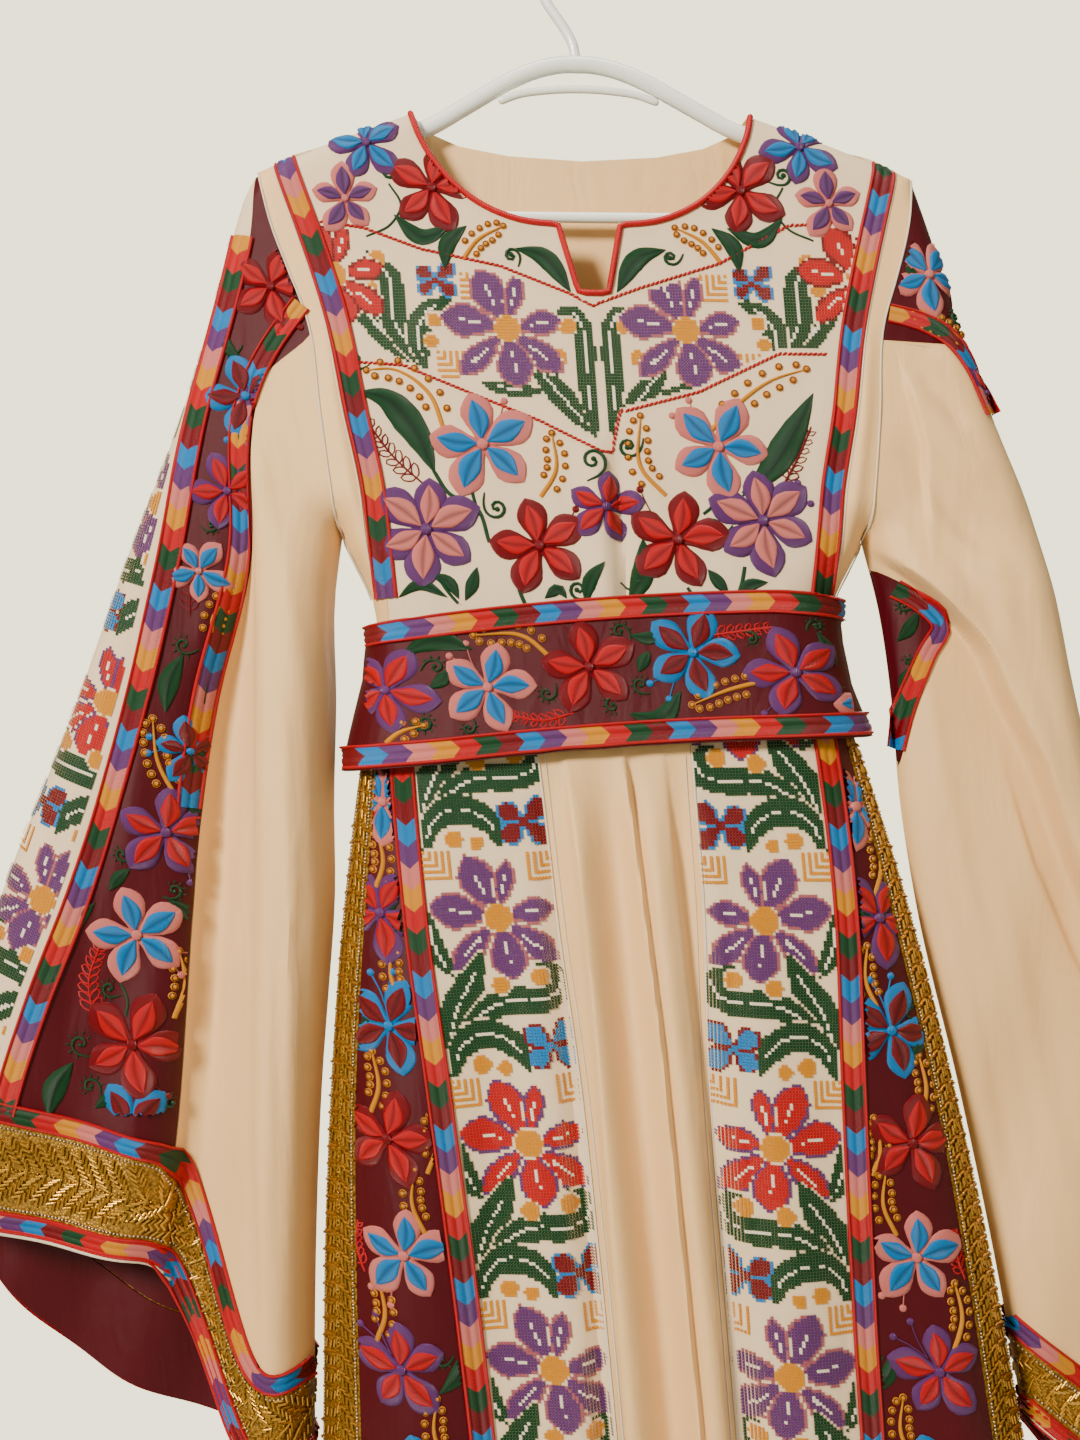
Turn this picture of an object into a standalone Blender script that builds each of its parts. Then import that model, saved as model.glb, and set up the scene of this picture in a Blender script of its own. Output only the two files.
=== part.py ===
"""Palestinian thobe with wide sleeves and a belt, on a plastic hanger.

Built in millimetres in a flat pattern frame, where x runs across the garment and drop
is how far a point hangs below the inside top of the hook, and turned into metres, +Z up,
when each mesh is made. The garment's front faces -Y.
"""

import math
from collections import namedtuple

import bmesh
import bpy
import numpy as np

MM = 0.001
TILT = math.tan(math.radians(4.6))  # the hanger leans, so each side hangs lower or higher
CLOTH = 2.0  # thickness of a cloth wall
SEAM = 0.3  # space between two pieces at a seam
TRIM_CLEAR = 0.6  # space under a sewn-on braid or piping
TRIM = 1.5  # thickness of a sewn-on braid or piping
BRAID_WIDTH = 16.0
PIPING_WIDTH = 4.0
NECK_X = 111.0  # half width of the neck at the shoulder seam
WAIST = 507.0  # drop of the seam between bodice and skirt, under the belt
HEM = 1550.0  # drop of the skirt's hem
ARMPIT = 408.0
BELT_TOP = 451.0
BELT_HEIGHT = 97.0
BELT_SIDE_SAG = 6.0
BELT_THICK = 3.0
BELT_STAND_OFF = 4.0  # belt to dress at the belt's top edge
BELT_FLARE = 5.0  # how much further it stands off at its lower edge
BELT_TRIM_SHARE = 0.115
ARM_RADIUS = 5.5
BAR_RADIUS = 3.5
STRAP_RADIUS = 2.5
HOOK_RADIUS = 3.5
HOOK_TURN = 25.0  # radius of the hook's own bend
FACING = 1.0  # thickness of the cuffs' facing
PIPING_CLEAR = 0.9
SKIRT_ROWS = 11
SLEEVE_ROWS = 6
# Pieces that meet share their rows. The yoke's rows are shares from the shoulder down to its end.
YOKE_END = 280.0
YOKE_SHARES = (0, 0.044, 0.2, 0.45, 0.7, 1)
ARM_STATIONS = (308, 330, 370, ARMPIT)
WAIST_STATIONS = (430, 457, 482, WAIST - SEAM / 2)
PATCH_STATIONS = (430, 446, 464, 487, 521, 555)

# Half widths of the bodice at each drop: the chest braid's middle, and the armhole or side seam.
Bodice = namedtuple("Bodice", "drop braid side")
BODICE = (
    Bodice(120, 205, 228),
    Bodice(167, 196, 216),
    Bodice(208, 184, 208),
    Bodice(236, 176, 199),
    Bodice(268, 168, 188),
    Bodice(333, 157, 181),
    Bodice(380, 148, 176),
    Bodice(408, 145, 172),
    Bodice(457, 140, 151),
    Bodice(507, 138, 153),
)
# Half widths of the skirt's panels, each to its outer edge.
Skirt = namedtuple("Skirt", "drop centre strip maroon side")
SKIRT = (
    Skirt(507, 50, 134, 147, 153),
    Skirt(560, 48, 136, 154, 167),
    Skirt(648, 46, 136, 168, 186),
    Skirt(765, 40, 130, 184, 205),
    Skirt(875, 38, 125, 193, 219),
    Skirt(1000, 37, 121, 200, 231),
    Skirt(1550, 36, 113, 240, 290),
)
# Where the middle of the garment lies, because it sags a little to one side.
Line = namedtuple("Line", "drop x")
MIDDLE = (
    Line(120, 0), Line(250, 0), Line(333, -2), Line(408, -5),
    Line(457, -8), Line(648, -6), Line(765, -4), Line(1000, 0), Line(1550, 4),
)
# Half depth of the garment in front and behind, and how far in from a fold it is reached.
Depth = namedtuple("Depth", "drop front back reach")
DEPTH = (
    Depth(120, 11, 11, 14),
    Depth(170, 14, 14, 15),
    Depth(250, 21, 20, 20),
    Depth(330, 28, 25, 24),
    Depth(408, 32, 28, 28),
    Depth(457, 37, 31, 42),
    Depth(507, 40, 34, 48),
    Depth(560, 46, 38, 56),
    Depth(648, 53, 44, 66),
    Depth(765, 59, 50, 76),
    Depth(1000, 66, 60, 88),
    Depth(1550, 84, 78, 100),
)
SLEEVE_DEPTH = 30.0
SLEEVE_REACH = 26.0

Point = namedtuple("Point", "x drop")
NECK_FRONT = (
    Point(0, 249), Point(8.5, 249), Point(19, 203), Point(45, 200), Point(72, 188),
    Point(95, 165), Point(106, 144), Point(NECK_X, 126),
)
NECK_BACK = (
    Point(0, 152), Point(50, 149), Point(82, 143), Point(100, 135), Point(NECK_X, 126),
)
SHOULDER = (Point(NECK_X, 126), Point(165, 146), Point(216, 167))
# Outer fold of each sleeve, from the shoulder's end down.
OUTER_LEFT = (
    Point(226, 184), Point(234, 205), Point(251, 254), Point(274, 320), Point(321, 427),
    Point(360, 520), Point(421, 652), Point(471, 781), Point(492, 842), Point(510, 900),
)
OUTER_RIGHT = (
    Point(222, 188), Point(229, 214), Point(241, 262), Point(261, 333), Point(278, 385),
    Point(289, 435), Point(298, 503), Point(306, 556), Point(320, 650), Point(332, 760),
    Point(342, 880), Point(349, 1000), Point(353, 1100),
)
# Underarm fold of each sleeve, from the armpit down.
UNDER_LEFT = (
    Line(450, 185), Line(519, 189), Line(585, 195), Line(650, 199), Line(716, 208),
    Line(765, 215), Line(875, 227), Line(961, 234), Line(1060, 240),
)
UNDER_RIGHT = (
    Line(450, 175), Line(514, 180), Line(582, 181), Line(651, 187), Line(773, 207),
    Line(896, 224), Line(940, 229), Line(1060, 243),
)

Surface = namedtuple("Surface", "facing half reach relief edges")


def blend(at, stations, values):
    """Smooth curve through a table, straight beyond its ends."""
    s = np.asarray(stations, float)
    v = np.asarray(values, float)
    at = np.asarray(at, float)
    step = np.diff(s)
    slope = np.diff(v) / step
    middle = (slope[:-1] * step[1:] + slope[1:] * step[:-1]) / (step[:-1] + step[1:])
    tangent = np.concatenate([slope[:1], middle, slope[-1:]])
    i = np.clip(np.searchsorted(s, at, side="right") - 1, 0, len(step) - 1)
    t = np.clip((at - s[i]) / step[i], 0.0, 1.0)
    inside = (
        v[i] * (1 + 2 * t) * (1 - t) ** 2
        + v[i + 1] * t * t * (3 - 2 * t)
        + tangent[i] * step[i] * t * (1 - t) ** 2
        - tangent[i + 1] * step[i] * t * t * (1 - t)
    )
    below = np.minimum(at - s[0], 0.0) * tangent[0]
    above = np.maximum(at - s[-1], 0.0) * tangent[-1]
    return inside + below + above


def column(rows, name):
    return [getattr(row, name) for row in rows]


def level(rows, name, drop):
    return blend(drop, column(rows, "drop"), column(rows, name))


def ramp(value, start, end):
    """0 before start, 1 after end, and a soft step between."""
    t = np.clip((np.asarray(value, float) - start) / (end - start), 0.0, 1.0)
    return t * t * (3 - 2 * t)


def ridge(value, middle, width):
    return np.exp(-(((value - middle) / width) ** 2))


def middle_x(drop):
    return level(MIDDLE, "x", drop)


def side_x(drop, side):
    """The armhole and the bodice's side seam."""
    return middle_x(drop) + side * level(BODICE, "side", drop)


def skirt_x(drop, side, name):
    return middle_x(drop) + side * level(SKIRT, name, drop)


def dense(points, steps=6):
    """More points on a smooth line through the given ones."""
    p = np.array(points, float)
    along = np.concatenate([[0], np.cumsum(np.linalg.norm(np.diff(p, axis=0), axis=1))])
    at = np.unique(
        np.concatenate([np.linspace(a, b, steps + 1) for a, b in zip(along[:-1], along[1:])])
    )
    return np.stack([blend(at, along, p[:, k]) for k in range(2)], axis=1)


def outline(side):
    """The fold that the front and back share, from the neck over the shoulder to the cuff."""
    outer = OUTER_LEFT if side < 0 else OUTER_RIGHT
    shoulder = dense(SHOULDER)
    sleeve = dense((SHOULDER[-1],) + outer)
    line = np.concatenate([shoulder, sleeve[1:]])
    return line * [side, 1]


def under_x(drop, side):
    """The underarm fold below the armpit, and the armhole above it."""
    rows = UNDER_LEFT if side < 0 else UNDER_RIGHT
    start = Line(ARMPIT, abs(float(side_x(ARMPIT, side))))
    sleeve = side * level((start,) + rows, "x", drop)
    return np.where(np.asarray(drop) <= ARMPIT, side_x(drop, side), sleeve)


def outer_x(drop, side):
    line = outline(side)
    return side * np.interp(drop, line[:, 1], np.abs(line[:, 0]))


def shoulder_drop(x):
    line = dense(SHOULDER)
    return np.interp(np.abs(x), line[:, 0], line[:, 1])


def drops_down(start, end, step=12.0):
    return np.linspace(start, end, max(2, int((end - start) / step)))


def torso_edges():
    """(line, which side of it is cloth) for each fold that closes the bodice and skirt."""
    found = []
    for side in (-1, 1):
        bodice = drops_down(ARMPIT, WAIST)
        skirt = drops_down(WAIST, HEM + 60)[1:]
        seam = np.concatenate(
            [
                np.stack([side_x(bodice, side), bodice], axis=1),
                np.stack([skirt_x(skirt, side, "side"), skirt], axis=1),
            ]
        )
        found += [(outline(side), side), (seam, side)]
    return found


def sleeve_edges(side):
    drops = drops_down(ARMPIT, HEM)
    under = np.stack([under_x(drops, side), drops], axis=1)
    return [(outline(side), side), (under, -side)]


def nearest_edge(x, drop, edges):
    """Distance to the nearest closing fold, and the outward direction there."""
    p = np.stack([x, drop], axis=-1)[..., None, :]
    best = np.full(x.shape, np.inf)
    out = np.zeros(x.shape + (2,))
    for line, turn in edges:
        a = line[:-1]
        t = np.diff(line, axis=0)
        long = np.maximum((t * t).sum(axis=1), 1e-9)
        share = np.clip(((p - a) * t).sum(axis=-1) / long, 0, 1)
        gap = np.linalg.norm(p - a - share[..., None] * t, axis=-1)
        index = gap.argmin(axis=-1)
        near = np.take_along_axis(gap, index[..., None], axis=-1)[..., 0]
        unit = t / np.sqrt(long)[:, None]
        outward = -turn * np.stack([-unit[:, 1], unit[:, 0]], axis=1)
        closer = near < best
        best = np.where(closer, near, best)
        out = np.where(closer[..., None], outward[index], out)
    return best, out


def depth_at(surface, x, drop):
    gap, _ = nearest_edge(x, drop, surface.edges)
    t = np.clip((gap - SEAM / 2) / surface.reach(drop), 0.0, 1.0)
    rounding = np.sqrt(np.maximum(1 - (1 - t) ** 2, 0.0))
    full = surface.half(drop) + surface.relief(x, drop)
    return surface.facing * (full * rounding + SEAM / 2)


def lift(surface, x, drop):
    """Points of a cloth surface and its outward normals, in millimetres."""
    x = np.asarray(x, float)
    drop = np.asarray(drop, float)
    y = depth_at(surface, x, drop)
    gap, out = nearest_edge(x, drop, surface.edges)
    inward = np.where(gap < 0.6, 0.6 - gap, 0.0)
    px = x - out[..., 0] * inward
    pd = drop - out[..., 1] * inward
    h = 0.4
    across = (depth_at(surface, px + h, pd) - depth_at(surface, px - h, pd)) / (2 * h)
    down = (depth_at(surface, px, pd + h) - depth_at(surface, px, pd - h)) / (2 * h)
    f = surface.facing
    normal = np.stack([-f * across, np.full_like(y, f), f * down], axis=-1)
    normal /= np.linalg.norm(normal, axis=-1, keepdims=True)
    share = np.clip(1 - gap / 0.8, 0, 1)[..., None]
    flat = np.stack([out[..., 0], np.zeros_like(y), -out[..., 1]], axis=-1)
    normal = normal * (1 - share) + flat * share
    normal /= np.linalg.norm(normal, axis=-1, keepdims=True)
    return np.stack([x, y, -drop], axis=-1), normal


def world(points):
    """Millimetres in the pattern frame to metres, with the hanger's lean."""
    p = np.array(points, float)
    p[..., 2] -= TILT * p[..., 0]
    return p * MM


def front_relief(x, drop):
    """Folds of the front of the bodice and skirt, outward."""
    rel = x - middle_x(drop)
    beside = (level(BODICE, "braid", drop) + level(BODICE, "side", drop)) / 2
    chest = ramp(drop, 250, 320) * (1 - ramp(drop, 420, 455))
    folds = 4.0 * ridge(np.abs(rel), beside + 1, 6.0) * chest
    pinch = ramp(drop, 340, 380) * (1 - ramp(drop, 450, 490))
    folds += (4.0 * ridge(x, -9, 10.0) - 7.0 * ridge(x, 7, 6.0)) * pinch
    below = ramp(drop, 545, 630)
    wide = 1 - ramp(np.abs(rel), 36, 62)
    lean = 16 + 0.012 * (drop - 560)
    pleat = np.cos(2 * math.pi * (rel - lean) / 46.0)
    folds += (8.0 + 0.006 * (drop - 560)) * pleat * wide * below
    flare = 0.012 * (drop - 560) * ramp(drop, 560, 800)
    folds += flare * np.cos(2 * math.pi * (rel + 0.04 * drop) / 118.0) * (1 - wide)
    return folds


def back_relief(x, drop):
    rel = x - middle_x(drop)
    below = ramp(drop, 545, 700)
    folds = (6.0 + 0.006 * (drop - 560)) * below * np.cos(2 * math.pi * (rel - 9) / 74.0)
    above = ramp(drop, 180, 300) * (1 - ramp(drop, 420, 470))
    inner = 1 - ramp(np.abs(rel), 120, 160)
    return folds * (1 - ramp(np.abs(rel), 130, 210) * 0.5) + 3.0 * above * inner * np.cos(rel / 21.0)


# Lines that cross the left sleeve, as distances out from the garment's middle.
LeftLine = namedtuple("LeftLine", "drop strip maroon gore fold")
LEFT_LINES = (
    LeftLine(172, 218.6, 217.4, 215.0, 215.0),
    LeftLine(210, 231, 221, 207.5, 207.5),
    LeftLine(280, 251, 241, 186, 186),
    LeftLine(308, 259, 251, 217, 216),
    LeftLine(322, 264, 255, 222, 221),
    LeftLine(427, 293, 280, 235, 231),
    LeftLine(520, 320, 307, 265, 238),
    LeftLine(652, 368, 355, 290, 248),
    LeftLine(718, 398, 384, 299, 254),
    LeftLine(790, 425, 411, 309, 261),
    LeftLine(885, 444, 430, 325, 268),
    LeftLine(1030, 470, 456, 345, 280),
)
# The right sleeve turns its plain side to the front: maroon shows by the shoulder and underarm.
RIGHT_GORE = (
    Line(172, 215), Line(210, 208), Line(262, 196), Line(280, 222), Line(308, 243),
    Line(330, 258),
)
RIGHT_UNDER_PATCH = (
    Line(430, 3), Line(446, 27), Line(464, 40), Line(487, 27), Line(521, 11), Line(555, 1.5),
)
RIGHT_FOLD = (
    Line(407, 160), Line(422, 175), Line(438, 195), Line(453, 210), Line(475, 229),
    Line(514, 245), Line(553, 262), Line(604, 277), Line(660, 296), Line(720, 316),
    Line(780, 340), Line(900, 400),
)
Cuff = namedtuple("Cuff", "share drop wide deep")
# Along each cuff from the underarm out: where the cloth ends, and the gold band's reach.
LEFT_CUFF = (
    Cuff(0.0, 959, 3, 58), Cuff(0.14, 964, 4, 57), Cuff(0.2, 950, 8, 57), Cuff(0.3, 880, 14, 58),
    Cuff(0.4, 818, 14, 66), Cuff(0.55, 806, 14, 70), Cuff(0.75, 791, 16, 73),
    Cuff(0.8, 787, 16, 73), Cuff(1.0, 781, 21, 61),
)
RIGHT_CUFF = (
    Cuff(0.0, 926, 6, 58), Cuff(0.4, 968, 4, 58), Cuff(0.7, 992, 2, 58), Cuff(1.0, 1000, 2, 58),
)
LEFT_SHARES = (0.0, 0.2, 0.4, 0.75, 0.8, 1.0)  # underarm, fold, gore, maroon, strip, outer fold
LEFT_FRONT_SHARES = (
    0.0, 0.06, 0.13, 0.2, 0.24, 0.28, 0.32, 0.36, 0.4, 0.49, 0.58, 0.67, 0.75, 0.8, 0.87, 0.94, 1.0,
)
RIGHT_FRONT_SHARES = (0.0, 0.1, 0.2, 0.3, 0.4, 0.5, 0.6, 0.7, 0.8, 0.92, 1.0)
BACK_SHARES = {
    -1: (0.0, 0.1, 0.2, 0.31, 0.42, 0.53, 0.64, 0.74, 0.83, 0.92, 1.0),
    1: (0.0, 0.1, 0.22, 0.36, 0.46, 0.56, 0.66, 0.76, 0.84, 0.93, 1.0),
}
BACK_PARTS = {
    -1: (("gore", 0, 4, "beige"), ("maroon", 4, 7, "maroon"), ("strip", 7, 10, "cream")),
    1: (
        ("gore", 0, 3, "beige"), ("maroon", 3, 5, "maroon"), ("strip", 5, 8, "cream"),
        ("maroon_outer", 8, 10, "maroon"),
    ),
}
BACK_LOWER = 46.0  # the back of a cuff hangs this much lower at its middle


def left_relief(x, drop):
    """The front column of the left sleeve, and the hollow beside it."""
    out = np.abs(x)
    gore = level(LEFT_LINES, "gore", drop)
    fold = level(LEFT_LINES, "fold", drop)
    under = np.abs(under_x(drop, -1))
    on = ramp(drop, 380, 540)
    column_ridge = 9.0 * ridge(out, (fold + under) / 2, 22.0)
    hollow = -25.0 * ridge(out, 0.35 * fold + 0.65 * gore, 0.34 * (gore - fold) + 8)
    waves = 3.5 * np.cos((out - 0.4 * drop) / 17.0) * ramp(drop, 480, 700)
    return (column_ridge + hollow + waves * ramp(out, gore, gore + 25)) * on


def right_relief(x, drop):
    """The sleeve's front fold, which stands proud of the cloth under it."""
    fold = level(RIGHT_FOLD, "x", drop)
    on = ramp(drop, 395, 450)
    proud = 10.0 * on
    sunk = 24.0 * (1 - ramp(x, fold - 3, fold + 9)) * on
    waves = 3.0 * np.cos((x + 0.35 * drop) / 15.0) * ramp(drop, 560, 760)
    return proud * (1 - ramp(drop, 700, 850)) - sunk * (1 - 0.5 * ramp(drop, 760, 950)) + waves


def sleeve_back_relief(x, drop):
    return 4.0 * np.cos((np.abs(x) - 0.42 * drop) / 16.0) * ramp(drop, 430, 640)


def torso(facing):
    name = "front" if facing < 0 else "back"
    return Surface(
        facing,
        lambda drop: level(DEPTH, name, drop),
        lambda drop: level(DEPTH, "reach", drop),
        front_relief if facing < 0 else back_relief,
        torso_edges(),
    )


def sleeve(facing, side):
    name = "front" if facing < 0 else "back"
    relief = sleeve_back_relief
    if facing < 0:
        relief = left_relief if side < 0 else right_relief
    return Surface(
        facing,
        lambda drop: np.minimum(level(DEPTH, name, np.minimum(drop, 408)), SLEEVE_DEPTH),
        lambda drop: np.minimum(level(DEPTH, "reach", np.minimum(drop, 408)), SLEEVE_REACH),
        relief,
        sleeve_edges(side),
    )


def material(name, colour, roughness, metallic=0.0):
    found = bpy.data.materials.get(name)
    if found:
        return found
    made = bpy.data.materials.new(name)
    made.use_nodes = True
    shader = made.node_tree.nodes["Principled BSDF"]
    shader.inputs["Base Color"].default_value = (*colour, 1.0)
    shader.inputs["Roughness"].default_value = roughness
    shader.inputs["Metallic"].default_value = metallic
    return made


def beige():
    return material("beige_crepe", (0.73, 0.58, 0.43), 0.6)


def cream():
    return material("cream_crepe", (0.80, 0.68, 0.54), 0.7)


def maroon():
    return material("maroon_satin", (0.12, 0.010, 0.022), 0.4)


def gold():
    return material("gold_beads", (0.55, 0.33, 0.06), 0.35, 0.8)


def braid():
    return material("braid", (0.70, 0.05, 0.05), 0.6)


def plastic():
    return material("white_plastic", (0.86, 0.87, 0.83), 0.25)


def wall(name, outer, inner, finish):
    """A closed solid between two grids of points, each rows by columns."""
    rows, cols = outer.shape[:2]
    points = np.concatenate([outer.reshape(-1, 3), inner.reshape(-1, 3)])
    under = rows * cols
    faces = []
    for r in range(rows - 1):
        for c in range(cols - 1):
            a, b = r * cols + c, (r + 1) * cols + c
            if abs(outer[r, c + 1, 0]) >= abs(outer[r, c, 0]):
                halves = [a, b, b + 1], [a, b + 1, a + 1]
            else:
                halves = [a, b, a + 1], [a + 1, b, b + 1]
            for face in halves:
                faces += [face, [under + i for i in reversed(face)]]
    rims = [[r * cols + c for r in range(rows)] for c in (0, cols - 1)]
    rims += [[r * cols + c for c in range(cols)] for r in (0, rows - 1)]
    for rim in rims:
        for i, j in zip(rim[:-1], rim[1:]):
            faces += [[i, j, under + j], [i, under + j, under + i]]
    mesh = bpy.data.meshes.new(name)
    mesh.from_pydata(world(points).tolist(), [], faces)
    shape = bmesh.new()
    shape.from_mesh(mesh)
    bmesh.ops.recalc_face_normals(shape, faces=shape.faces)
    if shape.calc_volume(signed=True) < 0:
        bmesh.ops.reverse_faces(shape, faces=shape.faces)
    shape.to_mesh(mesh)
    shape.free()
    mesh.shade_smooth()
    mesh.set_sharp_from_angle(angle=math.radians(50))
    mesh.materials.append(finish)
    made = bpy.data.objects.new(name, mesh)
    bpy.context.scene.collection.objects.link(made)
    return made


def cloth(name, surface, x, drop, finish, low=-CLOTH, high=0.0):
    """A wall whose outer and inner points stand off the surface by high and low."""
    points, normal = lift(surface, x, drop)
    high = np.broadcast_to(high, x.shape)[..., None]
    low = np.broadcast_to(low, x.shape)[..., None]
    return wall(name, points + normal * high, points + normal * low, finish)


def trim(name, surface, x, drop, finish, clear=TRIM_CLEAR):
    return cloth(name, surface, x, drop, finish, low=clear, high=clear + TRIM)


def between(low, high, share):
    return low + (high - low) * share


def laid_out(columns, drops):
    """x and drop of a panel's points. Each column is its top and its line, x by drop."""
    drop = np.stack([drops(top) for top, _ in columns], axis=1)
    x = np.stack([line(drop[:, i]) for i, (_, line) in enumerate(columns)], axis=1)
    return x, drop


def bodice_drops(top):
    upper = [between(top, YOKE_END, share) for share in YOKE_SHARES]
    return np.array(upper + list(ARM_STATIONS) + list(WAIST_STATIONS))


def skirt_drops(top):
    return np.linspace(top, HEM, SKIRT_ROWS + 1)


def braid_line(side, offset):
    return lambda drop: middle_x(drop) + side * (level(BODICE, "braid", drop) + offset)


def armhole_line(side, share):
    """Between the braid's outer edge, share 0, and the armhole or side seam, share 1."""

    def line(drop):
        inner = level(BODICE, "braid", drop) + BRAID_WIDTH / 2
        outer = level(BODICE, "side", drop) - np.where(drop < ARMPIT - 1, SEAM / 2, 0)
        return middle_x(drop) + side * between(inner, outer, share)

    return line


def yoke_top(x):
    return float(shoulder_drop(x))


def bib_columns():
    """The bib's columns run from the neck's own points and the shoulder down to the belt."""
    starts = [(p.x, p.drop) for p in NECK_FRONT] + [(x, yoke_top(x)) for x in (140.0, 168.0)]
    columns = []
    for side in (1, -1):
        half = []
        for x, drop in starts[side < 0 :]:
            share = side * x / (float(level(BODICE, "braid", drop)) - BRAID_WIDTH / 2)
            half.append((drop, scaled_line(share)))
        half.append((yoke_top(188.0), braid_line(side, -BRAID_WIDTH / 2)))
        half.append((yoke_top(196.0), braid_line(side, -SEAM / 2)))
        columns = half[::-1] + columns if side < 0 else half
    return columns


def scaled_line(share):
    return lambda drop: middle_x(drop) + share * (level(BODICE, "braid", drop) - BRAID_WIDTH / 2)


def bodice(front, back):
    cloth("bodice_bib_front", front, *laid_out(bib_columns(), bodice_drops), cream())
    for side, label in ((-1, "left"), (1, "right")):
        columns = [
            (yoke_top(196.0), braid_line(side, SEAM / 2)),
            (yoke_top(204.0), armhole_line(side, 0.0)),
            (yoke_top(210.0), armhole_line(side, 0.5)),
            (yoke_top(216.0), armhole_line(side, 1.0)),
        ]
        x, drop = laid_out(columns, bodice_drops)
        cloth(f"bodice_side_front_{label}", front, x, drop, beige())

        columns = [
            (yoke_top(196.0 + offset), braid_line(side, offset))
            for offset in (-BRAID_WIDTH / 2, 0.0, BRAID_WIDTH / 2)
        ]
        x, drop = laid_out(columns, bodice_drops)
        trim(f"chest_braid_{label}", front, x[1:-2], drop[1:-2], braid())

    def back_line(share):
        return lambda drop: middle_x(drop) + share * level(BODICE, "side", drop)

    starts = [(p.x, p.drop) for p in NECK_BACK] + [(150.0, yoke_top(150.0)), (186.0, yoke_top(186.0))]
    right = []
    for x, drop in starts:
        share = x / float(level(BODICE, "side", drop))
        right.append((drop, share))
    columns = [(drop, back_line(-share)) for drop, share in right[:0:-1]]
    columns += [(drop, back_line(share)) for drop, share in right]
    columns.insert(0, (yoke_top(216.0), armhole_line(-1, 1.0)))
    columns.append((yoke_top(216.0), armhole_line(1, 1.0)))
    cloth("bodice_back", back, *laid_out(columns, bodice_drops), beige())


def neck_piping(front):
    half = [(p.x, p.drop) for p in NECK_FRONT[:-1]] + [(109.0, 134.0)]
    line = np.array([(-x, d) for x, d in half[:0:-1]] + half, float)
    line[:, 0] += middle_x(line[:, 1])
    step = np.diff(line, axis=0)
    unit = step / np.linalg.norm(step, axis=1, keepdims=True)
    side = np.stack([-unit[:, 1], unit[:, 0]], axis=1)
    before = np.concatenate([side[:1], side])
    after = np.concatenate([side, side[-1:]])
    mitre = before + after
    mitre /= (mitre * before).sum(axis=1, keepdims=True)
    rows = np.stack([line + mitre * SEAM, line + mitre * PIPING_WIDTH])
    cord = material("red_cord", (0.62, 0.02, 0.03), 0.6)
    trim("neck_piping", front, rows[..., 0], rows[..., 1], cord, clear=PIPING_CLEAR)


def belt_grid(shares, rows):
    """Belt points: the belt lies level, so its drop in the leaning frame changes with x."""
    across, down = np.meshgrid(shares, rows)
    angle = across * math.pi / 2
    half = between(level(BODICE, "side", 457.0), level(SKIRT, "side", 548.0), down)
    x = middle_x(WAIST) + np.sin(angle) * half
    drop = BELT_TOP + BELT_SIDE_SAG * np.sin(angle) ** 2 + BELT_HEIGHT * down - TILT * x
    half = np.where(drop < WAIST, level(BODICE, "side", drop), level(SKIRT, "side", drop))
    return middle_x(drop) + np.sin(angle) * half, drop, BELT_STAND_OFF + BELT_FLARE * down


def belt(front, back):
    shares = np.linspace(-1, 1, 17)
    strip = BELT_TRIM_SHARE
    for surface, label in ((front, "front"), (back, "back")):
        x, drop, low = belt_grid(shares, (0, strip, 0.5, 1 - strip, 1))
        cloth(f"belt_{label}", surface, x, drop, maroon(), low, low + BELT_THICK)
        for place, rows in (("top", (0, strip)), ("bottom", (1 - strip, 1))):
            x, drop, low = belt_grid(shares, rows)
            low = low + BELT_THICK + TRIM_CLEAR
            cloth(f"belt_braid_{place}_{label}", surface, x, drop, braid(), low, low + TRIM)


def skirt(front, back):
    top = WAIST + SEAM / 2

    def line(side, name, offset=0.0):
        return lambda drop: skirt_x(drop, side, name) + side * offset

    def mixed(low, high, share):
        return lambda drop: between(low(drop), high(drop), share)

    def panel(name, surface, lines, finish):
        x, drop = laid_out([(top, each) for each in lines], skirt_drops)
        cloth(name, surface, x, drop, finish)

    edges = line(-1, "centre", -SEAM / 2), line(1, "centre", -SEAM / 2)
    panel(
        "skirt_centre_front", front, [mixed(*edges, s) for s in np.linspace(0, 1, 15)], beige()
    )
    edges = line(-1, "side"), line(1, "side")
    shares = 0.5 + 0.5 * np.sin(np.linspace(-1, 1, 17) * math.pi / 2)
    panel("skirt_back", back, [mixed(*edges, s) for s in shares], beige())
    half = BRAID_WIDTH / 2
    for side, label in ((-1, "left"), (1, "right")):
        edges = line(side, "centre", SEAM / 2), line(side, "strip", -half)
        lines = [mixed(*edges, s) for s in (0, 0.34, 0.67, 1)] + [line(side, "strip", -SEAM / 2)]
        panel(f"skirt_strip_{label}", front, lines, cream())
        edges = line(side, "strip", half), line(side, "maroon", -SEAM / 2)
        lines = [line(side, "strip", SEAM / 2)] + [mixed(*edges, s) for s in (0, 0.34, 0.67, 1)]
        panel(f"skirt_maroon_{label}", front, lines, maroon())
        edges = line(side, "maroon", SEAM / 2), line(side, "side")
        panel(f"skirt_gold_{label}", front, [mixed(*edges, s) for s in (0, 0.45, 0.8, 1)], gold())
        lines = [line(side, "strip", offset) for offset in (-half, 0.0, half)]
        x, drop = laid_out([(top, each) for each in lines], skirt_drops)
        trim(f"skirt_braid_{label}", front, x, drop, braid())


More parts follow.
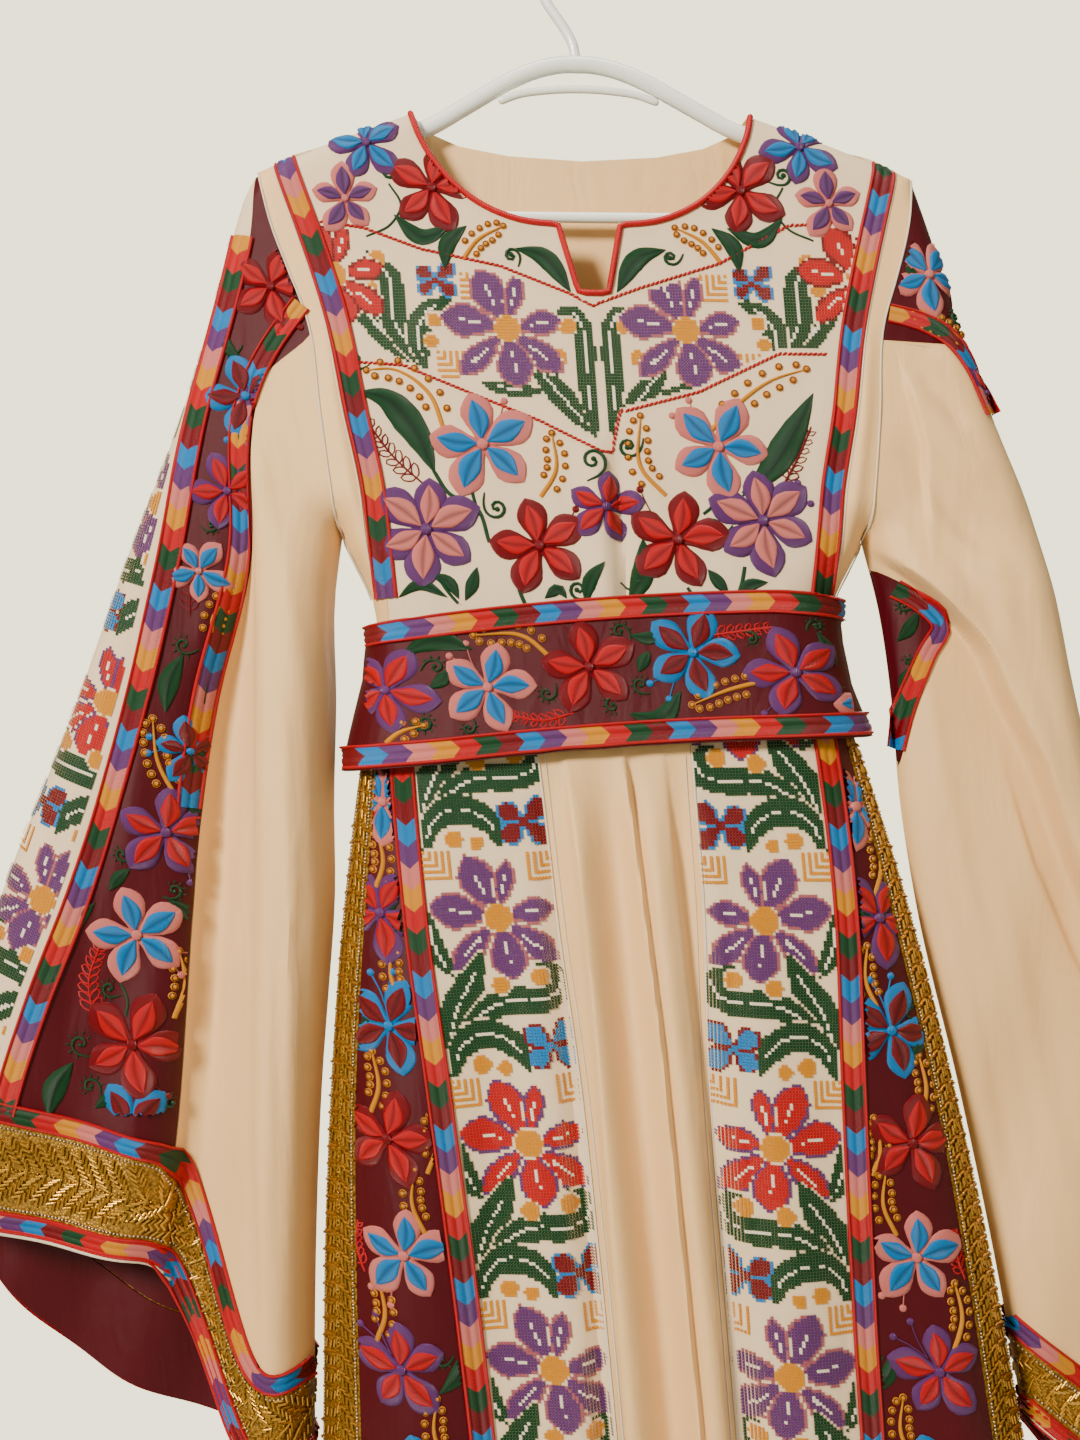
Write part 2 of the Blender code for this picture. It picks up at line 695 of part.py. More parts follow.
def left_line(share):
    """A line down the left sleeve's front by share, through its panels' own lines."""

    def line(drop):
        inner = np.abs(under_x(drop, -1))
        gore = np.where(drop <= YOKE_END, inner, level(LEFT_LINES, "gore", drop))
        fold = np.where(drop <= YOKE_END, inner, level(LEFT_LINES, "fold", drop))
        maroon_edge = level(LEFT_LINES, "maroon", drop)
        strip_edge = level(LEFT_LINES, "strip", drop)
        lines = [inner, fold, gore, maroon_edge, strip_edge, np.abs(outer_x(drop, -1))]
        x = inner
        for a, b, low, high in zip(LEFT_SHARES[:-1], LEFT_SHARES[1:], lines[:-1], lines[1:]):
            x = x + (high - low) * min(max((share - a) / (b - a), 0.0), 1.0)
        return -x

    return line


def right_inner(drop):
    patch = level(RIGHT_UNDER_PATCH, "x", drop)
    inside = (drop > PATCH_STATIONS[0] - 1) & (drop < PATCH_STATIONS[-1] + 1)
    return under_x(drop, 1) + np.where(inside, patch, 0.0)


def right_outer(drop):
    gore = np.where(drop <= YOKE_END, side_x(drop, 1) + 1, level(RIGHT_GORE, "x", drop))
    return np.where(drop < RIGHT_GORE[-1].drop + 1, gore, outer_x(drop, 1))


def right_line(share):
    return lambda drop: between(right_inner(drop), right_outer(drop), share)


def back_line_of(side):
    def of_share(share):
        return lambda drop: between(under_x(drop, side), outer_x(drop, side), share)

    return of_share


def inset(line, side, amount):
    """A line moved out by amount, but not where it lies on the underarm fold."""

    def moved(drop):
        x = line(drop)
        on_fold = (drop > ARMPIT - 1) & (np.abs(x - under_x(drop, side)) < 0.01)
        return x + side * np.where(on_fold, 0.0, amount)

    return moved


def cuff_table(side):
    return LEFT_CUFF if side < 0 else RIGHT_CUFF


def cuff(share, side, facing):
    """Where the sleeve's cloth ends at a share across, and how wide and deep its band spreads."""
    rows = cuff_table(side)
    shares = column(rows, "share")
    if facing > 0:
        rows = (rows[0], rows[-1])
        shares = (0.0, 1.0)
    drop, wide, deep = (float(np.interp(share, shares, column(rows, n))) for n in Cuff._fields[1:])
    if facing > 0:
        drop += BACK_LOWER * math.sin(math.pi * share)
    return drop, wide, deep


def sleeve_drops(side, facing, share, first):
    """The drops of a sleeve column's rows, from its first row on."""
    upper = [between(SHOULDER[-1].drop, YOKE_END, s) for s in YOKE_SHARES[1:]]
    fixed = list(ARM_STATIONS) + (list(PATCH_STATIONS) if side > 0 else [])
    end = cuff(share, side, facing)[0] - SEAM / 2
    rest = [between(fixed[-1], end, s) for s in np.linspace(0, 1, SLEEVE_ROWS + 1)[1:]]
    return np.array((upper + fixed + rest)[first:])


def sleeve_panel(side, facing, lines, shares, first=0, gaps=(1, 1)):
    columns = []
    for i, share in enumerate(shares):
        line = lines(share)
        if i == 0 and gaps[0]:
            line = inset(line, side, SEAM / 2)
        if i == len(shares) - 1 and gaps[1]:
            line = inset(line, side, -SEAM / 2)
        columns.append((share, line))
    return laid_out(columns, lambda share: sleeve_drops(side, facing, share, first))


def band_grid(side, facing, lines, shares):
    """The gold band below the sleeve's cloth."""
    x, drop = [], []
    for share in shares:
        start, wide, deep = cuff(share, side, facing)
        start += SEAM / 2
        drops = np.array([start, start + deep])
        at = np.abs(lines(share)(drops[:1])) + np.array([0, wide])
        low = np.abs(under_x(drops, side))
        high = np.abs(outer_x(drops, side))
        if share in (0.0, 1.0):
            at = low if share == 0.0 else high
        x.append(side * np.clip(at, low, high))
        drop.append(drops)
    return np.stack(x, axis=1), np.stack(drop, axis=1)


def left_front(surface, name):
    x, drop = sleeve_panel(-1, -1, left_line, LEFT_FRONT_SHARES[:9], first=len(YOKE_SHARES) - 2)
    cloth(f"{name}_gore_front", surface, x, drop, beige())
    x, drop = sleeve_panel(-1, -1, left_line, LEFT_FRONT_SHARES[8:13])
    cloth(f"{name}_maroon_front", surface, x, drop, maroon())
    x, drop = sleeve_panel(-1, -1, left_line, LEFT_FRONT_SHARES[12:], gaps=(1, 0))
    cloth(f"{name}_strip_front", surface, x, drop, cream())
    x, drop = sleeve_panel(-1, -1, left_line, LEFT_FRONT_SHARES[12:14], gaps=(0, 0))
    trim(f"{name}_braid_outer", surface, x[3:], drop[3:], braid())


def right_front(surface, name):
    first = len(YOKE_SHARES) - 2
    x, drop = sleeve_panel(1, -1, right_line, RIGHT_FRONT_SHARES, first=first, gaps=(1, 0))
    on_gore = drop < RIGHT_GORE[-1].drop + 1
    x[:, -1] -= SEAM / 2 * on_gore[:, -1]
    cloth(f"{name}_gore_front", surface, x, drop, beige())
    drops = sleeve_drops(1, -1, 1.0, 0)
    drops = drops[: np.searchsorted(drops, RIGHT_GORE[-1].drop + 1)]
    inner = np.where(drops < YOKE_END, side_x(drops, 1), right_outer(drops)) + SEAM / 2
    across = np.array([0, 0.35, 0.7, 1])[None, :]
    x = between(inner[:, None], outer_x(drops, 1)[:, None], across)
    drop = np.repeat(drops[:, None], across.shape[1], axis=1)
    cloth(f"{name}_maroon_front", surface, x, drop, maroon())
    drops = np.array(PATCH_STATIONS, float)
    low = under_x(drops, 1)
    high = right_inner(drops) - SEAM / 2
    across = np.array([0, 0.5, 1])[None, :]
    x = between(low[:, None], high[:, None], across)
    drop = np.repeat(drops[:, None], across.shape[1], axis=1)
    cloth(f"{name}_underarm_front", surface, x, drop, maroon())


def sleeve_backs(surface, side, name):
    lines = back_line_of(side)
    shares = BACK_SHARES[side]
    for part, start, end, finish in BACK_PARTS[side]:
        own = shares[start : end + 1]
        x, drop = sleeve_panel(side, 1, lines, own, gaps=(1, int(own[-1] < 1)))
        cloth(f"{name}_{part}_back", surface, x, drop, FINISHES[finish]())
    x, drop = band_grid(side, 1, lines, shares)
    cloth(f"{name}_gold_back", surface, x, drop, gold())
    x, drop = x[:, 1:-1], drop[:, 1:-1]
    inside = -CLOTH - TRIM_CLEAR
    cloth(f"{name}_facing", surface, x, drop, maroon(), inside - FACING, inside)


def sleeves():
    for side, label in ((-1, "left"), (1, "right")):
        front = sleeve(-1, side)
        name = f"sleeve_{label}"
        if side < 0:
            left_front(front, name)
        else:
            right_front(front, name)
        lines = left_line if side < 0 else right_line
        shares = LEFT_FRONT_SHARES if side < 0 else RIGHT_FRONT_SHARES
        cloth(f"{name}_gold_front", front, *band_grid(side, -1, lines, shares), gold())
        sleeve_backs(sleeve(1, side), side, name)


FINISHES = {"beige": beige, "cream": cream, "maroon": maroon}


def rod(name, points, radius, finish, sides=2):
    """A round rod along points (x, y, drop) in millimetres."""
    data = bpy.data.curves.new(name, "CURVE")
    data.dimensions = "3D"
    data.bevel_depth = radius * MM
    data.bevel_resolution = sides
    data.use_fill_caps = True
    spline = data.splines.new("POLY")
    place = world([(x, y, -drop) for x, y, drop in points])
    spline.points.add(len(place) - 1)
    for point, co in zip(spline.points, place):
        point.co = (*co, 1.0)
    data.materials.append(finish)
    made = bpy.data.objects.new(name, data)
    bpy.context.scene.collection.objects.link(made)
    return made


ARM = (
    Point(0.3, 92), Point(7, 92), Point(16, 93.2), Point(30, 97), Point(46, 104), Point(62, 113),
    Point(80, 123.5), Point(97, 133.2), Point(113, 139.8), Point(140, 149), Point(165, 158),
    Point(190, 168), Point(203, 173.6),
)
BAR = (Point(203.3, 181.3), Point(199, 188.5), Point(186, 193.0), Point(60, 194))
STRAP = (Point(51, 116.4), Point(40, 112.4), Point(22, 109.6), Point(0, 108.5))


def hanger():
    for side, label in ((-1, "left"), (1, "right")):
        rod(f"hanger_arm_{label}", [(side * p.x, 0, p.drop) for p in ARM], ARM_RADIUS, plastic())
    for name, half, radius in (("hanger_bar", BAR, BAR_RADIUS), ("hanger_strap_bar", STRAP, STRAP_RADIUS)):
        right = [(p.x, 0, p.drop) for p in half if p.x > 0]
        left = [(-x, y, d) for x, y, d in right]
        middle = [(0, 0, p.drop) for p in half if p.x == 0]
        rod(name, left + middle + right[::-1], radius, plastic())
    turn = HOOK_TURN
    centre = turn - HOOK_RADIUS
    stem = [(0.0, 0, 85.5), (-1.5, 0, 78.0), (-5.5, 0, 69.0), (-11.0, 0, 60.0), (-17.0, 0, 50.0)]
    arc = [
        (turn * math.sin(a), 0, centre - turn * math.cos(a))
        for a in np.radians(np.linspace(-118, 128, 17))
    ]
    rod("hanger_hook", stem + arc, HOOK_RADIUS, plastic())


def main():
    for old in list(bpy.data.objects):
        bpy.data.objects.remove(old)
    front = torso(-1)
    back = torso(1)
    bodice(front, back)
    neck_piping(front)
    belt(front, back)
    skirt(front, back)
    sleeves()
    hanger()


main()
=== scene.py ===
"""Embroidered thobe dress with its belt, on a clothes hanger.

Cloth is laid out in a flat pattern frame in millimetres, where x runs across the dress and
drop runs down from the inside top of the hook, and is then lifted to its depth. All
embroidery, braid and beads are drawn in the same frame and laid on the cloth.
"""

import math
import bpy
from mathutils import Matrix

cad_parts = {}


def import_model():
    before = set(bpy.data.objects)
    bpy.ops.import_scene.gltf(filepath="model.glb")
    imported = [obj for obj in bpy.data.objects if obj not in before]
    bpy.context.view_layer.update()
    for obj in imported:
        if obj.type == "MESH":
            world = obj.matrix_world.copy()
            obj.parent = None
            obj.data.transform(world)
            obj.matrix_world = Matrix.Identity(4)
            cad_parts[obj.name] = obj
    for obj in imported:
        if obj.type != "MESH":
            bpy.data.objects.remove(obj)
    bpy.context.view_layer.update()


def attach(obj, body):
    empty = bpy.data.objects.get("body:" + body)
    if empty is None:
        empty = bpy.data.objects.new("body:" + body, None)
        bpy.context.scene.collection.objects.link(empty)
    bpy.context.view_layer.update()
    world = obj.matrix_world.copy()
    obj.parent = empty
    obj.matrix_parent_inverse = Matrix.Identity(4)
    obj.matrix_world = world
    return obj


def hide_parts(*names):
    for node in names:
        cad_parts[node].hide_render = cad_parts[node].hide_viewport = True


bl_info = {
    "name": "Embroidered thobe dress",
    "version": (1, 0, 0),
    "blender": (4, 5, 0),
    "location": "View3D > Sidebar > Thobe",
    "description": "Builds a long embroidered dress with its belt on a clothes hanger",
    "category": "Object",
}

from collections import namedtuple

import bmesh
import bpy
import numpy as np
from mathutils import Matrix, Vector

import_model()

MM = 0.001
FLOOR_HALF = 1.1  # metres
TILT = math.tan(math.radians(4.6))  # the hanger leans, so each side hangs lower or higher
SEAM = 0.3  # space between two pieces at a seam
BRAID_WIDTH = 16.0
NECK_X = 111.0  # half width of the neck at the shoulder seam
WAIST = 507.0  # drop of the seam between bodice and skirt, under the belt
HEM = 1550.0  # drop of the skirt's hem
ARMPIT = 408.0
BELT_TOP = 451.0
BELT_HEIGHT = 97.0
BELT_SIDE_SAG = 6.0
BELT_THICK = 3.0
BELT_STAND_OFF = 4.0  # belt to dress at the belt's top edge
BELT_FLARE = 5.0  # how much further it stands off at its lower edge
BELT_TRIM_SHARE = 0.115
ARM_RADIUS = 5.5
BAR_RADIUS = 3.5
STRAP_RADIUS = 2.5
HOOK_RADIUS = 3.5
HOOK_TURN = 25.0  # radius of the hook's own bend
SKIRT_ROWS = 11
SLEEVE_ROWS = 6
# Pieces that meet share their rows. The yoke's rows are shares from the shoulder down to its end.
YOKE_END = 280.0
YOKE_SHARES = (0, 0.044, 0.2, 0.45, 0.7, 1)
ARM_STATIONS = (308, 330, 370, ARMPIT)
WAIST_STATIONS = (430, 457, 482, WAIST - SEAM / 2)
PATCH_STATIONS = (430, 446, 464, 487, 521, 555)

# Half widths of the bodice at each drop: the chest braid's middle, and the armhole or side seam.
Bodice = namedtuple("Bodice", "drop braid side")
BODICE = (
    Bodice(120, 205, 228),
    Bodice(167, 196, 216),
    Bodice(208, 184, 208),
    Bodice(236, 176, 199),
    Bodice(268, 168, 188),
    Bodice(333, 157, 181),
    Bodice(380, 148, 176),
    Bodice(408, 145, 172),
    Bodice(457, 140, 151),
    Bodice(507, 138, 153),
)
# Half widths of the skirt's panels, each to its outer edge.
Skirt = namedtuple("Skirt", "drop centre strip maroon side")
SKIRT = (
    Skirt(507, 50, 134, 147, 153),
    Skirt(560, 48, 136, 154, 167),
    Skirt(648, 46, 136, 168, 186),
    Skirt(765, 40, 130, 184, 205),
    Skirt(875, 38, 125, 193, 219),
    Skirt(1000, 37, 121, 200, 231),
    Skirt(1550, 36, 113, 240, 290),
)
# Where the middle of the garment lies, because it sags a little to one side.
Line = namedtuple("Line", "drop x")
MIDDLE = (
    Line(120, 0), Line(250, 0), Line(333, -2), Line(408, -5),
    Line(457, -8), Line(648, -6), Line(765, -4), Line(1000, 0), Line(1550, 4),
)
# Half depth of the garment in front and behind, and how far in from a fold it is reached.
Depth = namedtuple("Depth", "drop front back reach")
DEPTH = (
    Depth(120, 11, 11, 14),
    Depth(170, 14, 14, 15),
    Depth(250, 21, 20, 20),
    Depth(330, 28, 25, 24),
    Depth(408, 32, 28, 28),
    Depth(457, 37, 31, 42),
    Depth(507, 40, 34, 48),
    Depth(560, 46, 38, 56),
    Depth(648, 53, 44, 66),
    Depth(765, 59, 50, 76),
    Depth(1000, 66, 60, 88),
    Depth(1550, 84, 78, 100),
)
SLEEVE_DEPTH = 30.0
SLEEVE_REACH = 26.0

Point = namedtuple("Point", "x drop")
NECK_FRONT = (
    Point(0, 249), Point(8.5, 249), Point(19, 203), Point(45, 200), Point(72, 188),
    Point(95, 165), Point(106, 144), Point(NECK_X, 126),
)
NECK_BACK = (Point(0, 152), Point(50, 149), Point(82, 143), Point(100, 135), Point(NECK_X, 126))
SHOULDER = (Point(NECK_X, 126), Point(165, 146), Point(216, 167))
# Outer fold of each sleeve, from the shoulder's end down.
OUTER_LEFT = (
    Point(226, 184), Point(234, 205), Point(251, 254), Point(274, 320), Point(321, 427),
    Point(360, 520), Point(421, 652), Point(471, 781), Point(492, 842), Point(510, 900),
)
OUTER_RIGHT = (
    Point(222, 188), Point(229, 214), Point(241, 262), Point(261, 333), Point(278, 385),
    Point(289, 435), Point(298, 503), Point(306, 556), Point(320, 650), Point(332, 760),
    Point(342, 880), Point(349, 1000), Point(353, 1100),
)
# Underarm fold of each sleeve, from the armpit down.
UNDER_LEFT = (
    Line(450, 185), Line(519, 189), Line(585, 195), Line(650, 199), Line(716, 208),
    Line(765, 215), Line(875, 227), Line(961, 234), Line(1060, 240),
)
UNDER_RIGHT = (
    Line(450, 175), Line(514, 180), Line(582, 181), Line(651, 187), Line(773, 207),
    Line(896, 224), Line(940, 229), Line(1060, 243),
)

Surface = namedtuple("Surface", "facing half reach relief edges")


def blend(at, stations, values):
    """Smooth curve through a table, straight beyond its ends."""
    s = np.asarray(stations, float)
    v = np.asarray(values, float)
    at = np.asarray(at, float)
    step = np.diff(s)
    slope = np.diff(v) / step
    middle = (slope[:-1] * step[1:] + slope[1:] * step[:-1]) / (step[:-1] + step[1:])
    tangent = np.concatenate([slope[:1], middle, slope[-1:]])
    i = np.clip(np.searchsorted(s, at, side="right") - 1, 0, len(step) - 1)
    t = np.clip((at - s[i]) / step[i], 0.0, 1.0)
    inside = (
        v[i] * (1 + 2 * t) * (1 - t) ** 2
        + v[i + 1] * t * t * (3 - 2 * t)
        + tangent[i] * step[i] * t * (1 - t) ** 2
        - tangent[i + 1] * step[i] * t * t * (1 - t)
    )
    below = np.minimum(at - s[0], 0.0) * tangent[0]
    above = np.maximum(at - s[-1], 0.0) * tangent[-1]
    return inside + below + above


def column(rows, name):
    return [getattr(row, name) for row in rows]


def level(rows, name, drop):
    return blend(drop, column(rows, "drop"), column(rows, name))


def ramp(value, start, end):
    """0 before start, 1 after end, and a soft step between."""
    t = np.clip((np.asarray(value, float) - start) / (end - start), 0.0, 1.0)
    return t * t * (3 - 2 * t)


def ridge(value, middle, width):
    return np.exp(-(((value - middle) / width) ** 2))


def middle_x(drop):
    return level(MIDDLE, "x", drop)


def side_x(drop, side):
    """The armhole and the bodice's side seam."""
    return middle_x(drop) + side * level(BODICE, "side", drop)


def skirt_x(drop, side, name):
    return middle_x(drop) + side * level(SKIRT, name, drop)


def dense(points, steps=6):
    """More points on a smooth line through the given ones."""
    p = np.array(points, float)
    along = np.concatenate([[0], np.cumsum(np.linalg.norm(np.diff(p, axis=0), axis=1))])
    at = np.unique(np.concatenate([np.linspace(a, b, steps + 1) for a, b in zip(along[:-1], along[1:])]))
    return np.stack([blend(at, along, p[:, k]) for k in range(2)], axis=1)


def outline(side):
    """The fold that the front and back share, from the neck over the shoulder to the cuff."""
    outer = OUTER_LEFT if side < 0 else OUTER_RIGHT
    shoulder = dense(SHOULDER)
    sleeve = dense((SHOULDER[-1],) + outer)
    line = np.concatenate([shoulder, sleeve[1:]])
    return line * [side, 1]


def under_x(drop, side):
    """The underarm fold below the armpit, and the armhole above it."""
    rows = UNDER_LEFT if side < 0 else UNDER_RIGHT
    start = Line(ARMPIT, abs(float(side_x(ARMPIT, side))))
    sleeve = side * level((start,) + rows, "x", drop)
    return np.where(np.asarray(drop) <= ARMPIT, side_x(drop, side), sleeve)


def outer_x(drop, side):
    line = outline(side)
    return side * np.interp(drop, line[:, 1], np.abs(line[:, 0]))


def shoulder_drop(x):
    line = dense(SHOULDER)
    return np.interp(np.abs(x), line[:, 0], line[:, 1])


def drops_down(start, end, step=12.0):
    return np.linspace(start, end, max(2, int((end - start) / step)))


def torso_edges():
    """(line, which side of it is cloth) for each fold that closes the bodice and skirt."""
    found = []
    for side in (-1, 1):
        bodice = drops_down(ARMPIT, WAIST)
        skirt = drops_down(WAIST, HEM + 60)[1:]
        seam = np.concatenate(
            [
                np.stack([side_x(bodice, side), bodice], axis=1),
                np.stack([skirt_x(skirt, side, "side"), skirt], axis=1),
            ]
        )
        found += [(outline(side), side), (seam, side)]
    return found


def sleeve_edges(side):
    drops = drops_down(ARMPIT, HEM)
    under = np.stack([under_x(drops, side), drops], axis=1)
    return [(outline(side), side), (under, -side)]


def nearest_edge(x, drop, edges):
    """Distance to the nearest closing fold, and the outward direction there."""
    p = np.stack([x, drop], axis=-1)[..., None, :]
    best = np.full(x.shape, np.inf)
    out = np.zeros(x.shape + (2,))
    for line, turn in edges:
        a = line[:-1]
        t = np.diff(line, axis=0)
        long = np.maximum((t * t).sum(axis=1), 1e-9)
        share = np.clip(((p - a) * t).sum(axis=-1) / long, 0, 1)
        gap = np.linalg.norm(p - a - share[..., None] * t, axis=-1)
        index = gap.argmin(axis=-1)
        near = np.take_along_axis(gap, index[..., None], axis=-1)[..., 0]
        unit = t / np.sqrt(long)[:, None]
        outward = -turn * np.stack([-unit[:, 1], unit[:, 0]], axis=1)
        closer = near < best
        best = np.where(closer, near, best)
        out = np.where(closer[..., None], outward[index], out)
    return best, out


def depth_at(surface, x, drop, gap):
    """Depth of a surface where the nearest fold is a gap away."""
    t = np.clip((gap - SEAM / 2) / surface.reach(drop), 0.0, 1.0)
    rounding = np.sqrt(np.maximum(1 - (1 - t) ** 2, 0.0))
    full = surface.half(drop) + surface.relief(x, drop)
    return surface.facing * (full * rounding + SEAM / 2)


def lift(surface, x, drop):
    """Points of a cloth surface and its outward normals, in millimetres."""
    x = np.asarray(x, float)
    drop = np.asarray(drop, float)
    gap, out = nearest_edge(x, drop, surface.edges)
    y = depth_at(surface, x, drop, gap)
    near = np.maximum(gap, 0.6)
    px = x - out[..., 0] * (near - gap)
    pd = drop - out[..., 1] * (near - gap)
    h = 0.4
    nx, nd = h * out[..., 0], h * out[..., 1]
    across = depth_at(surface, px + h, pd, near - nx) - depth_at(surface, px - h, pd, near + nx)
    down = depth_at(surface, px, pd + h, near - nd) - depth_at(surface, px, pd - h, near + nd)
    f = surface.facing
    normal = np.stack([-f * across / (2 * h), np.full_like(y, f), f * down / (2 * h)], axis=-1)
    normal /= np.linalg.norm(normal, axis=-1, keepdims=True)
    share = np.clip(1 - gap / 0.8, 0, 1)[..., None]
    flat = np.stack([out[..., 0], np.zeros_like(y), -out[..., 1]], axis=-1)
    normal = normal * (1 - share) + flat * share
    normal /= np.linalg.norm(normal, axis=-1, keepdims=True)
    return np.stack([x, y, -drop], axis=-1), normal


def world(points):
    """Millimetres in the pattern frame to metres, with the hanger's lean."""
    p = np.array(points, float)
    p[..., 2] -= TILT * p[..., 0]
    return p * MM

def front_relief(x, drop):
    """Folds of the front of the bodice and skirt, outward."""
    rel = x - middle_x(drop)
    beside = (level(BODICE, "braid", drop) + level(BODICE, "side", drop)) / 2
    chest = ramp(drop, 250, 320) * (1 - ramp(drop, 420, 455))
    folds = 4.0 * ridge(np.abs(rel), beside + 1, 6.0) * chest
    pinch = ramp(drop, 340, 380) * (1 - ramp(drop, 450, 490))
    folds += (4.0 * ridge(x, -9, 10.0) - 7.0 * ridge(x, 7, 6.0)) * pinch
    below = ramp(drop, 545, 630)
    wide = 1 - ramp(np.abs(rel), 36, 62)
    lean = 16 + 0.012 * (drop - 560)
    pleat = np.cos(2 * math.pi * (rel - lean) / 46.0)
    folds += (8.0 + 0.006 * (drop - 560)) * pleat * wide * below
    flare = 0.012 * (drop - 560) * ramp(drop, 560, 800)
    folds += flare * np.cos(2 * math.pi * (rel + 0.04 * drop) / 118.0) * (1 - wide)
    return folds


def back_relief(x, drop):
    rel = x - middle_x(drop)
    below = ramp(drop, 545, 700)
    folds = (6.0 + 0.006 * (drop - 560)) * below * np.cos(2 * math.pi * (rel - 9) / 74.0)
    above = ramp(drop, 180, 300) * (1 - ramp(drop, 420, 470))
    inner = 1 - ramp(np.abs(rel), 120, 160)
    return folds * (1 - ramp(np.abs(rel), 130, 210) * 0.5) + 3.0 * above * inner * np.cos(rel / 21.0)


# Lines that cross the left sleeve, as distances out from the garment's middle.
LeftLine = namedtuple("LeftLine", "drop strip maroon gore fold")
LEFT_LINES = (
    LeftLine(172, 218.6, 217.4, 215.0, 215.0),
    LeftLine(210, 231, 221, 207.5, 207.5),
    LeftLine(280, 251, 241, 186, 186),
    LeftLine(308, 259, 251, 217, 216),
    LeftLine(322, 264, 255, 222, 221),
    LeftLine(427, 293, 280, 235, 231),
    LeftLine(520, 320, 307, 265, 238),
    LeftLine(652, 368, 355, 290, 248),
    LeftLine(718, 398, 384, 299, 254),
    LeftLine(790, 425, 411, 309, 261),
    LeftLine(885, 444, 430, 325, 268),
    LeftLine(1030, 470, 456, 345, 280),
)
# The right sleeve turns its plain side to the front: maroon shows by the shoulder and underarm.
RIGHT_GORE = (
    Line(172, 215), Line(210, 208), Line(262, 196), Line(280, 222), Line(308, 243),
    Line(330, 258),
)
RIGHT_UNDER_PATCH = (
    Line(430, 3), Line(446, 27), Line(464, 40), Line(487, 27), Line(521, 11), Line(555, 1.5),
)
RIGHT_FOLD = (
    Line(407, 160), Line(422, 175), Line(438, 195), Line(453, 210), Line(475, 229),
    Line(514, 245), Line(553, 262), Line(604, 277), Line(660, 296), Line(720, 316),
    Line(780, 340), Line(900, 400),
)
Cuff = namedtuple("Cuff", "share drop wide deep")
# Along each cuff from the underarm out: where the cloth ends, and the gold band's reach.
LEFT_CUFF = (
    Cuff(0.0, 959, 3, 58), Cuff(0.14, 964, 4, 57), Cuff(0.2, 950, 8, 57), Cuff(0.3, 880, 14, 58),
    Cuff(0.4, 818, 14, 66), Cuff(0.55, 806, 14, 70), Cuff(0.75, 791, 16, 73),
    Cuff(0.8, 787, 16, 73), Cuff(1.0, 781, 21, 61),
)
RIGHT_CUFF = (Cuff(0.0, 926, 6, 58), Cuff(0.4, 968, 4, 58), Cuff(0.7, 992, 2, 58), Cuff(1.0, 1000, 2, 58))
LEFT_SHARES = (0.0, 0.2, 0.4, 0.75, 0.8, 1.0)  # underarm, fold, gore, maroon, strip, outer fold
LEFT_FRONT_SHARES = (
    0.0, 0.06, 0.13, 0.2, 0.24, 0.28, 0.32, 0.36, 0.4, 0.49, 0.58, 0.67, 0.75, 0.8, 0.87, 0.94, 1.0,
)
RIGHT_FRONT_SHARES = (0.0, 0.1, 0.2, 0.3, 0.4, 0.5, 0.6, 0.7, 0.8, 0.92, 1.0)
BACK_SHARES = {
    -1: (0.0, 0.1, 0.2, 0.31, 0.42, 0.53, 0.64, 0.74, 0.83, 0.92, 1.0),
    1: (0.0, 0.1, 0.22, 0.36, 0.46, 0.56, 0.66, 0.76, 0.84, 0.93, 1.0),
}
BACK_PARTS = {
    -1: (("gore", 0, 4, "beige"), ("maroon", 4, 7, "maroon"), ("strip", 7, 10, "cream")),
    1: (
        ("gore", 0, 3, "beige"), ("maroon", 3, 5, "maroon"), ("strip", 5, 8, "cream"),
        ("maroon_outer", 8, 10, "maroon"),
    ),
}
BACK_LOWER = 46.0  # the back of a cuff hangs this much lower at its middle


def left_relief(x, drop):
    """The front column of the left sleeve, and the hollow beside it."""
    out = np.abs(x)
    gore = level(LEFT_LINES, "gore", drop)
    fold = level(LEFT_LINES, "fold", drop)
    under = np.abs(under_x(drop, -1))
    on = ramp(drop, 380, 540)
    column_ridge = 9.0 * ridge(out, (fold + under) / 2, 22.0)
    hollow = -25.0 * ridge(out, 0.35 * fold + 0.65 * gore, 0.34 * (gore - fold) + 8)
    waves = 3.5 * np.cos((out - 0.4 * drop) / 17.0) * ramp(drop, 480, 700)
    return (column_ridge + hollow + waves * ramp(out, gore, gore + 25)) * on


def right_relief(x, drop):
    """The sleeve's front fold, which stands proud of the cloth under it."""
    fold = level(RIGHT_FOLD, "x", drop)
    on = ramp(drop, 395, 450)
    proud = 10.0 * on
    sunk = 24.0 * (1 - ramp(x, fold - 2, fold + 5)) * on
    waves = 3.0 * np.cos((x + 0.35 * drop) / 15.0) * ramp(drop, 560, 760)
    return proud * (1 - ramp(drop, 700, 850)) - sunk * (1 - 0.5 * ramp(drop, 760, 950)) + waves


def sleeve_back_relief(x, drop):
    return 4.0 * np.cos((np.abs(x) - 0.42 * drop) / 16.0) * ramp(drop, 430, 640)


def torso(facing):
    name = "front" if facing < 0 else "back"
    return Surface(
        facing,
        lambda drop: level(DEPTH, name, drop),
        lambda drop: level(DEPTH, "reach", drop),
        front_relief if facing < 0 else back_relief,
        torso_edges(),
    )


def sleeve(facing, side):
    name = "front" if facing < 0 else "back"
    relief = sleeve_back_relief
    if facing < 0:
        relief = left_relief if side < 0 else right_relief
    return Surface(
        facing,
        lambda drop: np.minimum(level(DEPTH, name, np.minimum(drop, 408)), SLEEVE_DEPTH),
        lambda drop: np.minimum(level(DEPTH, "reach", np.minimum(drop, 408)), SLEEVE_REACH),
        relief,
        sleeve_edges(side),
    )


Crease = namedtuple("Crease", "x drop to_x to_drop width height")
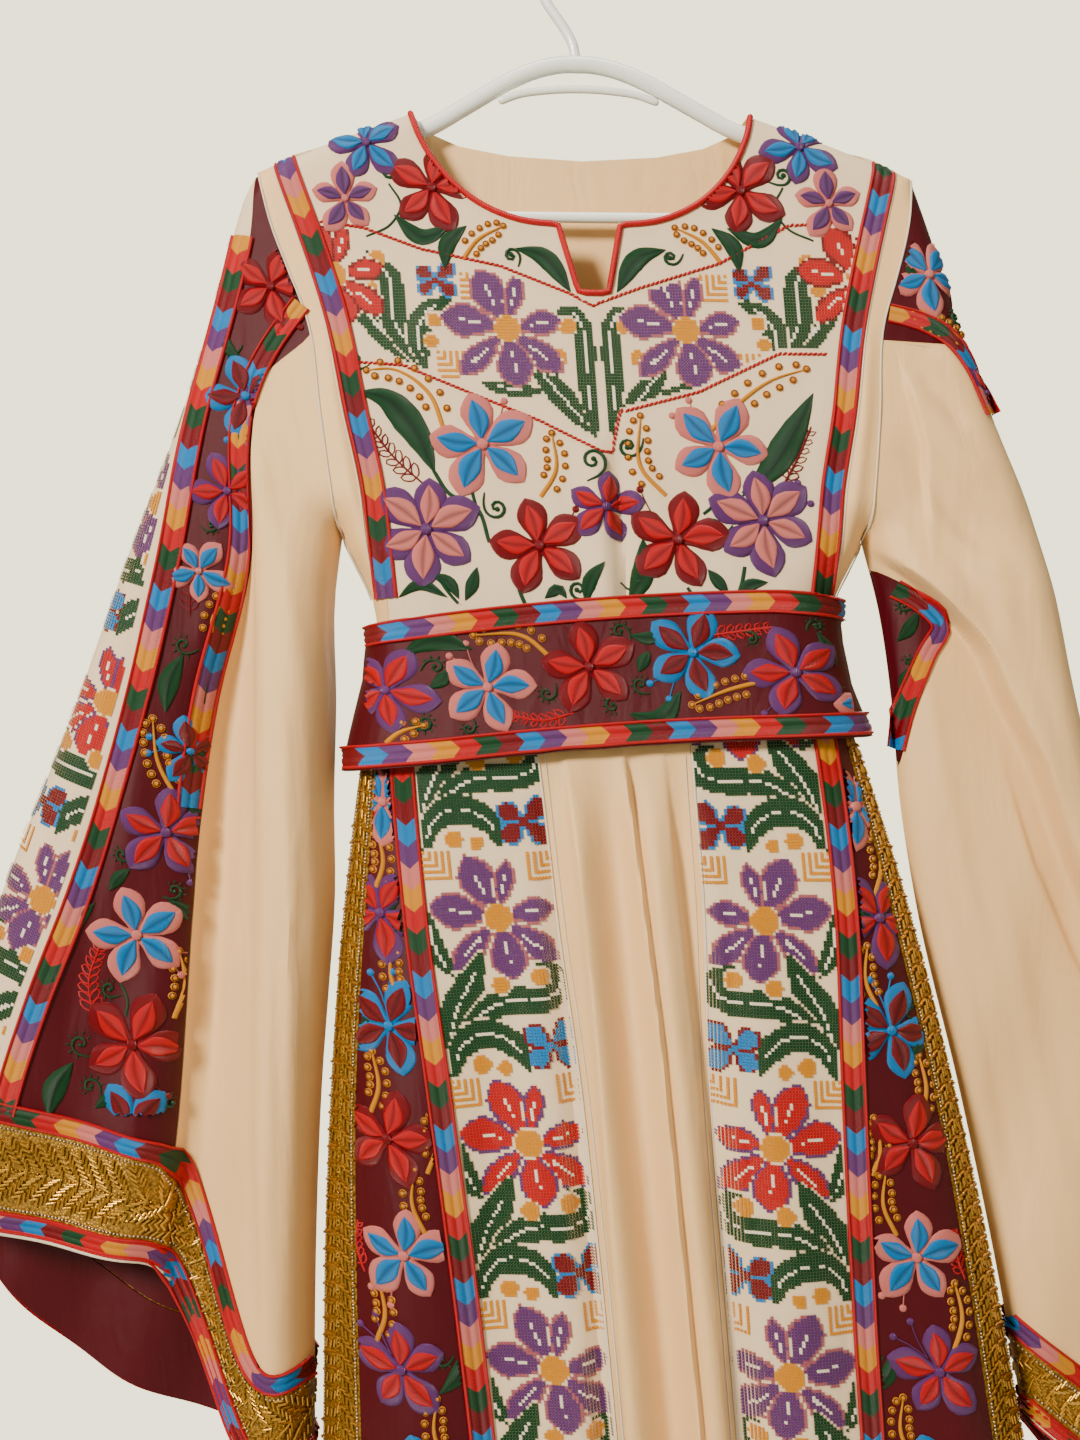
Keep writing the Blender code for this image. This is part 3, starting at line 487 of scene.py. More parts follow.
# Soft troughs (below zero) and ridges of the cloth, each along a straight line.
FRONT_CREASES = (
    Crease(-128, 330, -150, 300, 7, 1.6), Crease(-100, 372, -142, 345, 8, -1.4),
    Crease(30, 350, 60, 440, 9, -1.5), Crease(-40, 372, -28, 448, 8, 1.4),
    Crease(-96, 240, -118, 300, 10, 1.2), Crease(98, 226, 120, 300, 10, -1.2),
    Crease(80, 400, 128, 360, 8, 1.5), Crease(150, 300, 128, 420, 5, 1.6),
    Crease(-60, 600, -78, 900, 12, 2.2), Crease(66, 620, 84, 980, 13, 2.0),
    Crease(-100, 700, -120, 1100, 12, -2.4), Crease(104, 640, 120, 1000, 14, -2.6),
    Crease(-160, 760, -190, 1250, 14, 2.6), Crease(170, 720, 196, 1280, 15, 2.4),
    Crease(-20, 900, -26, 1300, 8, -2.0), Crease(18, 700, 30, 1000, 7, 1.6),
)

BACK_CREASES = (
    Crease(-60, 230, -70, 430, 12, -2.0), Crease(66, 240, 60, 430, 12, -1.8),
    Crease(-130, 330, -90, 420, 9, 2.0), Crease(132, 320, 90, 425, 9, 2.0),
    Crease(-10, 300, -4, 440, 10, 1.4), Crease(-110, 620, -130, 1100, 15, 3.0),
    Crease(100, 640, 124, 1200, 15, 3.0), Crease(10, 600, 20, 1100, 14, -3.0),
    Crease(-180, 800, -210, 1400, 16, -2.6), Crease(190, 760, 220, 1350, 16, -2.6),
)
LEFT_CREASES = (
    Crease(-232, 400, -238, 640, 5, 2.4), Crease(-214, 500, -236, 900, 5, 2.2),
    Crease(-226, 620, -252, 930, 4, -2.6), Crease(-262, 520, -292, 800, 7, -2.4),
    Crease(-246, 560, -300, 860, 5, 1.8), Crease(-214, 420, -196, 560, 6, 1.8),
    Crease(-200, 430, -206, 700, 5, -1.8), Crease(-290, 420, -330, 640, 9, 1.8),
    Crease(-330, 560, -380, 760, 10, -2.0), Crease(-238, 330, -212, 440, 9, 2.2),
)
RIGHT_CREASES = (
    Crease(190, 300, 250, 380, 9, 2.6), Crease(186, 340, 246, 432, 8, -2.6),
    Crease(190, 385, 262, 440, 7, 2.6), Crease(206, 400, 270, 520, 8, -2.2),
    Crease(240, 430, 280, 600, 8, 2.2), Crease(262, 540, 310, 800, 10, -2.4),
    Crease(236, 620, 272, 860, 9, 2.4), Crease(210, 640, 246, 880, 8, -2.2),
    Crease(196, 480, 226, 700, 7, 1.8), Crease(300, 620, 330, 900, 9, 2.0),
    Crease(204, 300, 236, 340, 6, -2.0), Crease(214, 280, 262, 318, 6, 1.8),
)
SLEEVE_BACK_CREASES = (
    Crease(-240, 420, -300, 760, 10, 2.4), Crease(-300, 480, -380, 800, 11, -2.4),
    Crease(-220, 400, -236, 620, 8, -2.0), Crease(220, 420, 262, 760, 10, 2.4),
    Crease(262, 460, 312, 860, 10, -2.4), Crease(206, 500, 236, 860, 8, 2.0),
)


Fold = namedtuple("Fold", "points high low reach")
# Sharp folds down a line: cloth to the right of it stands high, cloth to the left lies low.
FOLDS = {
    "front": (
        Fold(((-42, 548), (-38, 640), (-35, 740), (-34, 980), (-30, 1570)), 6.0, 3.0, 10.0),
        Fold(((20, 1570), (15, 980), (8, 730), (0, 580), (-2, 548)), 6.0, 8.0, 10.0),
        Fold(((36, 1570), (32, 980), (30, 740), (26, 640), (23, 548)), 5.0, 3.0, 8.0),
    ),
    "left": (
        Fold(((-227, 350), (-236, 480), (-247, 640), (-258, 800), (-262, 930)), 5.0, 7.0, 24.0),
        Fold(((-206, 470), (-212, 640), (-222, 800), (-230, 950)), 2.5, 2.5, 10.0),
        Fold(((-330, 930), (-309, 790), (-299, 718), (-290, 652), (-277, 585)), 5.0, 6.0, 12.0),
    ),
    "right": (
        Fold(((350, 930), (318, 800), (292, 700), (262, 620), (248, 560)), 2.0, 3.0, 9.0),
        Fold(((196, 300), (206, 350), (204, 410)), 3.0, 3.0, 12.0),
    ),
    "back": (), "belt_front": (), "belt_back": (), "left_back": (), "right_back": (),
}


def path_offset(points, x, drop):
    """Distance to the right of a path, and how far along it, from 0 to 1."""
    line = np.array(points, float)
    step = np.diff(line, axis=0)
    best = np.full(np.shape(x), 1e9)
    off, along = np.zeros(np.shape(x)), np.zeros(np.shape(x))
    for i, (dx, dd) in enumerate(step):
        long = dx * dx + dd * dd
        t = np.clip(((x - line[i, 0]) * dx + (drop - line[i, 1]) * dd) / long, 0, 1)
        ax, ad = x - line[i, 0] - t * dx, drop - line[i, 1] - t * dd
        gap = np.hypot(ax, ad)
        near = gap < best
        best = np.where(near, gap, best)
        off = np.where(near, gap * np.sign(ax * dd - ad * dx), off)
        along = np.where(near, (i + t) / len(step), along)
    return off, along


def creased(relief, creases, folds):
    """The relief with soft creases and sharp folds added, which fade towards their ends."""

    def faded(t):
        fade = np.clip(t * 4, 0, 1) * np.clip((1 - t) * 4, 0, 1)
        return fade * fade * (3 - 2 * fade)

    def shaped(x, drop):
        total = relief(x, drop)
        for c in creases:
            off, t = path_offset(((c.x, c.drop), (c.to_x, c.to_drop)), x, drop)
            total = total + c.height * faded(t) * np.exp(-((off / c.width) ** 2))
        for f in folds:
            off, t = path_offset(f.points, x, drop)
            edge = 0.5 + 0.5 * np.tanh(off / 1.6)
            decay = np.exp(-np.abs(off) / f.reach)
            total = total + faded(t * 0.9 + 0.05) * decay * (f.high * edge - f.low * (1 - edge))
        return total

    return shaped


def settings():
    return bpy.context.scene.thobe


def surfaces():
    """Every cloth surface by name, each with its own creases."""
    found = {
        "front": (torso(-1), FRONT_CREASES),
        "back": (torso(1), BACK_CREASES),
        "belt_front": (torso(-1), ()),
        "belt_back": (torso(1), ()),
        "left": (sleeve(-1, -1), LEFT_CREASES),
        "right": (sleeve(-1, 1), RIGHT_CREASES),
        "left_back": (sleeve(1, -1), SLEEVE_BACK_CREASES),
        "right_back": (sleeve(1, 1), SLEEVE_BACK_CREASES),
    }
    made = {n: s._replace(relief=creased(s.relief, c, FOLDS[n])) for n, (s, c) in found.items()}
    for name in ("belt_front", "belt_back"):
        under = made[name].relief
        made[name] = made[name]._replace(
            relief=lambda x, drop, under=under: under(x, np.maximum(drop, 493.0))
        )
    return made


SURFACES = surfaces()
CHUNK = 30000


def lifted(surface, x, drop, height=0.0):
    """Metres of points on a named surface, moved out by height in millimetres, and normals."""
    shape = np.shape(x)
    flat_x = np.asarray(x, float).ravel()
    flat_drop = np.asarray(drop, float).ravel()
    places, normals = [], []
    for start in range(0, flat_x.size, CHUNK):
        part = slice(start, start + CHUNK)
        place, normal = lift(SURFACES[surface], flat_x[part], flat_drop[part])
        places.append(place)
        normals.append(normal)
    normal = np.concatenate(normals)
    rise = np.broadcast_to(height, shape).reshape(-1, 1)
    place = world(np.concatenate(places) + normal * rise)
    return place.reshape(shape + (3,)), normal.reshape(shape + (3,))


def own(obj, nodes=()):
    """A finished piece: it moves with the dress, and may stand for some CAD nodes."""
    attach(obj, "root")
    if nodes:
        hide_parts(*nodes)
    return obj


def mesh_object(name, points, faces, finish, uv=None, tint=None, sharp=None):
    """A smooth mesh of quads or triangles, with a UV map and a colour for each point."""
    mesh = bpy.data.meshes.new(name)
    points = np.ascontiguousarray(points.reshape(-1, 3), np.float32)
    faces = np.ascontiguousarray(faces, np.int32)
    mesh.vertices.add(len(points))
    mesh.vertices.foreach_set("co", points.ravel())
    if len(faces):
        mesh.loops.add(faces.size)
        mesh.loops.foreach_set("vertex_index", faces.ravel())
        mesh.polygons.add(len(faces))
        mesh.polygons.foreach_set("loop_start", np.arange(len(faces), dtype=np.int32) * faces.shape[1])
    mesh.update(calc_edges=True)
    if uv is not None:
        layer = mesh.uv_layers.new(name="cloth")
        layer.uv.foreach_set("vector", np.asarray(uv, np.float32).reshape(-1, 2)[faces.ravel()].ravel())
    if tint is not None:
        colours = mesh.color_attributes.new("tint", "FLOAT_COLOR", "POINT")
        rgba = np.concatenate([tint.reshape(-1, 3), np.ones((len(points), 1))], axis=1)
        colours.data.foreach_set("color", rgba.astype(np.float32).ravel())
    mesh.shade_smooth()
    if sharp:
        mesh.set_sharp_from_angle(angle=math.radians(sharp))
    mesh.materials.append(finish)
    made = bpy.data.objects.new(name, mesh)
    bpy.context.scene.collection.objects.link(made)
    return made


def shell_faces(rows, cols):
    """Faces of a closed wall between two grids of rows by cols points."""
    a = (np.arange(rows - 1)[:, None] * cols + np.arange(cols - 1)[None, :]).ravel()
    b = a + cols
    under = rows * cols
    faces = [np.stack([a, b, b + 1, a + 1], axis=1)]
    faces.append(faces[0][:, ::-1] + under)
    for line, turn in (
        (np.arange(rows) * cols, 1),
        (np.arange(rows) * cols + cols - 1, -1),
        (np.arange(cols), -1),
        (np.arange(cols) + (rows - 1) * cols, 1),
    ):
        i, j = (line[:-1], line[1:]) if turn > 0 else (line[1:], line[:-1])
        faces.append(np.stack([j, i, i + under, j + under], axis=1))
    return np.concatenate(faces)


def outward(points, faces):
    """The faces, turned round if they enclose their volume from inside."""
    p = points.reshape(-1, 3)
    a, b, c, d = (p[faces[:, i]] for i in range(4))
    volume = (np.cross(b, c) * a).sum() + (np.cross(c, d) * a).sum()
    return faces[:, ::-1] if volume < 0 else faces


def sheet_area(outer):
    """Area in square metres of a grid of points."""
    down = outer[1:, :-1] - outer[:-1, :-1]
    across = outer[:-1, 1:] - outer[:-1, :-1]
    return float(np.linalg.norm(np.cross(down, across), axis=-1).sum())


def cut_size(outer):
    """Width and length in metres of the flat cloth that a grid of points was cut from."""
    across = np.linalg.norm(np.diff(outer, axis=1), axis=-1).sum(axis=1).max()
    down = np.linalg.norm(np.diff(outer, axis=0), axis=-1).sum(axis=0).max()
    return float(across), float(down)


def cloth(node, surface, x, drop, finish, low=-1.2, high=0.0, stands_in=True):
    """A thin cloth shell, as a rule in place of a CAD node. The size of its cut is worked out, but not kept.
    """
    outer, normal = lifted(surface, x, drop, high)
    low = np.broadcast_to(low, x.shape)[..., None]
    high = np.broadcast_to(high, x.shape)[..., None]
    inner = outer - normal * (high - low) * MM
    points = np.concatenate([outer.reshape(-1, 3), inner.reshape(-1, 3)])
    faces = outward(points, shell_faces(*x.shape))
    uv = np.stack([x, -drop], axis=-1).reshape(-1, 2) * MM
    made = mesh_object(f"{node}_cloth", points, faces, material(finish), np.tile(uv, (2, 1)), sharp=50)
    own(made, [node] if stands_in else ())
    width, length = cut_size(outer)
    area = min(sheet_area(outer), 0.99 * width * length)
    return made


def between(low, high, share):
    return low + (high - low) * share


def finer(values, steps):
    values = np.asarray(values, float)
    at = np.linspace(0, len(values) - 1, (len(values) - 1) * steps + 1)
    return np.interp(at, np.arange(len(values)), values)


def laid_out(columns, drops, across=None, down=None):
    """x and drop of a panel's points, with finer rows and columns between its own."""
    across = across or settings().columns
    down = down or settings().rows
    rows = [finer(drops(top), down) for top, _ in columns]
    drop = np.stack(rows, axis=1)
    x = np.stack([line(drop[:, i]) for i, (_, line) in enumerate(columns)], axis=1)
    at = np.linspace(0, x.shape[1] - 1, (x.shape[1] - 1) * across + 1)
    low = np.minimum(at.astype(int), x.shape[1] - 2)
    t = at - low
    return x[:, low] * (1 - t) + x[:, low + 1] * t, drop[:, low] * (1 - t) + drop[:, low + 1] * t


def bodice_drops(top):
    upper = [between(top, YOKE_END, share) for share in YOKE_SHARES]
    return np.array(upper + list(ARM_STATIONS) + list(WAIST_STATIONS))


def skirt_drops(top):
    return np.linspace(top, HEM, SKIRT_ROWS + 1)


def braid_line(side, offset):
    return lambda drop: middle_x(drop) + side * (level(BODICE, "braid", drop) + offset)


def armhole_line(side, share):
    """Between the braid's outer edge, share 0, and the armhole or side seam, share 1."""

    def line(drop):
        inner = level(BODICE, "braid", drop) + BRAID_WIDTH / 2
        outer = level(BODICE, "side", drop)
        return middle_x(drop) + side * between(inner, outer, share)

    return line


def yoke_top(x):
    return float(shoulder_drop(x))


def neck_points():
    """The neck's right half: its notch, and the round line up to the shoulder."""
    arc = dense(NECK_FRONT[2:], 3)
    return [(p.x, p.drop) for p in NECK_FRONT[:2]] + [tuple(p) for p in arc]


def scaled_line(share):
    return lambda drop: middle_x(drop) + share * (level(BODICE, "braid", drop) - BRAID_WIDTH / 2)


def bib_columns():
    """The bib's columns run from the neck's own points and the shoulder down to the belt."""
    starts = neck_points() + [(x, yoke_top(x)) for x in (120.0, 130.0, 140.0, 150.0, 160.0, 170.0)]
    columns = []
    for side in (1, -1):
        half = []
        for x, drop in starts[side < 0 :]:
            share = side * x / (float(level(BODICE, "braid", drop)) - BRAID_WIDTH / 2)
            half.append((drop, scaled_line(share)))
        half.append((yoke_top(188.0), braid_line(side, -BRAID_WIDTH / 2)))
        half.append((yoke_top(196.0), braid_line(side, -SEAM / 2)))
        columns = half[::-1] + columns if side < 0 else half
    return columns


def back_columns():
    def back_line(share):
        return lambda drop: middle_x(drop) + share * level(BODICE, "side", drop)

    starts = [(p.x, p.drop) for p in NECK_BACK] + [(x, yoke_top(x)) for x in (130.0, 150.0, 186.0)]
    right = [(drop, x / float(level(BODICE, "side", drop))) for x, drop in starts]
    columns = [(yoke_top(216.0), armhole_line(-1, 1.0))]
    columns += [(drop, back_line(-share)) for drop, share in right[:0:-1]]
    columns += [(drop, back_line(share)) for drop, share in right]
    columns.append((yoke_top(216.0), armhole_line(1, 1.0)))
    return columns


def bodice():
    x, drop = laid_out(bib_columns(), bodice_drops, across=2)
    cloth("bodice_bib_front", "front", x, drop, "cream_crepe")
    for side, label in ((-1, "left"), (1, "right")):
        columns = [
            (yoke_top(196.0), braid_line(side, SEAM / 2)),
            (yoke_top(204.0), armhole_line(side, 0.0)),
            (yoke_top(210.0), armhole_line(side, 0.5)),
            (yoke_top(216.0), armhole_line(side, 1.0)),
        ]
        x, drop = laid_out(columns, bodice_drops)
        cloth(f"bodice_side_front_{label}", "front", x, drop, "beige_crepe")
    x, drop = laid_out(back_columns(), bodice_drops, across=3)
    cloth("bodice_back", "back", x, drop, "beige_crepe")


def belt_point(share, down):
    """x and drop on the belt at a share across, from -1 to 1, and a share down."""
    angle = np.asarray(share) * math.pi / 2
    down = np.asarray(down)
    half = between(level(BODICE, "side", 457.0), level(SKIRT, "side", 548.0), down)
    x = middle_x(WAIST) + np.sin(angle) * half
    drop = BELT_TOP + BELT_SIDE_SAG * np.sin(angle) ** 2 + BELT_HEIGHT * down - TILT * x
    half = np.where(drop < WAIST, level(BODICE, "side", drop), level(SKIRT, "side", drop))
    return middle_x(drop) + np.sin(angle) * half, drop


def belt_rise(x, drop):
    """How far the belt's outer face stands off the dress."""
    half = level(BODICE, "side", WAIST)
    sag = BELT_SIDE_SAG * np.clip((x - middle_x(WAIST)) / half, -1, 1) ** 2
    down = np.clip((drop - BELT_TOP - sag + TILT * x) / BELT_HEIGHT, 0, 1)
    return BELT_STAND_OFF + BELT_FLARE * down + BELT_THICK


def belt():
    across, down = np.meshgrid(np.linspace(-1, 1, 81), np.linspace(0, 1, 22))
    x, drop = belt_point(across, down)
    high = BELT_STAND_OFF + BELT_FLARE * down + BELT_THICK
    for side in ("front", "back"):
        cloth(f"belt_{side}", f"belt_{side}", x, drop, "maroon_satin", high - 2.6, high)


def skirt_line(side, name, offset=0.0):
    return lambda drop: skirt_x(drop, side, name) + side * offset


def mixed(low, high, share):
    return lambda drop: between(low(drop), high(drop), share)


def skirt():
    top = WAIST + SEAM / 2

    def panel(node, surface, lines, finish, across):
        x, drop = laid_out([(top, each) for each in lines], skirt_drops, across, 10)
        cloth(node, surface, x, drop, finish)

    edges = skirt_line(-1, "centre", -SEAM / 2), skirt_line(1, "centre", -SEAM / 2)
    lines = [mixed(*edges, s) for s in np.linspace(0, 1, 15)]
    panel("skirt_centre_front", "front", lines, "beige_crepe", 5)
    edges = skirt_line(-1, "side"), skirt_line(1, "side")
    shares = 0.5 + 0.5 * np.sin(np.linspace(-1, 1, 17) * math.pi / 2)
    panel("skirt_back", "back", [mixed(*edges, s) for s in shares], "beige_crepe", 3)
    half = BRAID_WIDTH / 2
    for side, label in ((-1, "left"), (1, "right")):
        edges = skirt_line(side, "centre", SEAM / 2), skirt_line(side, "strip", -half)
        lines = [mixed(*edges, s) for s in (0, 0.34, 0.67, 1)] + [skirt_line(side, "strip", -SEAM / 2)]
        panel(f"skirt_strip_{label}", "front", lines, "cream_crepe", 4)
        edges = skirt_line(side, "strip", half), skirt_line(side, "maroon", -SEAM / 2)
        lines = [skirt_line(side, "strip", SEAM / 2)] + [mixed(*edges, s) for s in (0, 0.34, 0.67, 1)]
        panel(f"skirt_maroon_{label}", "front", lines, "maroon_satin", 4)
        edges = skirt_line(side, "maroon", SEAM / 2), skirt_line(side, "side")
        lines = [mixed(*edges, s) for s in (0, 0.45, 0.8, 1)]
        panel(f"skirt_gold_{label}", "front", lines, "gold_beads", 5)


def left_line(share):
    """A line down the left sleeve's front by share, through its panels' own lines."""

    def line(drop):
        inner = np.abs(under_x(drop, -1))
        gore = np.where(drop <= YOKE_END, inner, level(LEFT_LINES, "gore", drop))
        fold = np.where(drop <= YOKE_END, inner, level(LEFT_LINES, "fold", drop))
        maroon_edge = level(LEFT_LINES, "maroon", drop)
        strip_edge = level(LEFT_LINES, "strip", drop)
        lines = [inner, fold, gore, maroon_edge, strip_edge, np.abs(outer_x(drop, -1))]
        x = inner
        for a, b, low, high in zip(LEFT_SHARES[:-1], LEFT_SHARES[1:], lines[:-1], lines[1:]):
            x = x + (high - low) * min(max((share - a) / (b - a), 0.0), 1.0)
        return -x

    return line


def right_inner(drop):
    patch = level(RIGHT_UNDER_PATCH, "x", drop)
    inside = (drop > PATCH_STATIONS[0] - 1) & (drop < PATCH_STATIONS[-1] + 1)
    return under_x(drop, 1) + np.where(inside, patch, 0.0)


def right_outer(drop):
    gore = np.where(drop <= YOKE_END, side_x(drop, 1) + 1, level(RIGHT_GORE, "x", drop))
    return np.where(drop < RIGHT_GORE[-1].drop + 1, gore, outer_x(drop, 1))


def right_line(share):
    return lambda drop: between(right_inner(drop), right_outer(drop), share)


def back_line_of(side):
    def of_share(share):
        return lambda drop: between(under_x(drop, side), outer_x(drop, side), share)

    return of_share


def inset(line, side, amount):
    """A line moved out by amount, but not where it lies on the underarm fold."""

    def moved(drop):
        x = line(drop)
        on_fold = (drop > ARMPIT - 1) & (np.abs(x - under_x(drop, side)) < 0.01)
        return x + side * np.where(on_fold, 0.0, amount)

    return moved


def cuff(share, side, facing):
    """Where the sleeve's cloth ends at a share across, and how wide and deep its band spreads."""
    rows = LEFT_CUFF if side < 0 else RIGHT_CUFF
    shares = column(rows, "share")
    if facing > 0:
        rows = (rows[0], rows[-1])
        shares = (0.0, 1.0)
    drop, wide, deep = (float(np.interp(share, shares, column(rows, n))) for n in Cuff._fields[1:])
    if facing > 0:
        drop += BACK_LOWER * math.sin(math.pi * share)
    return drop, wide, deep


def sleeve_drops(side, facing, share, first):
    """The drops of a sleeve column's rows, from its first row on."""
    upper = [between(SHOULDER[-1].drop, YOKE_END, s) for s in YOKE_SHARES[1:]]
    fixed = list(ARM_STATIONS) + (list(PATCH_STATIONS) if side > 0 else [])
    end = cuff(share, side, facing)[0] - SEAM / 2
    rest = [between(fixed[-1], end, s) for s in np.linspace(0, 1, SLEEVE_ROWS + 1)[1:]]
    return np.array((upper + fixed + rest)[first:])


def sleeve_panel(side, facing, lines, shares, first=0, gaps=(1, 1), fine=(None, None)):
    columns = []
    for i, share in enumerate(shares):
        line = lines(share)
        if i == 0 and gaps[0]:
            line = inset(line, side, SEAM / 2)
        if i == len(shares) - 1 and gaps[1]:
            line = inset(line, side, -SEAM / 2)
        columns.append((share, line))
    return laid_out(columns, lambda share: sleeve_drops(side, facing, share, first), *fine)


def band_line(side, facing, lines, share, down):
    """x and drop of the gold band at a share across and a share down."""
    start, wide, deep = cuff(share, side, facing)
    start += SEAM / 2
    drop = start + deep * np.asarray(down, float)
    at = np.abs(lines(share)(np.array([start]))) + wide * np.asarray(down, float)
    low = np.abs(under_x(drop, side))
    high = np.abs(outer_x(drop, side))
    if share in (0.0, 1.0):
        at = low if share == 0.0 else high
    return side * np.clip(at, low, high), drop


def band_grid(side, facing, lines, shares, start=0.0, end=1.0, rows=13):
    """The gold band below the sleeve's cloth, from one share down it to another."""
    shares = finer(shares, 7)
    columns = [band_line(side, facing, lines, float(s), np.linspace(start, end, rows)) for s in shares]
    x, drop = zip(*columns)
    return np.stack(x, axis=1), np.stack(drop, axis=1)


def left_front():
    node = "sleeve_left"
    x, drop = sleeve_panel(-1, -1, left_line, LEFT_FRONT_SHARES[:9], first=len(YOKE_SHARES) - 2)
    cloth(f"{node}_gore_front", "left", x, drop, "beige_crepe")
    x, drop = sleeve_panel(-1, -1, left_line, LEFT_FRONT_SHARES[8:13])
    cloth(f"{node}_maroon_front", "left", x, drop, "maroon_satin")
    x, drop = sleeve_panel(-1, -1, left_line, LEFT_FRONT_SHARES[12:], gaps=(1, 0))
    cloth(f"{node}_strip_front", "left", x, drop, "cream_crepe")


def right_front():
    node = "sleeve_right"
    first = len(YOKE_SHARES) - 2
    x, drop = sleeve_panel(1, -1, right_line, RIGHT_FRONT_SHARES, first=first, gaps=(1, 0), fine=(9, 11))
    cloth(f"{node}_gore_front", "right", x, drop, "beige_crepe")
    drops = sleeve_drops(1, -1, 1.0, 0)
    drops = finer(drops[: np.searchsorted(drops, RIGHT_GORE[-1].drop + 1)], 4)
    inner = np.where(drops < YOKE_END, side_x(drops, 1), right_outer(drops)) + SEAM / 2
    across = np.linspace(0, 1, 12)[None, :]
    x = between(inner[:, None], outer_x(drops, 1)[:, None], across)
    drop = np.repeat(drops[:, None], across.shape[1], axis=1)
    cloth(f"{node}_maroon_front", "right", x, drop, "maroon_satin")
    drops = finer(PATCH_STATIONS, 5)
    across = np.linspace(0, 1, 9)[None, :]
    high = right_inner(drops) - SEAM / 2
    x = between(under_x(drops, 1)[:, None], high[:, None], across)
    drop = np.repeat(drops[:, None], across.shape[1], axis=1)
    cloth(f"{node}_underarm_front", "right", x, drop, "maroon_satin")


SLOT_OF = {"beige": "beige_crepe", "cream": "cream_crepe", "maroon": "maroon_satin"}


def sleeve_backs(side, label):
    lines = back_line_of(side)
    shares = BACK_SHARES[side]
    surface = f"{label}_back"
    for part, start, end, finish in BACK_PARTS[side]:
        own_shares = shares[start : end + 1]
        x, drop = sleeve_panel(side, 1, lines, own_shares, gaps=(1, int(own_shares[-1] < 1)))
        cloth(f"sleeve_{label}_{part}_back", surface, x, drop, SLOT_OF[finish])
    x, drop = band_grid(side, 1, lines, shares)
    cloth(f"sleeve_{label}_gold_back", surface, x, drop, "gold_beads")
    x, drop = x[:, 3:-3], drop[:, 3:-3]
    cloth(f"sleeve_{label}_facing", surface, x, drop, "maroon_satin", -3.4, -2.4)
    x, drop = band_grid(side, 1, lines, shares, -1.6, -0.02)
    x, drop = x[:, 3:-3], drop[:, 3:-3]
    cloth(f"sleeve_{label}_lining", surface, x, drop, "maroon_satin", -3.4, -2.4, False)


def sleeves():
    left_front()
    right_front()
    for side, label in ((-1, "left"), (1, "right")):
        lines = left_line if side < 0 else right_line
        shares = LEFT_FRONT_SHARES if side < 0 else RIGHT_FRONT_SHARES
        x, drop = band_grid(side, -1, lines, shares)
        cloth(f"sleeve_{label}_gold_front", label, x, drop, "gold_beads")
        sleeve_backs(side, label)


def rgb(red, green, blue):
    """Linear colour from display values, 0 to 255."""
    v = np.array([red, green, blue]) / 255.0
    return tuple(float(c) for c in np.where(v <= 0.04045, v / 12.92, ((v + 0.055) / 1.055) ** 2.4))


THREAD = {
    "red": rgb(172, 0, 12),
    "crimson": rgb(104, 0, 12),
    "purple": rgb(86, 42, 96),
    "pink": rgb(194, 104, 98),
    "cyan": rgb(0, 108, 172),
    "green": rgb(6, 56, 26),
    "gold": rgb(198, 126, 0),
    "maroon": rgb(72, 0, 12),
    "white": rgb(226, 212, 190),
    "rose": rgb(150, 78, 88),
    "bead": rgb(190, 142, 46),
    "pale_bead": rgb(226, 214, 188),
}


def node(tree, kind, values=(), **properties):
    """A new node. A value is a number, a colour, or another node's output socket."""
    made = tree.nodes.new(kind)
    for name, value in properties.items():
        setattr(made, name, value)
    for name, value in dict(values).items():
        if isinstance(value, bpy.types.NodeSocket):
            tree.links.new(value, made.inputs[name])
        else:
            made.inputs[name].default_value = value
    return made


def maths(tree, operation, a, b=0.0):
    return node(tree, "ShaderNodeMath", {0: a, 1: b}, operation=operation).outputs[0]


def group_of(name, inputs, outputs):
    """A new shader group with its own sockets, its input node and its output node."""
    tree = bpy.data.node_groups.new(name, "ShaderNodeTree")
    for title, kind, value in inputs:
        socket = tree.interface.new_socket(title, in_out="INPUT", socket_type=kind)
        socket.default_value = value
    for title, kind in outputs:
        tree.interface.new_socket(title, in_out="OUTPUT", socket_type=kind)
    return tree, tree.nodes.new("NodeGroupInput"), tree.nodes.new("NodeGroupOutput")


def weave_group():
    """Height of a plain weave with slubs, from the cloth's own UV map in metres."""
    found = bpy.data.node_groups.get("weave")
    if found:
        return found
    inputs = [("Pitch", "NodeSocketFloat", 0.0007), ("Slub", "NodeSocketFloat", 0.5)]
    tree, start, end = group_of("weave", inputs, [("Height", "NodeSocketFloat")])
    uv = node(tree, "ShaderNodeUVMap", uv_map="cloth").outputs["UV"]
    split = node(tree, "ShaderNodeSeparateXYZ", {0: uv})
    turns = maths(tree, "DIVIDE", math.tau, start.outputs["Pitch"])
    waves = []
    for axis in ("X", "Y"):
        waves.append(maths(tree, "SINE", maths(tree, "MULTIPLY", split.outputs[axis], turns)))
    cross = maths(tree, "MULTIPLY", waves[0], waves[1])
    slub = node(tree, "ShaderNodeTexNoise", {"Vector": uv, "Scale": 900.0, "Detail": 3.0})
    extra = maths(tree, "MULTIPLY", slub.outputs["Fac"], start.outputs["Slub"])
    tree.links.new(maths(tree, "ADD", cross, extra), end.inputs["Height"])
    return tree


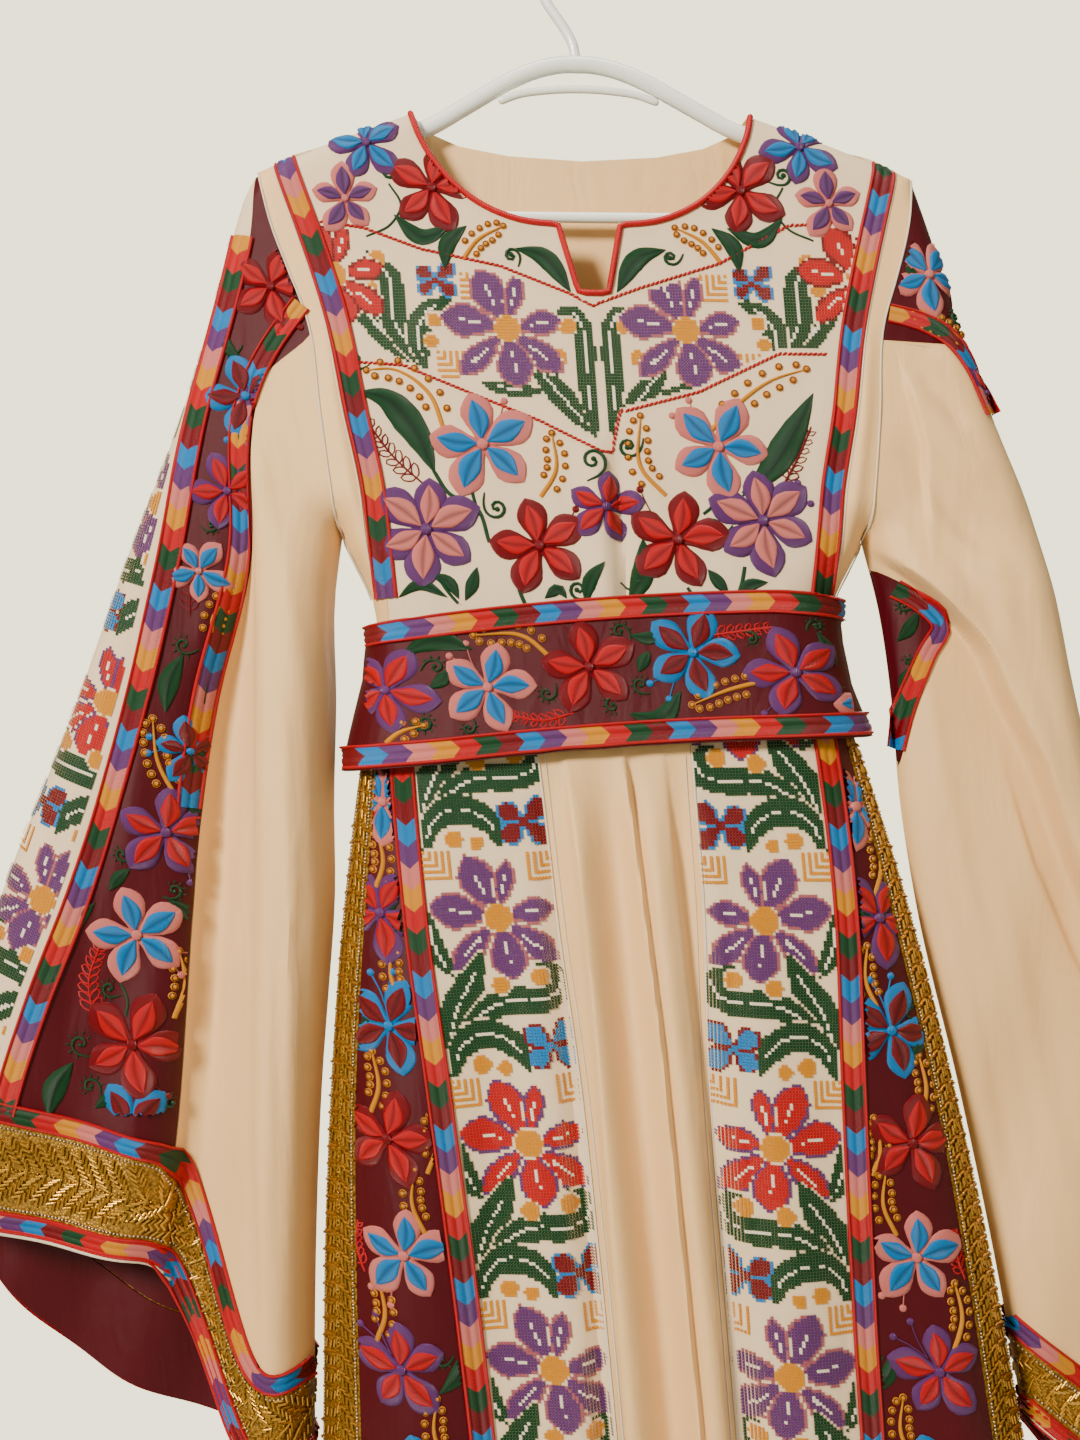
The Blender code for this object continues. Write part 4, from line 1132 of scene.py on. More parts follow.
def crease_group():
    """Height of fine wrinkles, for the bump of a cloth at rest."""
    found = bpy.data.node_groups.get("fine wrinkles")
    if found:
        return found
    inputs = [("Scale", "NodeSocketFloat", 24.0)]
    tree, start, end = group_of("fine wrinkles", inputs, [("Height", "NodeSocketFloat")])
    place = node(tree, "ShaderNodeTexCoord").outputs["Object"]
    longer = node(tree, "ShaderNodeMapping", {"Vector": place, "Scale": (1.6, 1.6, 0.45)})
    noise = node(
        tree,
        "ShaderNodeTexNoise",
        {"Vector": longer.outputs[0], "Scale": start.outputs["Scale"], "Detail": 3.0, "Distortion": 0.6},
    )
    tree.links.new(noise.outputs["Fac"], end.inputs["Height"])
    return tree


def tone_group():
    """A colour made a little lighter and darker in broad soft patches."""
    found = bpy.data.node_groups.get("soft tone")
    if found:
        return found
    inputs = [
        ("Color", "NodeSocketColor", (0.8, 0.8, 0.8, 1)),
        ("Amount", "NodeSocketFloat", 0.1),
        ("Scale", "NodeSocketFloat", 12.0),
    ]
    tree, start, end = group_of("soft tone", inputs, [("Color", "NodeSocketColor")])
    place = node(tree, "ShaderNodeTexCoord").outputs["Object"]
    noise = node(
        tree, "ShaderNodeTexNoise", {"Vector": place, "Scale": start.outputs["Scale"], "Detail": 4.0}
    )
    shift = maths(tree, "SUBTRACT", noise.outputs["Fac"], 0.5)
    value = maths(tree, "ADD", 1.0, maths(tree, "MULTIPLY", shift, start.outputs["Amount"]))
    toned = node(tree, "ShaderNodeHueSaturation", {"Color": start.outputs["Color"], "Value": value})
    tree.links.new(toned.outputs["Color"], end.inputs["Color"])
    return tree


def use(tree, group, values=()):
    made = tree.nodes.new("ShaderNodeGroup")
    made.node_tree = group
    for name, value in dict(values).items():
        if isinstance(value, bpy.types.NodeSocket):
            tree.links.new(value, made.inputs[name])
        else:
            made.inputs[name].default_value = value
    return made


def empty_material(name, values):
    made = bpy.data.materials.new(name)
    made.use_nodes = True
    tree = made.node_tree
    shader = tree.nodes["Principled BSDF"]
    for title, value in values.items():
        shader.inputs[title].default_value = value
    return made, tree, shader


def bumped(tree, shader, *heights):
    """Links a chain of bumps, each (height socket, strength, distance in metres)."""
    normal = None
    for height, strength, distance in heights:
        values = {"Height": height, "Strength": strength, "Distance": distance}
        if normal:
            values["Normal"] = normal
        normal = node(tree, "ShaderNodeBump", values).outputs["Normal"]
    tree.links.new(normal, shader.inputs["Normal"])


def fabric(name, colour, roughness, sheen, pitch, weave, wrinkle, shine=0.5):
    made, tree, shader = empty_material(
        name,
        {"Roughness": roughness, "Sheen Weight": sheen, "Sheen Roughness": 0.45, "Specular IOR Level": shine},
    )
    tone = use(tree, tone_group(), {"Color": (*colour, 1), "Amount": 0.14, "Scale": 9.0})
    tree.links.new(tone.outputs["Color"], shader.inputs["Base Color"])
    threads = use(tree, weave_group(), {"Pitch": pitch, "Slub": 0.8})
    creases = use(tree, crease_group(), {"Scale": 22.0})
    bumped(
        tree, shader,
        (creases.outputs["Height"], wrinkle, 0.004),
        (threads.outputs["Height"], weave, 0.0003),
    )
    return made


def beige_crepe():
    return fabric("beige_crepe", rgb(232, 186, 124), 0.5, 0.1, 0.0007, 0.25, 0.55)


def cream_crepe():
    return fabric("cream_crepe", rgb(230, 202, 164), 0.66, 0.1, 0.0009, 0.45, 0.3)


def maroon_satin():
    return fabric("maroon_satin", rgb(68, 0, 11), 0.42, 0.0, 0.0006, 0.25, 0.5, 0.2)


def gold_beads():
    """The gilt ground under the beads, each grain painted bright on its raised middle and darker towards its
    sunken edge as painted shade.
    """
    made, tree, shader = empty_material("gold_beads", {"Metallic": 0.65, "Roughness": 0.45})
    uv = node(tree, "ShaderNodeUVMap", uv_map="cloth").outputs["UV"]
    grains = node(tree, "ShaderNodeTexVoronoi", {"Vector": uv, "Scale": 620.0})
    # Painted shade: bright gold at each grain's raised middle runs to dark brown at its sunken edge, matching
    # the bump.
    grain_shade_ramp = node(tree, "ShaderNodeValToRGB", {"Fac": grains.outputs["Distance"]})
    grain_shade_ramp.color_ramp.elements[0].color = (*rgb(196, 148, 52), 1)
    grain_shade_ramp.color_ramp.elements[1].color = (*rgb(92, 62, 16), 1)
    tree.links.new(grain_shade_ramp.outputs["Color"], shader.inputs["Base Color"])
    turned = maths(tree, "SUBTRACT", 1.0, grains.outputs["Distance"])
    bumped(tree, shader, (turned, 0.7, 0.0008))
    return made


def thread_material(name, pitch, roughness, depth):
    """Thread of the piece's own tint, in fine lines across the map's first axis, with painted shade in the
    grooves between the lines.
    """
    made, tree, shader = empty_material(name, {"Roughness": roughness, "Specular IOR Level": 0.3})
    tint = node(tree, "ShaderNodeAttribute", attribute_name="tint").outputs["Color"]
    uv = node(tree, "ShaderNodeUVMap", uv_map="cloth").outputs["UV"]
    along = node(tree, "ShaderNodeSeparateXYZ", {0: uv}).outputs["X"]
    rough = node(tree, "ShaderNodeTexNoise", {"Vector": uv, "Scale": 260.0, "Detail": 2.0})
    wobble = maths(tree, "MULTIPLY", rough.outputs["Fac"], 1.6)
    phase = maths(tree, "ADD", maths(tree, "MULTIPLY", along, math.tau / pitch), wobble)
    lines = maths(tree, "SINE", phase)
    # Painted shade and highlight: the colour darkens in each groove and lightens on each ridge, following the
    # bump.
    shade = maths(tree, "ADD", 0.94, maths(tree, "MULTIPLY", lines, 0.1))
    groove_shaded_tint = node(tree, "ShaderNodeHueSaturation", {"Color": tint, "Value": shade})
    tree.links.new(groove_shaded_tint.outputs["Color"], shader.inputs["Base Color"])
    bumped(tree, shader, (lines, depth, 0.0004))
    return made


def satin_thread():
    return thread_material("satin_thread", 0.0009, 0.36, 0.55)


def cross_thread():
    made, tree, shader = empty_material("cross_thread", {"Roughness": 0.6, "Specular IOR Level": 0.2})
    tint = node(tree, "ShaderNodeAttribute", attribute_name="tint").outputs["Color"]
    tone = use(tree, tone_group(), {"Color": tint, "Amount": 0.5, "Scale": 900.0})
    tree.links.new(tone.outputs["Color"], shader.inputs["Base Color"])
    place = node(tree, "ShaderNodeTexCoord").outputs["Object"]
    fuzz = node(tree, "ShaderNodeTexNoise", {"Vector": place, "Scale": 2600.0, "Detail": 2.0})
    bumped(tree, shader, (fuzz.outputs["Fac"], 0.4, 0.0003))
    return made


BRAID_COLOURS = ("gold", "red", "green", "crimson", "cyan", "purple", "pink")


def braid():
    """Two lanes of satin stitch in a repeat of colours, with pointed ends, between red cords."""
    made, tree, shader = empty_material("braid", {"Roughness": 0.42, "Specular IOR Level": 0.3})
    uv = node(tree, "ShaderNodeUVMap", uv_map="cloth").outputs["UV"]
    split = node(tree, "ShaderNodeSeparateXYZ", {0: uv})
    along, across = split.outputs["X"], split.outputs["Y"]
    out = maths(tree, "ABSOLUTE", across)
    slant = maths(tree, "MULTIPLY", out, 0.007)
    place = maths(tree, "ADD", along, slant)
    repeat = settings().segment * len(BRAID_COLOURS)
    share = maths(tree, "FRACT", maths(tree, "DIVIDE", place, repeat))
    colours = node(tree, "ShaderNodeValToRGB", {"Fac": share})
    colour_ramp = colours.color_ramp
    colour_ramp.interpolation = "CONSTANT"
    while len(colour_ramp.elements) < len(BRAID_COLOURS):
        colour_ramp.elements.new(0.5)
    for i, name in enumerate(BRAID_COLOURS):
        colour_ramp.elements[i].position = i / len(BRAID_COLOURS)
    for i, name in enumerate(BRAID_COLOURS):
        colour_ramp.elements[i].color = (*THREAD[name], 1)
    on_cord = maths(tree, "GREATER_THAN", out, 0.72)
    cord_colour = (*rgb(166, 0, 12), 1)
    mixed_colour = node(tree, "ShaderNodeMix", data_type="RGBA")
    tree.links.new(on_cord, mixed_colour.inputs[0])
    tree.links.new(colours.outputs["Color"], mixed_colour.inputs[6])
    mixed_colour.inputs[7].default_value = cord_colour
    rough = node(tree, "ShaderNodeTexNoise", {"Vector": uv, "Scale": 300.0})
    wobble = maths(tree, "MULTIPLY", rough.outputs["Fac"], 1.4)
    lane = maths(tree, "MULTIPLY", maths(tree, "ADD", along, maths(tree, "MULTIPLY", out, 0.003)), 6900.0)
    lines = maths(tree, "SINE", maths(tree, "ADD", lane, wobble))
    # Painted shade and highlight: the colour darkens in each groove between stitches and lightens on each
    # ridge, following the bump.
    shade = maths(tree, "ADD", 0.95, maths(tree, "MULTIPLY", lines, 0.1))
    groove_shaded_tint = node(tree, "ShaderNodeHueSaturation", {"Color": mixed_colour.outputs[2], "Value": shade})
    tree.links.new(groove_shaded_tint.outputs["Color"], shader.inputs["Base Color"])
    bumped(tree, shader, (lines, 0.5, 0.0004))
    return made


def red_cord():
    return twisted("red_cord", rgb(166, 0, 12))


def cream_cord():
    return twisted("cream_cord", rgb(224, 206, 180))


def twisted(name, colour):
    """Piping covered in satin, wrapped at a slant."""
    made, tree, shader = empty_material(name, {"Roughness": 0.42, "Specular IOR Level": 0.3})
    uv = node(tree, "ShaderNodeUVMap", uv_map="cloth").outputs["UV"]
    split = node(tree, "ShaderNodeSeparateXYZ", {0: uv})
    slant = maths(tree, "MULTIPLY", split.outputs["Y"], 0.0012)
    turns = maths(tree, "MULTIPLY", maths(tree, "ADD", split.outputs["X"], slant), 3600.0)
    lines = maths(tree, "SINE", turns)
    tone = use(tree, tone_group(), {"Color": (*colour, 1), "Amount": 0.3, "Scale": 40.0})
    tree.links.new(tone.outputs["Color"], shader.inputs["Base Color"])
    bumped(tree, shader, (lines, 0.45, 0.0004))
    return made


def glass_bead():
    """Gilt glass beads of the piece's own tint."""
    made, tree, shader = empty_material("glass_bead", {"Metallic": 0.85, "Coat Weight": 0.4})
    tint = node(tree, "ShaderNodeAttribute", attribute_name="tint").outputs["Color"]
    tone = use(tree, tone_group(), {"Color": tint, "Amount": 0.7, "Scale": 320.0})
    tree.links.new(tone.outputs["Color"], shader.inputs["Base Color"])
    place = node(tree, "ShaderNodeTexCoord").outputs["Object"]
    worn = node(tree, "ShaderNodeTexNoise", {"Vector": place, "Scale": 500.0})
    rough = node(tree, "ShaderNodeMapRange", {"Value": worn.outputs["Fac"], 3: 0.16, 4: 0.42})
    tree.links.new(rough.outputs[0], shader.inputs["Roughness"])
    bumped(tree, shader, (worn.outputs["Fac"], 0.15, 0.0002))
    return made


def white_plastic():
    made, tree, shader = empty_material(
        "white_plastic", {"Coat Weight": 0.5, "Coat Roughness": 0.08, "Specular IOR Level": 0.55}
    )
    tone = use(tree, tone_group(), {"Color": (*rgb(238, 240, 230), 1), "Amount": 0.06, "Scale": 14.0})
    tree.links.new(tone.outputs["Color"], shader.inputs["Base Color"])
    place = node(tree, "ShaderNodeTexCoord").outputs["Object"]
    scuffs = node(tree, "ShaderNodeTexNoise", {"Vector": place, "Scale": 90.0, "Detail": 6.0})
    rough = node(tree, "ShaderNodeMapRange", {"Value": scuffs.outputs["Fac"], 3: 0.16, 4: 0.34})
    tree.links.new(rough.outputs[0], shader.inputs["Roughness"])
    bumped(tree, shader, (scuffs.outputs["Fac"], 0.05, 0.0006))
    return made


def pale_floor():
    made, tree, shader = empty_material("pale_floor", {"Roughness": 0.85})
    tone = use(tree, tone_group(), {"Color": (*rgb(226, 225, 212), 1), "Amount": 0.03, "Scale": 3.0})
    tree.links.new(tone.outputs["Color"], shader.inputs["Base Color"])
    return made


FINISHES = {
    maker.__name__: maker
    for maker in (
        beige_crepe, cream_crepe, maroon_satin, gold_beads, satin_thread, cross_thread, braid,
        red_cord, cream_cord, glass_bead, white_plastic, pale_floor,
    )
}


def material(name):
    return bpy.data.materials.get(name + "_look") or looked(name)


def looked(name):
    made = FINISHES[name]()
    made.name = name + "_look"
    return made


def path_sides(path):
    """Unit direction to the right of a path of (x, drop) points, and the length along it."""
    step = np.gradient(path, axis=0)
    step /= np.maximum(np.linalg.norm(step, axis=1, keepdims=True), 1e-9)
    gaps = np.linalg.norm(np.diff(path, axis=0), axis=1)
    return np.stack([step[:, 1], -step[:, 0]], axis=1), np.concatenate([[0], np.cumsum(gaps)])


def even(path, gap):
    """The path with its points an even distance apart."""
    path = np.asarray(path, float)
    along = np.concatenate([[0], np.cumsum(np.linalg.norm(np.diff(path, axis=0), axis=1))])
    at = np.linspace(0, along[-1], max(3, int(along[-1] / gap) + 1))
    return np.stack([np.interp(at, along, path[:, k]) for k in range(2)], axis=1)


BRAID_ACROSS = np.array([-1, -0.98, -0.93, -0.86, -0.79, -0.74, -0.715, -0.55, -0.36, -0.12, 0])
BRAID_ACROSS = np.concatenate([BRAID_ACROSS, -BRAID_ACROSS[-2::-1]])
CORD_ACROSS = np.array([-1, -0.92, -0.7, -0.38, 0, 0.38, 0.7, 0.92, 1])
# A braid's red edge cords and padded lanes, as shares of its half width, and their heights.
CORD_MIDDLE = 0.86
CORD_HALF = 0.14
CORD_RISE = 2.0
LANE_MIDDLE = 0.36
LANE_END = 0.72
LANE_LOW = 0.5
LANE_RISE = 1.0


def braid_height(s):
    """Two red cords at the edges with two padded lanes between them."""
    out = np.abs(s)
    cord = CORD_RISE * np.sqrt(np.clip(1 - ((out - CORD_MIDDLE) / CORD_HALF) ** 2, 0, 1))
    lane = LANE_LOW + LANE_RISE * np.sqrt(np.clip(1 - ((out - LANE_MIDDLE) / LANE_MIDDLE) ** 2, 0, 1))
    return np.where(out > LANE_END, np.maximum(cord, 0.05), lane)


Strip = namedtuple("Strip", "path width across height rise start")


def strip_mesh(name, surface, strips, finish, nodes=()):
    """Raised strips along paths on one surface, joined in one mesh."""
    points, faces, uvs, normals = [], [], [], []
    count = 0
    for strip in strips:
        path = even(strip.path, 5.0)
        side, along = path_sides(path)
        offset = strip.across * strip.width / 2
        flat = path[:, None, :] + side[:, None, :] * offset[None, :, None]
        high = strip.height(strip.across)[None, :] * np.ones((len(path), 1))
        if strip.rise is not None:
            high = high + strip.rise(flat[..., 0], flat[..., 1])
        place, normal = lifted(surface, flat[..., 0], flat[..., 1], high + 0.4)
        rows, cols = high.shape
        a = (np.arange(rows - 1)[:, None] * cols + np.arange(cols - 1)[None, :]).ravel()
        quads = np.stack([a, a + cols, a + cols + 1, a + 1], axis=1)
        run = (along[:, None] + strip.start) * MM
        uv = np.stack(np.broadcast_arrays(run, strip.across[None, :]), axis=-1)
        points.append(place.reshape(-1, 3))
        normals.append(normal.reshape(-1, 3))
        faces.append(quads + count)
        uvs.append(uv.reshape(-1, 2))
        count += rows * cols
    points, faces, normals = (np.concatenate(p) for p in (points, faces, normals))
    faces = facing(points, faces, normals)
    made = mesh_object(name, points, faces, material(finish), np.concatenate(uvs))
    return own(made, nodes)


def facing(points, faces, normals):
    """The faces, each turned to the side that the surface faces."""
    a, b, c = (points[faces[:, i]] for i in (0, 1, 2))
    d = points[faces[:, -1]]
    turned = (np.cross(c - a, d - b) * normals[faces[:, 0]]).sum(axis=1) < 0
    faces = faces.copy()
    faces[turned] = faces[turned, ::-1]
    return faces


def braid_strip(path, width=BRAID_WIDTH, rise=None, start=0.0):
    return Strip(np.asarray(path, float), width, BRAID_ACROSS, braid_height, rise, start)


def cord_strip(path, width, rise=None, height=None):
    def high(s):
        return (height or width * 0.45) * np.sqrt(np.clip(1 - s * s, 0, 1))

    return Strip(np.asarray(path, float), width, CORD_ACROSS, high, rise, 0.0)


def down_line(line, start, end, step=6.0):
    drop = np.linspace(start, end, max(3, int((end - start) / step)))
    return np.stack([line(drop), drop], axis=1)


def cuff_path(side, facing_, lines, shares, down):
    """The line along a cuff at a share down its band."""
    points = [band_line(side, facing_, lines, float(s), [down]) for s in shares]
    path = even([[float(x[0]), float(d[0])] for x, d in points], 4.0)
    for _ in range(12):
        path[1:-1] = (path[:-2] + 2 * path[1:-1] + path[2:]) / 4
    return path


RIGHT_INSERT_EDGE = ((191, 262), (210, 267), (228, 277), (243, 297), (255, 326))


def braids():
    chest = [down_line(braid_line(side, 0.0), yoke_top(196.0) + 2, 452.0) for side in (-1, 1)]
    for path, side, label in zip(chest, (-1, 1), ("left", "right")):
        strip_mesh(
            f"chest_braid_{label}_trim", "front", [braid_strip(path, start=30.0 * side)], "braid",
            [f"chest_braid_{label}"],
        )
        path = down_line(skirt_line(side, "strip"), WAIST + 2, HEM - 0.5)
        strip_mesh(
            f"skirt_braid_{label}_trim", "front", [braid_strip(path, start=60.0)], "braid",
            [f"skirt_braid_{label}"],
        )
    shares = np.linspace(-0.93, 0.93, 61)
    for place, down in (("top", 0.5 * BELT_TRIM_SHARE + 0.02), ("bottom", 1 - 0.5 * BELT_TRIM_SHARE - 0.03)):
        for side in ("front", "back"):
            x, drop = belt_point(shares, down)
            path = np.stack([x, drop], axis=1)
            strip_mesh(
                f"belt_braid_{place}_{side}_trim", f"belt_{side}", [braid_strip(path, 15.0, belt_rise, 40.0)],
                "braid", [f"belt_braid_{place}_{side}"],
            )
    outer = down_line(left_line(0.775), 214.0, cuff(0.775, -1, -1)[0] - 1)
    strip_mesh(
        "sleeve_left_braid_outer_trim", "left", [braid_strip(outer)], "braid",
        ["sleeve_left_braid_outer"],
    )
    bent = down_line(shifted(left_line(0.4), -8.0), 330.0, 590.0)
    turn = smooth_line([(-191, 260), (-208, 282), (-221, 303), bent[0]], 12)
    left_lines = [np.concatenate([turn[:-1], bent])]
    shares = np.linspace(0.0, 1.0, 60)
    left_lines.append(cuff_path(-1, -1, left_line, shares, -0.02))
    left_lines.append(cuff_path(-1, -1, left_line, shares, 0.93))
    strip_mesh(
        "sleeve_left_braids", "left",
        [braid_strip(p, 14.0, None, 45.0 * i) for i, p in enumerate(left_lines)],
        "braid",
    )
    patch = down_line(right_inner, 437.0, 548.0, 4.0)
    right_lines = [smooth_line(RIGHT_INSERT_EDGE, 20), shift_path(patch, -5.0)]
    right_lines.append(cuff_path(1, -1, right_line, shares, -0.02))
    right_lines.append(cuff_path(1, -1, right_line, shares, 0.93))
    strip_mesh(
        "sleeve_right_braids", "right",
        [braid_strip(p, 13.0, None, 30.0 * i) for i, p in enumerate(right_lines)],
        "braid",
    )
    for side, label, borders in ((-1, "left", (4, 7)), (1, "right", (3, 5, 8))):
        lines = back_line_of(side)
        paths = []
        for border in borders:
            share = BACK_SHARES[side][border]
            paths.append(down_line(lines(share), 236.0 if share > 0.6 else 330.0, cuff(share, side, 1)[0]))
        paths.append(cuff_path(side, 1, lines, shares, -0.02))
        paths.append(cuff_path(side, 1, lines, shares, 0.93))
        strip_mesh(
            f"sleeve_{label}_back_braids", f"{label}_back",
            [braid_strip(p, 14.0, None, 25.0 * i) for i, p in enumerate(paths)], "braid",
        )


def shifted(line, offset):
    return lambda drop: line(drop) + offset


def shift_path(path, offset):
    side, _ = path_sides(path)
    return path + side * offset


def piping():
    """Red satin piping round the neck and along the cuffs."""
    half = np.array(neck_points(), float)
    half[0, 0] = 0.0
    line = np.concatenate([half[:0:-1] * [-1, 1], half])
    line[:, 0] += middle_x(line[:, 1])
    corners = even(line, 1.5)[2:-2]
    side, _ = path_sides(corners)
    strip_mesh(
        "neck_piping_cord", "front", [cord_strip(corners + side * -1.6, 4.2, None, 2.6)], "red_cord",
        ["neck_piping"],
    )
    shares = np.linspace(0.0, 1.0, 60)
    for side, label, lines in ((-1, "left", left_line), (1, "right", right_line)):
        front = [cord_strip(cuff_path(side, -1, lines, shares, down), 3.4) for down in (0.86, 1.0)]
        strip_mesh(f"sleeve_{label}_piping", label, front, "red_cord")
        lines = back_line_of(side)
        back = [cord_strip(cuff_path(side, 1, lines, shares, down), 3.4) for down in (0.86, 1.0)]
        strip_mesh(f"sleeve_{label}_back_piping", f"{label}_back", back, "red_cord")


def seams():
    """The raised edges and rows of stitches along the strips, the armholes and the side seams."""
    rows = []
    for side in (-1, 1):
        for offset, width in ((0.8, 1.6), (-3.6, 0.8)):
            line = down_line(skirt_line(side, "centre", offset), 552.0, HEM - 1)
            rows.append(cord_strip(line, width, None, 0.6))
        for share, top, width, height in ((0.97, 214.0, 1.4, 0.7), (0.06, 206.0, 1.0, 0.5)):
            line = down_line(armhole_line(side, share), yoke_top(top) + 3, 452.0)
            rows.append(cord_strip(line, width, None, height))
    strip_mesh("front_seams", "front", rows, "cream_cord")
    for side, label, lines in ((-1, "left", left_line), (1, "right", right_line)):
        shares = np.linspace(0.0, 1.0, 60)
        front = [cord_strip(cuff_path(side, -1, lines, shares, 1.04), 2.4, None, 1.2)]
        strip_mesh(f"sleeve_{label}_edge", label, front, "cream_cord")


def rod(name, points, radius, nodes=()):
    """A round tube along points (x, y, drop) in millimetres, with rounded ends."""
    path = np.asarray(points, float)
    along = np.concatenate([[0], np.cumsum(np.linalg.norm(np.diff(path, axis=0), axis=1))])
    at = np.linspace(0, along[-1], max(8, int(along[-1] / 3)))
    path = np.stack([blend(at, along, path[:, k]) for k in range(3)], axis=1)
    step = np.gradient(path, axis=0)
    step /= np.linalg.norm(step, axis=1, keepdims=True)
    flat = np.cross(step, [0.0, 1.0, 0.0])
    flat /= np.linalg.norm(flat, axis=1, keepdims=True)
    turn = np.linspace(0, math.tau, settings().tube_sides, endpoint=False)
    ring = np.cos(turn)[None, :, None] * flat[:, None, :]
    ring = ring + np.sin(turn)[None, :, None] * np.array([0.0, 1.0, 0.0])
    rings = path[:, None, :] + ring * radius
    caps = []
    for end, out in ((0, -1), (-1, 1)):
        for share in (0.5, 0.87):
            small = math.sqrt(1 - share * share)
            caps.append(path[end] + step[end] * out * radius * share + ring[end] * radius * small)
    rings = np.concatenate([[caps[1]], [caps[0]], rings, [caps[2]], [caps[3]]])
    tips = np.array([path[0] - step[0] * radius, path[-1] + step[-1] * radius])
    n, sides = rings.shape[:2]
    a = (np.arange(n - 1)[:, None] * sides + np.arange(sides)[None, :]).ravel()
    b = (np.arange(n - 1)[:, None] * sides + (np.arange(sides) + 1)[None, :] % sides).ravel()
    faces = np.stack([a, b, b + sides, a + sides], axis=1).tolist()
    first, last = n * sides, n * sides + 1
    for i in range(sides):
        j = (i + 1) % sides
        faces.append([first, j, i])
        faces.append([last, (n - 1) * sides + i, (n - 1) * sides + j])
    points = np.concatenate([rings.reshape(-1, 3), tips])
    points[:, 2] *= -1
    mesh = bpy.data.meshes.new(name)
    mesh.from_pydata(world(points).tolist(), [], faces)
    shape = bmesh.new()
    shape.from_mesh(mesh)
    bmesh.ops.recalc_face_normals(shape, faces=shape.faces)
    shape.to_mesh(mesh)
    shape.free()
    mesh.shade_smooth()
    mesh.materials.append(material("white_plastic"))
    made = bpy.data.objects.new(name, mesh)
    bpy.context.scene.collection.objects.link(made)
    return own(made, nodes)


ARM = (
    Point(0, 92), Point(7, 92), Point(16, 93.2), Point(30, 97), Point(46, 104), Point(62, 113),
    Point(80, 123.5), Point(97, 133.2), Point(113, 139.8), Point(140, 149), Point(165, 158),
    Point(190, 168), Point(203, 173.6),
)
BAR = (Point(203.3, 181.3), Point(199, 188.5), Point(186, 193.0), Point(60, 194))
STRAP = (Point(51, 116.4), Point(40, 112.4), Point(22, 109.6), Point(0, 108.5))


def hanger():
    """A plain tubular hanger: shoulders, trouser bar, strap bar and hook."""
    right = [(p.x, 0, p.drop) for p in ARM]
    left = [(-x, y, d) for x, y, d in right[:0:-1]]
    rod("hanger_tube", left + right, ARM_RADIUS, ["hanger_arm_left", "hanger_arm_right"])
    for name, half, radius in (("hanger_bar", BAR, BAR_RADIUS), ("hanger_strap_bar", STRAP, STRAP_RADIUS)):
        right = [(p.x, 0, p.drop) for p in half if p.x > 0]
        left = [(-x, y, d) for x, y, d in right]
        middle = [(0, 0, p.drop) for p in half if p.x == 0]
        rod(f"{name}_tube", left + middle + right[::-1], radius, [name])
    centre = HOOK_TURN - HOOK_RADIUS
    stem = [(0.0, 0, 87.5), (-1.5, 0, 78.0), (-5.5, 0, 69.0), (-11.0, 0, 60.0), (-17.0, 0, 50.0)]
    arc = [
        (HOOK_TURN * math.sin(a), 0, centre - HOOK_TURN * math.cos(a))
        for a in np.radians(np.linspace(-118, 128, 25))
    ]
    rod("hanger_hook_rod", stem + arc, HOOK_RADIUS, ["hanger_hook"])


PETAL = ((0, 0.3), (0.15, 0.46), (0.35, 0.8), (0.58, 1.0), (0.76, 0.86), (0.9, 0.5), (1, 0.04))
LEAF = ((0, 0.05), (0.15, 0.45), (0.35, 0.9), (0.5, 1.0), (0.7, 0.8), (0.88, 0.38), (1, 0.03))
RIBBON = ((0, 1.0), (1, 1.0))
# The two red lines of the bib, from the left to the right.
UPPER_RED = [
    (-176, 204), (-148, 208), (-111, 222), (-60, 233), (-16, 251),
    (-2, 259), (30, 247), (83, 230), (130, 204), (166, 201),
]
LOWER_RED = [
    (-166, 298), (-128, 300), (-85, 318), (-41, 336), (-4, 355),
    (4, 356), (11, 330), (63, 316), (117, 290), (148, 290),
]


def smooth_line(points, count):
    """Count points an even distance apart on a smooth line through the given ones."""
    line = dense(points, 8)
    along = np.concatenate([[0], np.cumsum(np.linalg.norm(np.diff(line, axis=0), axis=1))])
    at = np.linspace(0, along[-1], count)
    return np.stack([np.interp(at, along, line[:, k]) for k in range(2)], axis=1)


def turned(points, angle, scale=1.0, place=(0.0, 0.0)):
    """Points scaled, turned by an angle, clockwise as drawn, and moved."""
    p = np.asarray(points, float) * scale
    c, s = math.cos(angle), math.sin(angle)
    x = p[:, 0] * c - p[:, 1] * s + place[0]
    return np.stack([x, p[:, 0] * s + p[:, 1] * c + place[1]], axis=1)


